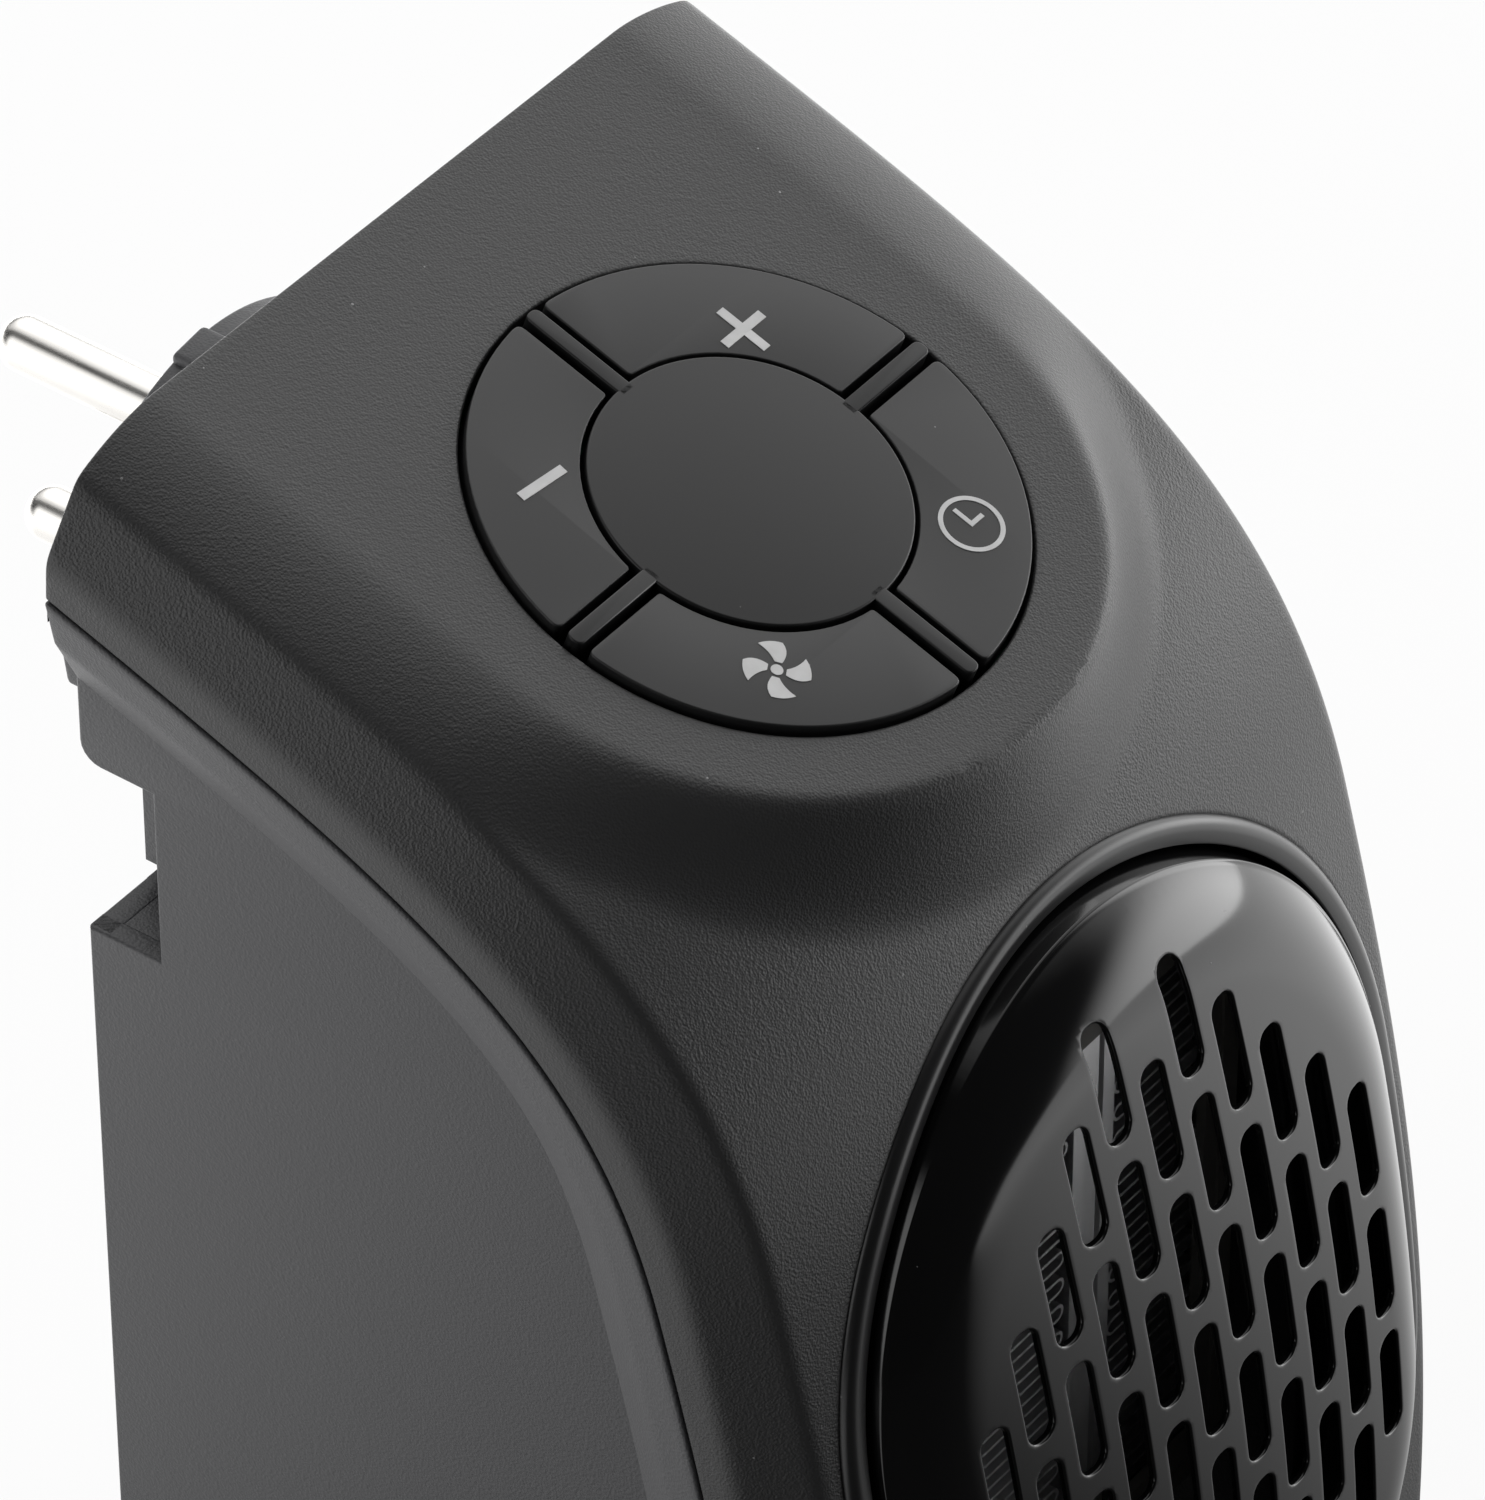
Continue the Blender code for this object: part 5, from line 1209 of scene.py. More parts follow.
    def front_y(self, across: np.ndarray, up: np.ndarray, lift: np.ndarray | float) -> np.ndarray:
        """Y of the front skin, raised by a lift, at places in the front view.

        Args:
            across: x of the places.
            up: z of the places.
            lift: how far the surface stands off the skin.

        Returns:
            The y of each place.
        """
        stand = self.crown_at(across) + lift
        count = len(self.places)
        low = np.zeros(np.shape(stand))
        high = np.full(np.shape(stand), count - 1.0)
        ticks = np.arange(count)
        for _ in range(34):
            middle = (low + high) / 2
            tall = np.interp(middle, ticks, self.places[:, 1]) + stand * np.interp(
                middle, ticks, self.normals[:, 1]
            )
            low, high = np.where(tall > up, middle, low), np.where(tall > up, high, middle)
        return np.interp(low, ticks, self.places[:, 0]) + stand * np.interp(
            low, ticks, self.normals[:, 0]
        )


@dataclass
class Stadium:
    """Upright outline with round ends, in the front view."""

    upper: float = 0.086
    lower: float = 0.0599

    @property
    def middle(self) -> float:
        """Height of the outline's middle."""
        return (self.upper + self.lower) / 2

    def reach(self, across: np.ndarray, up: np.ndarray) -> np.ndarray:
        """Distance of places from the line between the two arc centres."""
        return np.hypot(across, up - np.clip(up, self.lower, self.upper))

    def away(self, across: np.ndarray, up: np.ndarray) -> np.ndarray:
        """Unit direction away from the middle line, as (x, z).

        Args:
            across: x of the places.
            up: z of the places.

        Returns:
            The directions.
        """
        return unit(np.stack([across, up - np.clip(up, self.lower, self.upper)], axis=-1))

    def rays(self, arc_steps: int = 80, side_steps: int = 18) -> tuple[np.ndarray, np.ndarray]:
        """Unit rays round the outline and the height each one leaves from.

        Args:
            arc_steps: steps in each round end.
            side_steps: steps on each straight side.

        Returns:
            The rays and the heights.
        """
        turn = np.linspace(0, math.pi, arc_steps + 1)
        falling = np.linspace(self.upper, self.lower, side_steps + 1)[1:-1]
        angles = np.concatenate([
            turn, np.full(side_steps - 1, math.pi),
            turn + math.pi, np.full(side_steps - 1, math.tau),
        ])
        heights = np.concatenate(
            [np.full(arc_steps + 1, self.upper), falling, np.full(arc_steps + 1, self.lower),
             falling[::-1]]
        )
        return np.stack([np.cos(angles), np.sin(angles)], axis=1), heights


SIDES = (-1, 1)
FRONT_FRAME = Matrix(((1, 0, 0), (0, 0, 1), (0, -1, 0))).transposed().to_4x4()
SIDE_FRAME = Matrix(((0, 1, 0), (0, 0, 1), (1, 0, 0))).transposed().to_4x4()
BACK_FRAME = Matrix(((1, 0, 0), (0, 0, -1), (0, 1, 0))).transposed().to_4x4()


@dataclass
class FrontShell:
    """One skin over the panel, shoulders, front and base, with its three openings."""

    line: SideProfile
    finishes: Finishes
    half_width: float = 0.0422
    facet_inset: float = 0.0002
    facet_depth: float = 0.0052
    rim_depth: float = 0.0084
    rim_round: float = 0.0002
    wall: float = 0.0022
    well_radius: float = 0.02305
    well_round: float = 0.0003
    opening_radius: float = 0.0364
    opening_round: float = 0.0006
    column_spacing: float = 0.00045
    softening: int = 1

    def section(self, lift: np.ndarray) -> np.ndarray:
        """Section of each row as (x, stand-off).

        Args:
            lift: the skin's stand-off, row by row, between the creases.

        Returns:
            The sections, row by row.
        """
        rows, columns = lift.shape
        across = np.linspace(-self.line.crease, self.line.crease, columns)
        top = np.stack([np.broadcast_to(across, lift.shape), lift], axis=-1)
        corners = np.array([
            [self.line.crease, 0.0], [self.half_width - self.facet_inset, -self.facet_depth],
            [self.half_width, -self.rim_depth + self.rim_round],
        ])
        edge = []
        for one, two in zip(corners, corners[1:]):
            steps = max(3, int(np.linalg.norm(two - one) / self.column_spacing))
            edge += [one + (two - one) * i / steps for i in range(1, steps + 1)]
        right = np.broadcast_to(np.array(edge), (rows, len(edge), 2))
        left = right[:, ::-1] * np.array([-1.0, 1.0])
        whole = self.soften(np.concatenate([left, top, right], axis=1))
        turns = np.linspace(0, math.pi / 2, 5)[1:]
        inner = self.half_width - self.rim_round
        foot = -self.rim_depth + self.rim_round
        roll = [[inner + self.rim_round * math.cos(t), foot - self.rim_round * math.sin(t)]
                for t in turns]
        roll += [[self.half_width - self.wall, -self.rim_depth]]
        right = np.broadcast_to(np.array(roll), (rows, len(roll), 2))
        left = right[:, ::-1] * np.array([-1.0, 1.0])
        return np.concatenate([left, whole, right], axis=1)

    def soften(self, section: np.ndarray) -> np.ndarray:
        """Round a section's creases by averaging neighbours twice.

        Args:
            section: the section's points, row by row.

        Returns:
            The softened section.
        """
        for _ in range(2):
            source = section.copy()
            last = section.shape[1] - 1
            for i in range(last + 1):
                span = min(self.softening, i, last - i)
                section[:, i] = source[:, i - span:i + span + 1].mean(axis=1)
        return section

    def build(self) -> None:
        """Build the shell."""
        places, normals, fades = self.line.rows()
        columns = int(2 * self.line.crease / self.column_spacing) | 1
        across = np.linspace(-self.line.crease, self.line.crease, columns)
        section = self.section(self.line.lifts(across, places, normals, fades))
        flat = places[:, None, :] + normals[:, None, :] * section[:, :, 1:]
        grid = np.concatenate([section[:, :, :1], flat], axis=2)
        above = np.clip((section[:, :, 1:] + self.rim_depth - self.rim_round) / 0.0005, -1, 1)
        outward = np.concatenate([section[:, :, :1] * 10, normals[:, None, :] * above], axis=2)
        full = np.concatenate([grid, grid_normals(grid, outward)], axis=2)
        cut = cut_sheet(full, self.openings(grid), True)
        skin = Skin([tuple(p[:3]) for p in cut.points], [tuple(f) for f in cut.faces])
        for chain, closed in cut.chains:
            self.finish_edge(skin, chain, closed, cut.points[chain, :3], cut.points[chain, 3:])
        make_piece(
            "moulded_shell", skin, self.finishes.of(Slot.SHELL), Body.HOUSING,
            ("front_shell",),
        )

    def openings(self, grid: np.ndarray) -> np.ndarray:
        """Field that is positive where the skin stays.

        Args:
            grid: the skin's points.

        Returns:
            The field.
        """
        offset = grid[:, :, 1:] - self.line.centre
        fall, rise = offset @ self.line.down, offset @ self.line.up
        well = np.where(rise > -0.006, np.hypot(grid[:, :, 0], fall) - self.well_radius, 1.0)
        reach = Stadium().reach(grid[:, :, 0], grid[:, :, 2])
        opening = np.where(grid[:, :, 1] < 0, reach - self.opening_radius, 1.0)
        back = self.line.back - self.rim_round - grid[:, :, 1]
        return np.minimum(np.minimum(well, opening), back)

    def finish_edge(
        self, skin: Skin, chain: list[int], closed: bool, spots: np.ndarray, normals: np.ndarray
    ) -> None:
        """Roll one cut edge inwards.

        Args:
            skin: the shell's skin.
            chain: the edge's points.
            closed: whether the edge is a loop.
            spots: their places.
            normals: their normals.
        """
        normals = unit(normals)
        if not closed:
            inward = np.tile([0.0, 1.0, 0.0], (len(chain), 1))
            add_lip(skin, chain, normals, inward, closed, self.rim_round, self.wall)
            return
        if spots[:, 2].mean() > 0.125:
            centre = np.array([0.0, *self.line.centre])
            sink = -np.tile([0.0, *self.line.up], (len(chain), 1))
            add_lip(skin, chain, normals, centre - spots, closed, self.well_round, 0.0045, 5, sink)
            return
        away = Stadium().away(spots[:, 0], spots[:, 2])
        inward = np.stack([-away[:, 0], np.zeros(len(chain)), -away[:, 1]], axis=1)
        behind = np.tile([0.0, 1.0, 0.0], (len(chain), 1))
        add_lip(skin, chain, normals, inward, closed, self.opening_round, 0.006, 5, behind)


@dataclass
class RearHousing:
    """Flared edge, flat side walls, back wall and the two lined corner notches."""

    line: SideProfile
    finishes: Finishes
    half_width: float = 0.0424
    side: float = 0.0393
    wall: float = 0.0022
    flare_start: float = 0.00852
    flare_bend: Pair = (0.04165, 0.0126)
    flare_end: float = 0.0172
    tongue_depth: float = 0.012
    notch_low: float = 0.1121
    notch_high: float = 0.129
    thin_edge: float = 0.00005
    notch_depth: float = 0.0071
    notch_corner: float = 0.002
    notch_inner: float = 0.0321
    foot_inner: float = 0.0298
    foot_high: float = 0.114
    edge: float = 0.00035
    bend_share: float = 0.9
    inlet_count: int = 11
    inlet_pitch: float = 0.005
    inlet_size: Pair = (0.0026, 0.050)
    inlet_height: float = 0.07295
    neck: tuple[float, float] = (0.0153, 0.1187)
    rocker: Triple = (0.0032, 0.086, 0.0012)
    rocker_half: Pair = (0.0045, 0.0065)

    def build(self) -> None:
        """Build the housing."""
        skin = Skin()
        for side in SIDES:
            skin.add_skin(self.flare(side))
            for part in self.cheek(side):
                skin.add_skin(part)
        skin.add_skin(self.back_wall())
        make_piece(
            "rear_moulding", skin, self.finishes.of(Slot.HOUSING), Body.HOUSING,
            ("rear_housing",),
        )

    def bend_limits(self, places: np.ndarray, normals: np.ndarray) -> np.ndarray:
        """Depth at each row that an inset line can reach before it folds over itself.

        Args:
            places: the rows' places.
            normals: the rows' normals.

        Returns:
            The depths.
        """
        turn = np.linalg.norm(np.diff(normals, axis=0), axis=1)
        step = np.linalg.norm(np.diff(places, axis=0), axis=1)
        radius = np.where(turn > 1e-5, self.bend_share * step / np.maximum(turn, 1e-9), 1.0)
        return np.minimum(np.append(radius, 1.0), np.insert(radius, 0, 1.0))

    def flare(self, side: int) -> Skin:
        """Bright wedge between the shell's rim and the flat side wall.

        Args:
            side: -1 on the left, 1 on the right.

        Returns:
            The wedge's skin.
        """
        r = self.edge
        section = [(self.side - self.wall, self.flare_start)]
        section += [
            (self.half_width - r + r * math.sin(t), self.flare_start + r - r * math.cos(t))
            for t in np.linspace(0, math.pi / 2, 5)
        ]
        for end in (self.flare_bend, (self.side, self.flare_end)):
            start = section[-1]
            section += [
                (start[0] + (end[0] - start[0]) * share, start[1] + (end[1] - start[1]) * share)
                for share in np.linspace(0, 1, 6)[1:]
            ]
        section.append((self.side - 0.0003, self.flare_end + 0.0007))
        places, normals, _ = self.line.rows()
        limits = self.bend_limits(places, normals)
        depths = np.array([depth for _, depth in section])
        inset = np.minimum(depths[None, :], limits[:, None])
        flat = places[:, None, :] - normals[:, None, :] * inset[:, :, None]
        across = np.broadcast_to(side * np.array([x for x, _ in section]), inset.shape)
        grid = np.concatenate([across[:, :, None], flat], axis=2)
        upward = np.clip(2.0 - np.arange(len(section)), 0, 1)[None, :, None]
        outward = np.concatenate(
            [np.full(inset.shape + (1,), side * 0.5), normals[:, None, :] * upward * 4], axis=2
        )
        full = np.concatenate([grid, grid_normals(grid, outward)], axis=2)
        keep = self.line.back - self.edge - grid[:, :, 1]
        notch = np.where(
            grid[:, :, 1] > self.line.back - self.notch_depth,
            np.maximum(self.notch_low - grid[:, :, 2], grid[:, :, 2] - self.notch_high), 1.0,
        )
        cut = cut_sheet(full, np.minimum(keep, notch), side > 0)
        skin = Skin([tuple(p[:3]) for p in cut.points], [tuple(f) for f in cut.faces])
        ways = np.array([[0.0, 1.0, 0.0], [0.0, 0.0, 1.0], [0.0, 0.0, -1.0]])
        for chain, closed in cut.chains:
            y, z = cut.points[chain, 1], cut.points[chain, 2]
            off = np.stack([np.full(len(chain), 0.0004), z - self.notch_low, z - self.notch_high])
            behind = y > self.line.back - self.notch_depth
            nearest = np.abs(np.where(behind, off, 0.0)).argmin(axis=0)
            edge_normals = unit(cut.points[chain, 3:])
            add_lip(skin, chain, edge_normals, ways[nearest], closed, self.edge, 0.002)
        skin.points = [(x, min(y, self.line.back), z) for x, y, z in skin.points]
        return skin

    def side_outline(self, depth: float) -> list[Pair]:
        """Side wall's outline at a depth inside the shoulder line, up to the back.

        Args:
            depth: the depth.

        Returns:
            Points as (y, z) from the top of the back round to its foot.
        """
        places, normals, _ = self.line.rows()
        limits = self.bend_limits(places, normals)
        inset = places - normals * np.minimum(depth, limits)[:, None]
        kept = [tuple(spot) for spot in inset[::2] if spot[0] < self.line.back - 0.0002]
        return [(self.line.back, kept[0][1])] + kept + [(self.line.back, kept[-1][1])]

    def notch_outline(self, grow: float = 0.0) -> list[Pair]:
        """Notch in the side view, from its lower back corner round to its rounded upper one.

        Args:
            grow: how far the notch is cut wider.

        Returns:
            Points as (y, z).
        """
        back, low, high = self.line.back, self.notch_low - grow, self.notch_high + grow
        front = back - self.notch_depth - grow
        centre = (back - self.notch_corner, high + self.notch_corner)
        corner = arc(self.notch_corner, -math.pi / 2, 0, 5, centre)
        return [(back, low), (front, low), (front, high)] + corner

    def cheek(self, side: int) -> list[Skin]:
        """Side wall with its notch, the notch's floor and the deeper foot of the notch.

        Args:
            side: -1 on the left, 1 on the right.

        Returns:
            The skins of the layers.
        """
        outline = self.side_outline(self.tongue_depth)
        outer = outline + self.notch_outline()
        loops = [outer]
        if side > 0:
            middle_y, middle_z, grow = self.rocker
            half_y, half_z = self.rocker_half
            loops.append([
                (middle_y + sy * (half_y + grow), middle_z + sz * (half_z + grow))
                for sy, sz in ((-1, -1), (1, -1), (1, 1), (-1, 1))
            ])
        layers = [self.layer(side, loops, self.side - self.wall, self.side)]
        back, low, high = self.line.back, self.notch_low - self.wall, self.notch_high + 0.0042
        front = back - self.notch_depth - self.wall
        block = [(back, high), (front, high), (front, low), (back, low)]
        layers.append(
            self.layer(
                side, [block + self.notch_outline(0.00006)], self.notch_inner, self.side - 0.0006,
                self.thin_edge,
            )
        )
        foot = [
            (back, self.notch_low), (back - self.notch_depth, self.notch_low),
            (back - self.notch_depth, self.foot_high), (back, self.foot_high),
        ]
        layers.append(
            self.layer(
                side, [block + foot], self.foot_inner, self.notch_inner + self.thin_edge,
                self.thin_edge,
            )
        )
        layers.append(
            self.layer(
                side, [block], self.foot_inner - self.wall, self.foot_inner + self.thin_edge,
                self.thin_edge,
            )
        )
        return layers

    def layer(
        self, side: int, loops: list[list[Pair]], low: float, high: float, edge: float = 0.0004
    ) -> Skin:
        """One layer of a side, between two distances from the middle.

        Args:
            side: -1 on the left, 1 on the right.
            loops: outlines in the side view.
            low: inner distance.
            high: outer distance.
            edge: rounding of its edges.

        Returns:
            The layer's skin.
        """
        near, far = sorted((side * low, side * high))
        return flat_piece(loops, near, far, SIDE_FRAME, edge, 3)

    def back_wall(self) -> Skin:
        """Back wall with its notches, inlet slots and the hole for the plug's neck.

        Returns:
            The wall's skin.
        """
        side, inner, foot = self.side - 0.0004, self.notch_inner, self.foot_inner
        notch_top = self.notch_high + self.notch_corner
        right = [
            (0.0369, 0.0017), (0.0384, 0.0026), (0.04, 0.0042), (0.0416, 0.0058), (0.0419, 0.009),
            (0.0412, 0.0124), (side, 0.017), (side, self.notch_low),
            (foot, self.notch_low), (foot, self.foot_high), (inner, self.foot_high),
            (inner, notch_top), (side, notch_top),
            (side, 0.1373), (0.0412, 0.1419), (0.0419, 0.1455), (0.0418, 0.149), (0.0408, 0.1507),
            (0.0392, 0.1528), (0.0374, 0.1545), (0.0345, 0.1555), (0.0275, 0.1563),
        ]
        loops = [right + [(-x, z) for x, z in reversed(right)]]
        width, length = self.inlet_size
        for i in range(self.inlet_count):
            x = (i - (self.inlet_count - 1) / 2) * self.inlet_pitch
            loops.append(slot_loop(x, self.inlet_height, width, length, width / 2))
        loops.append(circle(self.neck[0], 72, (0, self.neck[1])))
        for x in (-0.028, 0.028):
            for z in (0.1445, 0.0068):
                loops.append(circle(0.0016, 20, (x, z)))
        back = -self.line.back - 0.00008
        return flat_piece(loops, back, back + self.wall, FRONT_FRAME, 0.0002, 2)


def slot_loop(x: float, z: float, width: float, length: float, corner: float) -> list[Pair]:
    """Upright slot with rounded corners.

    Args:
        x: the slot's middle.
        z: the slot's middle height.
        width: its width.
        length: its length.
        corner: radius of its corners.

    Returns:
        Its outline, anticlockwise.
    """
    across, up = width / 2 - corner, length / 2 - corner
    loop: list[Pair] = []
    for i, (sx, sz) in enumerate(((1, 1), (-1, 1), (-1, -1), (1, -1))):
        start = i * math.pi / 2
        loop += arc(corner, start, start + math.pi / 2, 5, (x + sx * across, z + sz * up))
    return loop


@dataclass
class Grille:
    """Glossy domed disc with staggered slots, and the satin trim ring round it."""

    line: SideProfile
    finishes: Finishes
    outline: Stadium = field(default_factory=Stadium)
    radius: float = 0.0333
    proud: float = 0.0042
    edge_rise: float = 0.0011
    edge_round: float = 0.0002
    dome_power: float = 2.8
    rim_width: float = 0.0085
    grid_reach: float = 0.0323
    spacing: float = 0.00036
    pitch: float = 0.004915
    rise: float = 0.01222
    slot_size: Pair = (0.0034, 0.0104)
    slot_corner: float = 0.00145
    slot_rows: tuple[int, ...] = (6, 7, 6, 5, 4, 3)
    slot_round: float = 0.00022
    thickness: float = 0.00035
    ring_outer: float = 0.0361
    ring_inner: float = 0.0339
    ring_proud: float = 0.00095
    ring_slope: Pair = (0.0011, 0.00105)
    ring_round: float = 0.0002
    ring_depth: float = 0.0055

    def lift(self, reach: np.ndarray) -> np.ndarray:
        """Stand-off of the disc at a distance from its middle line."""
        part = np.clip((self.radius - reach) / self.rim_width, 0, 1)
        rest = (1 - part) ** self.dome_power
        return self.proud * (1 - rest) + self.edge_rise * rest

    def slots(self) -> list[Pair]:
        """Centres of the slots, every other column staggered.

        Returns:
            The centres as (x, z).
        """
        centres = []
        for column, rows in enumerate(self.slot_rows):
            for side in SIDES if column else (1,):
                for i in range(rows):
                    z = self.outline.middle + (i - (rows - 1) / 2) * self.rise
                    centres.append((side * column * self.pitch, z))
        return centres

    def build(self) -> None:
        """Build the disc and its trim ring."""
        half = self.grid_reach + self.spacing * 2
        columns = int(2 * half / self.spacing)
        tall = self.outline.upper - self.outline.lower + 2 * half
        across = np.linspace(-half, half, columns)
        rows = int(tall / self.spacing)
        up = np.linspace(self.outline.upper + half, self.outline.lower - half, rows)
        x, z = np.meshgrid(across, up)
        reach = self.outline.reach(x, z)
        y = self.line.front_y(x, z, self.lift(reach))
        grid = np.stack([x, y, z], axis=2)
        normal = grid_normals(grid, np.broadcast_to([0.0, -1.0, 0.0], grid.shape))
        keep = self.grid_reach - reach
        width, length = self.slot_size
        for centre_x, centre_z in self.slots():
            far_x = np.abs(x - centre_x) - (width / 2 - self.slot_corner)
            far_z = np.abs(z - centre_z) - (length / 2 - self.slot_corner)
            outside = np.hypot(np.maximum(far_x, 0), np.maximum(far_z, 0))
            inside = np.minimum(np.maximum(far_x, far_z), 0)
            keep = np.minimum(keep, outside + inside - self.slot_corner)
        cut = cut_sheet(np.concatenate([grid, normal], axis=2), keep, True)
        skin = Skin([tuple(p[:3]) for p in cut.points], [tuple(f) for f in cut.faces])
        for chain, _ in cut.chains:
            spots, normals = cut.points[chain, :3], unit(cut.points[chain, 3:])
            if self.outline.reach(spots[:, 0], spots[:, 2]).min() > self.grid_reach - 0.0002:
                self.add_rim(skin, chain, spots)
                continue
            offset = spots - (spots.min(axis=0) + spots.max(axis=0)) / 2
            core = np.array([width / 2, 0.0, length / 2]) - self.slot_corner
            inward = -np.sign(offset) * np.maximum(np.abs(offset) - core, 0)
            inward[:, 1] = 0
            behind = np.tile([0.0, 1.0, 0.0], (len(chain), 1))
            add_lip(skin, chain, normals, inward, True, self.slot_round, self.thickness, 4, behind)
        make_piece(
            "slotted_disc", skin, self.finishes.of(Slot.GLOSS), Body.HOUSING,
            ("grille",),
        )
        self.build_ring()

    def add_rim(self, skin: Skin, chain: list[int], spots: np.ndarray) -> None:
        """Carry the disc's edge over its rounded rim and back into the body.

        Args:
            skin: the disc's skin.
            chain: the edge's points.
            spots: their places.
        """
        away = self.outline.away(spots[:, 0], spots[:, 2])
        base = np.clip(spots[:, 2], self.outline.lower, self.outline.upper)
        r = self.edge_round
        inner = self.radius - r
        reaches = np.linspace(self.grid_reach, inner, 5)
        profile = [(s, float(self.lift(np.array(s)))) for s in reaches]
        profile += [(s, profile[-1][1] + z) for s, z in arc(r, math.pi / 2, 0, 4, (inner, -r))][1:]
        profile.append((self.radius, -self.ring_depth))
        ring = chain
        for reach, lift in profile[1:]:
            x, z = away[:, 0] * reach, base + away[:, 1] * reach
            after = skin.add_points(np.stack([x, self.line.front_y(x, z, lift), z], axis=1))
            skin.bridge(after, ring)
            ring = after

    def build_ring(self) -> None:
        """Build the trim ring that follows the skin round the disc."""
        rays, heights = self.outline.rays()
        edge_x = rays[:, 0] * self.ring_outer
        edge_z = heights + rays[:, 1] * self.ring_outer
        skin_y = self.line.front_y(edge_x, edge_z, 0.0)
        r = self.ring_round
        profile = [(self.ring_outer, -self.ring_depth)]
        reach, rise = self.ring_slope
        outer, proud = self.ring_outer, self.ring_proud
        profile += [
            (outer - reach * (1 - math.cos(t)), proud - rise * (1 - math.sin(t)))
            for t in np.linspace(0, math.pi / 2, 9)
        ]
        profile += arc(r, math.pi / 2, math.pi, 4, (self.ring_inner + r, self.ring_proud - r))
        profile.append((self.ring_inner, -self.ring_depth))
        lines = []
        for radius, step in profile:
            places = [rays[:, 0] * radius, skin_y - step, heights + rays[:, 1] * radius]
            lines.append(np.stack(places, axis=1))
        skin = Skin()
        skin.add_grid(np.array(lines), True)
        make_piece(
            "trim_ring", skin, self.finishes.of(Slot.SATIN), Body.HOUSING,
            ("bezel_ring",),
        )


@dataclass
class KeyRing:
    """Centre disc with four arms, four sector buttons and their printed icons."""

    line: SideProfile
    finishes: Finishes
    hub_radius: float = 0.013
    arm_width: float = 0.0015
    arm_reach: float = 0.0224
    key_radius: float = 0.02235
    key_inner: float = 0.0134
    arm_gap: float = 0.0007
    proud: float = 0.0006
    hub_rise: float = 0.0002
    depth: float = 0.0036
    edge: float = 0.00016
    ring: Pair = (0.0234, 0.026)
    ink_height: float = 0.00006
    sign_span: float = 0.00485
    sign_stroke: float = 0.00084
    minus_turn: float = math.radians(-5)

    def build(self) -> None:
        """Build every piece of the ring."""
        frame = self.line.panel_frame()
        self.build_spider(frame)
        icons = {
            "plus": (Body.PLUS, self.plus_icon, (0.0122, 0.0104)),
            "minus": (Body.MINUS, self.minus_icon, (-0.0123, 0.01115)),
            "speed": (Body.SPEED, self.fan_icon, (-0.0121, -0.0121)),
            "timer": (Body.TIMER, self.clock_icon, (0.01125, -0.0134)),
        }
        for quarter, (name, (body, icon, spot)) in enumerate(icons.items()):
            turn = frame @ Matrix.Rotation(quarter * math.pi / 2, 4, "Z")
            skin = flat_piece(
                [self.key_outline()], self.proud - self.depth, self.proud, turn, self.edge, 4
            )
            make_piece(
                f"key_{name}", skin, self.finishes.of(Slot.KEYS), body,
                (f"button_{name}",),
            )
            self.print_icon(name, body, icon(), spot, frame)

    def build_spider(self, frame: Matrix) -> None:
        """Build the centre disc, its arms and the ring under the panel.

        Args:
            frame: the panel's frame.
        """
        low, top, r = self.proud - self.depth, self.proud + self.hub_rise, 0.0002
        profile = [(0.0, top), (self.hub_radius - r, top)]
        profile += arc(r, math.pi / 2, 0, 5, (self.hub_radius - r, top - r))[1:]
        profile += [(self.hub_radius, low), (0.0, low)]
        skin = turned_piece(profile, frame, 128)
        half = self.arm_width / 2
        start, end = self.hub_radius - half, self.arm_reach
        for quarter in range(4):
            turn = frame @ Matrix.Rotation(quarter * math.pi / 2, 4, "Z")
            corners = [(start, -half), (end, -half), (end, half), (start, half)]
            outline = rounded_outline(corners, [0, half * 0.95, half * 0.95, 0])
            skin.add_skin(flat_piece([outline], low - 0.002, top, turn, self.edge, 4))
        loops = [circle(self.ring[1], 96), circle(self.ring[0], 96)]
        skin.add_skin(flat_piece(loops, low - 0.0024, -0.0025, frame, 0.0001, 1))
        make_piece(
            "hub_and_arms", skin, self.finishes.of(Slot.HUB), Body.HOUSING,
            ("keypad_spider",),
        )

    def key_outline(self) -> list[Pair]:
        """Sector between two arms in the first quarter, with rounded corners.

        Returns:
            The outline, anticlockwise.
        """
        side = self.arm_width / 2 + self.arm_gap

        def sweep(radius: float, steps: int) -> list[Pair]:
            edge = math.asin(side / radius)
            return arc(radius, edge, math.pi / 2 - edge, steps)

        outer, inner = sweep(self.key_radius, 28), list(reversed(sweep(self.key_inner, 18)))
        radii = [0.0007] + [0.0] * (len(outer) - 2) + [0.0007]
        radii += [0.0004] + [0.0] * (len(inner) - 2) + [0.0004]
        return rounded_outline(outer + inner, radii, 4)

    def print_icon(
        self, name: str, body: Body, loops: list[list[list[Pair]]], spot: Pair, frame: Matrix
    ) -> None:
        """Lay one printed icon on its key.

        Args:
            name: the key's name.
            body: the key's body.
            loops: the icon's outlines about its own middle.
            spot: where the icon's middle lies on the panel.
            frame: the panel's frame.
        """
        place = Matrix.Translation((*spot, 0))
        skin = Skin()
        for loop_set in loops:
            skin.add_skin(
                flat_piece(loop_set, self.proud, self.proud + self.ink_height, frame @ place)
            )
        make_piece(f"icon_{name}", skin, self.finishes.ink, body)

    def minus_icon(self) -> list[list[list[Pair]]]:
        """One bar across."""
        half, thick = self.sign_span / 2, self.sign_stroke / 2
        cos, sin = math.cos(self.minus_turn), math.sin(self.minus_turn)
        corners = [(-half, -thick), (half, -thick), (half, thick), (-half, thick)]
        return [[[(x * cos - y * sin, x * sin + y * cos) for x, y in corners]]]

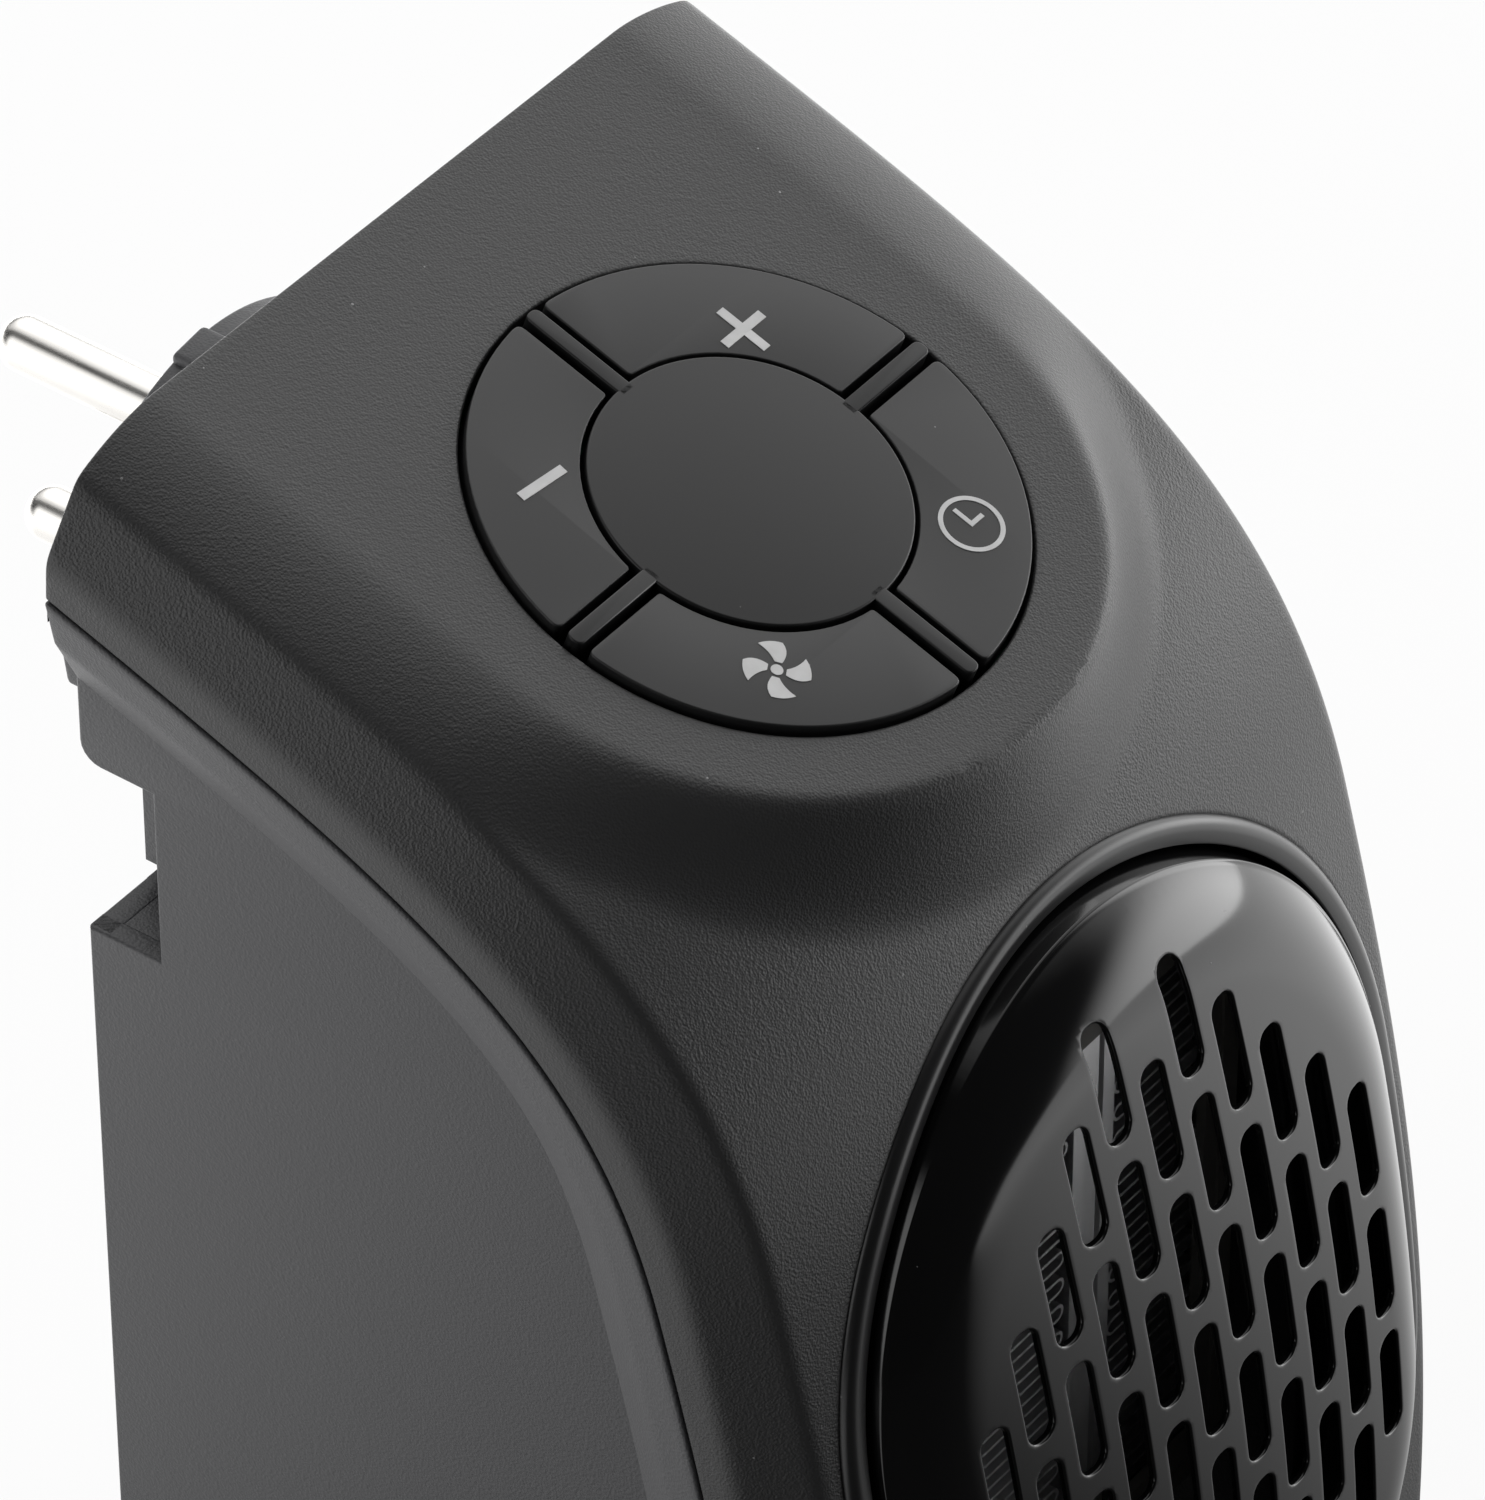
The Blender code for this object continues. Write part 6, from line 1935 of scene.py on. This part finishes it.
    def plus_icon(self) -> list[list[list[Pair]]]:
        """Two crossed bars in one outline."""
        return [[cross_outline(self.sign_span, self.sign_stroke)]]

    def fan_icon(self) -> list[list[list[Pair]]]:
        """Four curved blades about a small hub."""
        pieces = [[circle(0.0005, 20)]]
        for i in range(4):
            start = i * math.pi / 2
            shares = np.linspace(0, 1, 7)
            leading = [(0.0008 + 0.0019 * s, start + 0.15 + 0.35 * s * s) for s in shares]
            tip = [(0.0027, start + 0.5 + 0.75 * s) for s in shares[1:]]
            trailing = [(0.0027 - 0.0019 * s, start + 1.25 - 0.35 * s) for s in shares[1:]]
            blade = [(r * math.cos(t), r * math.sin(t)) for r, t in leading + tip + trailing]
            pieces.append([blade])
        return pieces

    def clock_icon(self) -> list[list[list[Pair]]]:
        """Ring with two hands in one outline."""
        b = 0.0002
        hands = [(-b, -b), (0.0014, -b), (0.0014, b), (b, b), (b, 0.0018), (-b, 0.0018)]
        return [[circle(0.0027, 48), circle(0.0023, 48)], [hands]]


@dataclass
class HeatingElement:
    """Two bright bars and three packs of thin folded fins between them."""

    finishes: Finishes
    front: float = -0.039
    back: float = -0.0276
    half_width: float = 0.025
    low: float = 0.04395
    high: float = 0.10195
    bar_width: float = 0.0055
    gap: float = 0.0003
    fold: float = 0.00146
    sheet: float = 0.0003

    def build(self) -> None:
        """Build the bars and the fins."""
        pack = (2 * self.half_width - 2 * self.bar_width - 4 * self.gap) / 3
        left = -self.half_width
        for name in ("left", "centre", "right"):
            self.build_fins(name, left + 0.0002, left + pack - 0.0002)
            left += pack + self.gap
            if name != "right":
                self.build_bar("left" if name == "left" else "right", left)
                left += self.bar_width + self.gap

    def build_bar(self, name: str, left: float) -> None:
        """Build one extruded bar with a groove down its front face.

        Args:
            name: the bar's side.
            left: x of its left edge.
        """
        right = left + self.bar_width
        front, back = self.front - 0.0003, self.back + 0.0003
        groove = 0.0003
        middle = (left + right) / 2
        outline = [
            (left, front), (middle - 0.0012, front), (middle - 0.0009, front + groove),
            (middle + 0.0009, front + groove), (middle + 0.0012, front), (right, front),
            (right, back), (left, back),
        ]
        skin = flat_piece([outline], self.low, self.high, Matrix.Identity(4), 0.00015, 2)
        make_piece(
            f"bar_{name}", skin, self.finishes.of(Slot.ALUMINIUM), Body.HOUSING,
            (f"ptc_bar_{name}",),
        )

    def fold_path(self, left: float, right: float) -> np.ndarray:
        """Serpentine path of one folded sheet in the front view.

        Args:
            left: x of the left turns.
            right: x of the right turns.

        Returns:
            Points as (x, z).
        """
        radius = self.fold / 2
        points: list[Pair] = []
        folds = int((self.high - self.low - self.fold) / self.fold)
        for i in range(folds):
            z = self.low + radius + i * self.fold
            rightwards = i % 2 == 0
            ends = (left + radius, right - radius)[:: 1 if rightwards else -1]
            points += [(ends[0] + (ends[1] - ends[0]) * k / 8, z) for k in range(9)]
            centre = (ends[1], z + radius)
            turn = 1 if rightwards else -1
            for k in range(1, 6):
                angle = -math.pi / 2 + turn * math.pi * k / 6
                across, up = radius * math.cos(angle), radius * math.sin(angle)
                points.append((centre[0] + across, centre[1] + up))
        return np.array(points)

    def build_fins(self, name: str, left: float, right: float) -> None:
        """Build one pack of fins.

        Args:
            name: the pack's name.
            left: x of its left edge.
            right: x of its right edge.
        """
        path = self.fold_path(left, right)
        along = unit(np.gradient(path, axis=0))
        aside = np.stack([-along[:, 1], along[:, 0]], axis=1) * self.sheet / 2
        count = len(path)
        skin = Skin()
        rings = []
        for y in (self.front, self.back):
            for offset in (aside, -aside):
                spots = path + offset
                rings.append(
                    skin.add_points(np.stack([spots[:, 0], np.full(count, y), spots[:, 1]], axis=1))
                )
        front_up, front_down, back_up, back_down = rings
        skin.bridge(front_down, front_up, False)
        skin.bridge(back_up, back_down, False)
        skin.bridge(front_up, back_up, False)
        skin.bridge(back_down, front_down, False)
        make_piece(
            f"fins_{name}", skin, self.finishes.of(Slot.ALUMINIUM), Body.HOUSING,
            (f"fin_pack_{name}",),
        )


@dataclass
class Plug:
    """Turning head with guide ribs and two round-ended pins."""

    finishes: Finishes
    back: float = 0.0222
    height: float = 0.1187
    turn: float = math.radians(6.4)
    radius: float = 0.019
    depth: float = 0.0171
    edge: float = 0.0008
    neck_radius: float = 0.015
    neck_end: float = -0.0068
    gap: float = 0.0003
    rib: Triple = (0.0042, 0.0034, 0.0016)
    rib_turn: float = math.radians(1.7)
    rim_wall: float = 0.0014
    pin_radius: float = 0.0024
    pin_length: float = 0.0222
    pin_tail: float = 0.0011
    spacing: float = 0.019

    def frame(self) -> Matrix:
        """Frame on the plug's axis at the back wall, turned with the plug."""
        place = Matrix.Translation((0, self.back, self.height))
        return place @ BACK_FRAME @ Matrix.Rotation(-self.turn, 4, "Z")

    def build(self) -> None:
        """Build the head and the pins."""
        frame = self.frame()
        holes = [
            circle(self.pin_radius + self.gap, 40, (0, side * self.spacing / 2)) for side in SIDES
        ]
        skin = flat_piece(
            [circle(self.radius, 128)] + holes, self.gap, self.depth, frame, self.edge * 0.6, 4
        )
        neck = [
            (0.0, self.gap * 2), (self.neck_radius, self.gap * 2),
            (self.neck_radius, self.neck_end), (0.0, self.neck_end),
        ]
        skin.add_skin(turned_piece(neck, frame, 96))
        width, thick, proud = self.rib
        rim = [circle(self.radius, 128), circle(self.radius - self.rim_wall, 128)]
        skin.add_skin(flat_piece(rim, self.depth - proud, self.depth + proud, frame, 0.0004, 3))
        outer = self.radius + self.rim_wall / 2
        for i in range(4):
            turn = frame @ Matrix.Rotation(i * math.pi / 2 - self.rib_turn, 4, "Z")
            corners = [
                (outer - thick, -width / 2), (outer, -width / 2), (outer, width / 2),
                (outer - thick, width / 2),
            ]
            outline = rounded_outline(corners, [0.0006] * 4, 3)
            skin.add_skin(
                flat_piece([outline], self.depth - proud, self.depth + proud, turn, 0.0005, 3)
            )
        make_piece(
            "swivel_head", skin, self.finishes.of(Slot.HOUSING), Body.PLUG,
            ("plug_head",),
        )
        for name, side in (("live", 1), ("neutral", -1)):
            tip = self.depth + self.pin_length
            profile = [
                (self.pin_radius * math.sin(t), tip - self.pin_radius * (1 - math.cos(t)))
                for t in np.linspace(0, math.pi / 2, 14)
            ]
            profile += [(self.pin_radius, self.pin_tail), (0.0, self.pin_tail)]
            place = frame @ Matrix.Translation((0, side * self.spacing / 2, 0))
            make_piece(
                f"pin_{name}", turned_piece(profile, place, 64), self.finishes.of(Slot.NICKEL),
                Body.PLUG, (f"plug_pin_{name}",),
            )


@dataclass
class RockerSwitch:
    """Switch frame in the right-hand wall and its rocker."""

    finishes: Finishes
    centre: Triple = (0.0393, 0.0032, 0.086)
    half: Pair = (0.0045, 0.0065)
    edge: float = 0.0018
    proud: float = 0.001
    gap: float = 0.0003
    box_depth: float = 0.010
    tilt: float = math.radians(8)
    face: float = 0.0012
    thickness: float = 0.0028
    clearance: float = 0.0006

    def build(self) -> None:
        """Build the frame and the rocker."""
        place = Matrix.Translation(self.centre) @ SIDE_FRAME
        half_y, half_z = self.half

        def outline(grow: float, corner: float) -> list[Pair]:
            """Outline of the frame, grown by a margin."""
            return slot_loop(0, 0, 2 * (half_y + grow), 2 * (half_z + grow), corner)

        low, outside = -self.box_depth, self.gap
        skin = flat_piece(
            [outline(self.edge, 0.0012), outline(-self.gap, 0.0004)], outside,
            outside + self.proud, place, 0.0003, 3,
        )
        skin.add_skin(flat_piece(
            [outline(self.edge / 2, 0.0004), outline(-self.gap, 0.0003)], low,
            outside + self.proud / 2, place,
        ))
        skin.add_skin(flat_piece([outline(self.edge / 2, 0.0004)], low, low + self.edge, place))
        make_piece(
            "switch_frame", skin, self.finishes.of(Slot.DARK), Body.HOUSING,
            ("rocker_frame",),
        )
        turn = Matrix.Translation(self.centre) @ Matrix.Rotation(self.tilt, 4, "Y")
        axes = Matrix(((0, 0, 1), (1, 0, 0), (0, 1, 0))).transposed().to_4x4()
        wide = half_y - self.gap - self.clearance / 2
        tall = half_z - self.gap - self.clearance
        rocker = flat_piece([self.side_outline(tall)], -wide, wide, turn @ axes, 0.0003, 3)
        make_piece(
            "rocker_key", rocker, self.finishes.of(Slot.KEYS), Body.ROCKER,
            ("power_rocker",),
        )

    def side_outline(self, tall: float) -> list[Pair]:
        """Side outline of the rocker with a dished face.

        Args:
            tall: half of its length.

        Returns:
            The outline.
        """
        top, dish = self.face, self.face / 2
        floor = top - self.thickness
        keel = floor - self.thickness
        face = [(tall * s, dish + (top - dish) * s * s) for s in np.linspace(1, -1, 17)]
        return [(-tall, floor / 2), (-tall / 3, keel), (tall / 3, keel), (tall, floor / 2)] + face


@dataclass
class Screws:
    """Pan-head screws in the back wall, with a cross recess."""

    finishes: Finishes
    head_radius: float = 0.0028
    head_height: float = 0.0014
    shank: Pair = (0.0013, 0.010)
    recess: Triple = (0.0034, 0.0006, 0.0008)
    face: float = 0.0225
    places: tuple[tuple[str, float, float], ...] = (
        ("upper_left", -0.028, 0.1445), ("upper_right", 0.028, 0.1445),
        ("lower_left", -0.028, 0.0068), ("lower_right", 0.028, 0.0068),
    )

    def build(self) -> None:
        """Build the four screws."""
        for name, x, z in self.places:
            frame = Matrix.Translation((x, self.face, z)) @ BACK_FRAME
            top = self.head_height
            dome = [
                (self.head_radius * math.sin(t), top * 0.35 + top * 0.65 * math.cos(t))
                for t in np.linspace(0, math.pi / 2, 9)
            ]
            profile = dome + [(self.head_radius, 0.0), (self.shank[0], 0.0),
                              (self.shank[0], -self.shank[1]), (0.0, -self.shank[1])]
            piece = make_piece(
                f"screw_{name}", turned_piece(profile, frame, 40), self.finishes.of(Slot.STEEL),
                Body.HOUSING, (f"housing_screw_{name}",),
            )
            self.cut_recess(piece, frame)

    def cut_recess(self, piece: bpy.types.Object, frame: Matrix) -> None:
        """Cut a cross into a screw's head.

        Args:
            piece: the screw.
            frame: the screw's frame.
        """
        reach, width, depth = self.recess
        cross = cross_outline(reach, width)
        turned = frame @ Matrix.Rotation(0.5, 4, "Z")
        skin = flat_piece([cross], self.head_height - depth, self.head_height * 2, turned)
        mesh = bpy.data.meshes.new("recess")
        mesh.from_pydata(skin.points, [], skin.faces)
        join_close_points(mesh, 1e-7)
        tool = bpy.data.objects.new("recess", mesh)
        bpy.context.scene.collection.objects.link(tool)
        cut = piece.modifiers.new("recess", "BOOLEAN")
        cut.operation = "DIFFERENCE"
        cut.object = tool
        apply_modifiers(piece)
        bpy.data.objects.remove(tool, do_unlink=True)
        piece.data.set_sharp_from_angle(angle=SMOOTH_ANGLE)


@dataclass
class InnerParts:
    """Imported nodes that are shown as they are, each with its own finish."""

    nodes: dict[str, bpy.types.Object]
    finishes: Finishes

    def dress(self) -> None:
        """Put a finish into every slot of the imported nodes."""
        by_name = {slot.value: slot for slot in Slot}
        for name, node in sorted(self.nodes.items()):
            for holder in node.material_slots:
                label = holder.material.name.split(".")[0] if holder.material else ""
                if label in by_name:
                    holder.material = self.finishes.of(by_name[label])
            LOG.info("%s keeps its solid", name)


@dataclass
class Studio:
    """Camera, a floor that glows to light the heater, a key lamp and white surroundings."""

    focal_pixels: float = 10447.0
    distance: float = 0.795
    shift: Pair = (0.0005, 0.0193)
    target: Triple = (0.0, -0.0123, 0.146)
    right: Triple = (0.5975, -0.8019, 0.0)
    up: Triple = (0.5165, 0.3848, 0.7647)
    behind: Triple = (-0.6132, -0.4569, 0.6441)
    image_height: float = 1500.0
    sensor: float = 36.0
    ambient: float = 0.03
    walls: tuple[tuple[Triple, Pair, float], ...] = (
        ((0.55, 0.25, 0.8), (0.6, 0.95), 1.2),
        ((-0.85, 0.43, 0.3), (0.85, 0.96), 2.2),
        ((0.84, -0.54, 0.0), (0.84, 0.97), 4.4),
        ((0.98, -0.1, 0.12), (0.65, 1.0), 2.2),
    )
    # Floor zones that glow for all but camera rays, lighting the heater from below and showing in
    # its reflections: direction, ramp span and strength.
    floor_glow_zones: tuple[tuple[Triple, Pair, float], ...] = (
        ((1.0, 0.1, 0.0), (0.0, 0.22), 2.4),
        ((-0.8, 1.0, 0.0), (0.03, 0.13), 1.4),
        ((0.1, 1.0, 0.0), (0.06, 0.22), 1.0),
    )

    def build(self) -> None:
        """Set up the whole studio."""
        self.place_camera()
        self.make_floor()
        self.add_lamp("key", (0.42, 0.75, 0.95), 1.4, 6.4)
        self.surround()

    def place_camera(self) -> None:
        """Place the camera at the photograph's viewpoint."""
        lens = bpy.data.cameras.new("camera")
        lens.sensor_width = self.sensor
        lens.lens = self.focal_pixels * self.sensor / self.image_height
        lens.clip_start = 0.05
        lens.clip_end = 20
        camera = bpy.data.objects.new("camera", lens)
        bpy.context.scene.collection.objects.link(camera)
        right, up = Vector(self.right).normalized(), Vector(self.up).normalized()
        behind = right.cross(up).normalized()
        up = behind.cross(right).normalized()
        place = (
            Vector(self.target) - right * self.shift[0] - up * self.shift[1]
            + behind * self.distance
        )
        turn = Matrix((right, up, behind)).transposed().to_4x4()
        camera.matrix_world = Matrix.Translation(place) @ turn
        bpy.context.scene.camera = camera

    def make_floor(self) -> None:
        """Make a pale floor that the camera sees as nearly white; for all other rays it is a darker
        grey that glows brighter to the right, back-left and back, and so lights the heater like a
        light table.
        """
        skin = Skin([(-6, -6, 0), (6, -6, 0), (6, 6, 0), (-6, 6, 0)], [(0, 1, 2, 3)])
        mesh = bpy.data.meshes.new("floor")
        mesh.from_pydata(skin.points, [], skin.faces)
        floor = bpy.data.objects.new("floor", mesh)
        bpy.context.scene.collection.objects.link(floor)
        material, graph, shader = start_material("pale_floor")
        shader.inputs["Roughness"].default_value = 0.9
        glow = graph.add("ShaderNodeEmission")
        glow.inputs["Color"].default_value = (1.0, 1.0, 1.0, 1.0)
        path = graph.add("ShaderNodeLightPath")
        camera = path.outputs["Is Camera Ray"]
        # The floor's grey is 0.85 for camera rays and 0.3 for other rays, so it shows darker in the
        # heater's reflections and bounced light than the camera sees it.
        tone = graph.maths("ADD", graph.maths("MULTIPLY", camera, 0.55), 0.3)
        graph.feed(shader, "Base Color", tone)
        hidden = graph.maths("SUBTRACT", 1.0, camera)
        strength = camera
        for way, span, power in self.floor_glow_zones:
            side = graph.maths("MULTIPLY", self.ramp(graph, "Object", way, span, power), hidden)
            strength = graph.maths("ADD", strength, side)
        graph.feed(glow, "Strength", strength)
        mix = graph.add("ShaderNodeMixShader")
        graph.feed(mix, 0, 0.85)
        graph.tree.links.new(shader.outputs[0], mix.inputs[1])
        graph.tree.links.new(glow.outputs[0], mix.inputs[2])
        graph.tree.links.new(mix.outputs[0], material.node_tree.nodes["Material Output"].inputs[0])
        mesh.materials.append(material)

    def add_lamp(self, name: str, place: Triple, size: float, power: float) -> None:
        """Add a soft area lamp that looks at the heater.

        Args:
            name: the lamp's name.
            place: where it hangs.
            size: its side.
            power: its power in watts.
        """
        light = bpy.data.lights.new(name, "AREA")
        light.shape = "SQUARE"
        light.size = size
        light.energy = power
        lamp = bpy.data.objects.new(name, light)
        bpy.context.scene.collection.objects.link(lamp)
        lamp.location = place
        away = Vector(place) - Vector((0.0, 0.0, 0.08))
        lamp.rotation_euler = away.to_track_quat("Z", "Y").to_euler()

    def ramp(
        self, graph: Graph, space: str, way: Triple, span: Pair, strength: float
    ) -> bpy.types.NodeSocket:
        """Value that grows smoothly along a direction.

        Args:
            graph: the graph to add to.
            space: the texture coordinate that is measured.
            way: the direction.
            span: where the ramp starts and ends.
            strength: the value past its end.

        Returns:
            The socket of the value.
        """
        along = graph.add("ShaderNodeVectorMath", operation="DOT_PRODUCT")
        graph.feed(along, 0, graph.add("ShaderNodeTexCoord").outputs[space])
        graph.feed(along, 1, way)
        ramp = graph.add("ShaderNodeMapRange", interpolation_type="SMOOTHSTEP")
        for place, value in enumerate((*span, 0.0, strength), 1):
            graph.feed(ramp, place, value)
        graph.feed(ramp, 0, along.outputs["Value"])
        return ramp.outputs[0]

    def surround(self) -> None:
        """Give the world white for the camera and walls of different brightness for the heater."""
        world = bpy.data.worlds.new("surroundings")
        bpy.context.scene.world = world
        world.use_nodes = True
        graph = Graph(world.node_tree)
        backdrop = world.node_tree.nodes["Background"]
        room = self.ambient
        for way, span, strength in self.walls:
            room = graph.maths("ADD", self.ramp(graph, "Generated", way, span, strength), room)
        camera = graph.add("ShaderNodeLightPath").outputs["Is Camera Ray"]
        hidden = graph.maths("SUBTRACT", 1.0, camera)
        strength = graph.maths("ADD", graph.maths("MULTIPLY", room, hidden), camera)
        graph.feed(backdrop, "Color", (1.0, 1.0, 1.0, 1.0))
        graph.feed(backdrop, "Strength", strength)


def main() -> None:
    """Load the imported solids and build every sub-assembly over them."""
    logging.basicConfig(level=logging.INFO, format="%(name)s %(message)s")
    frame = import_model()
    bpy.context.scene.view_settings.view_transform = "Standard"
    finishes = Finishes()
    finishes.build()
    line = SideProfile()
    Studio().build()
    InnerParts(frame["nodes"], finishes).dress()
    FrontShell(line, finishes).build()
    RearHousing(line, finishes).build()
    Grille(line, finishes).build()
    KeyRing(line, finishes).build()
    HeatingElement(finishes).build()
    Plug(finishes).build()
    RockerSwitch(finishes).build()
    Screws(finishes).build()


if __name__ == "__main__":
    main()
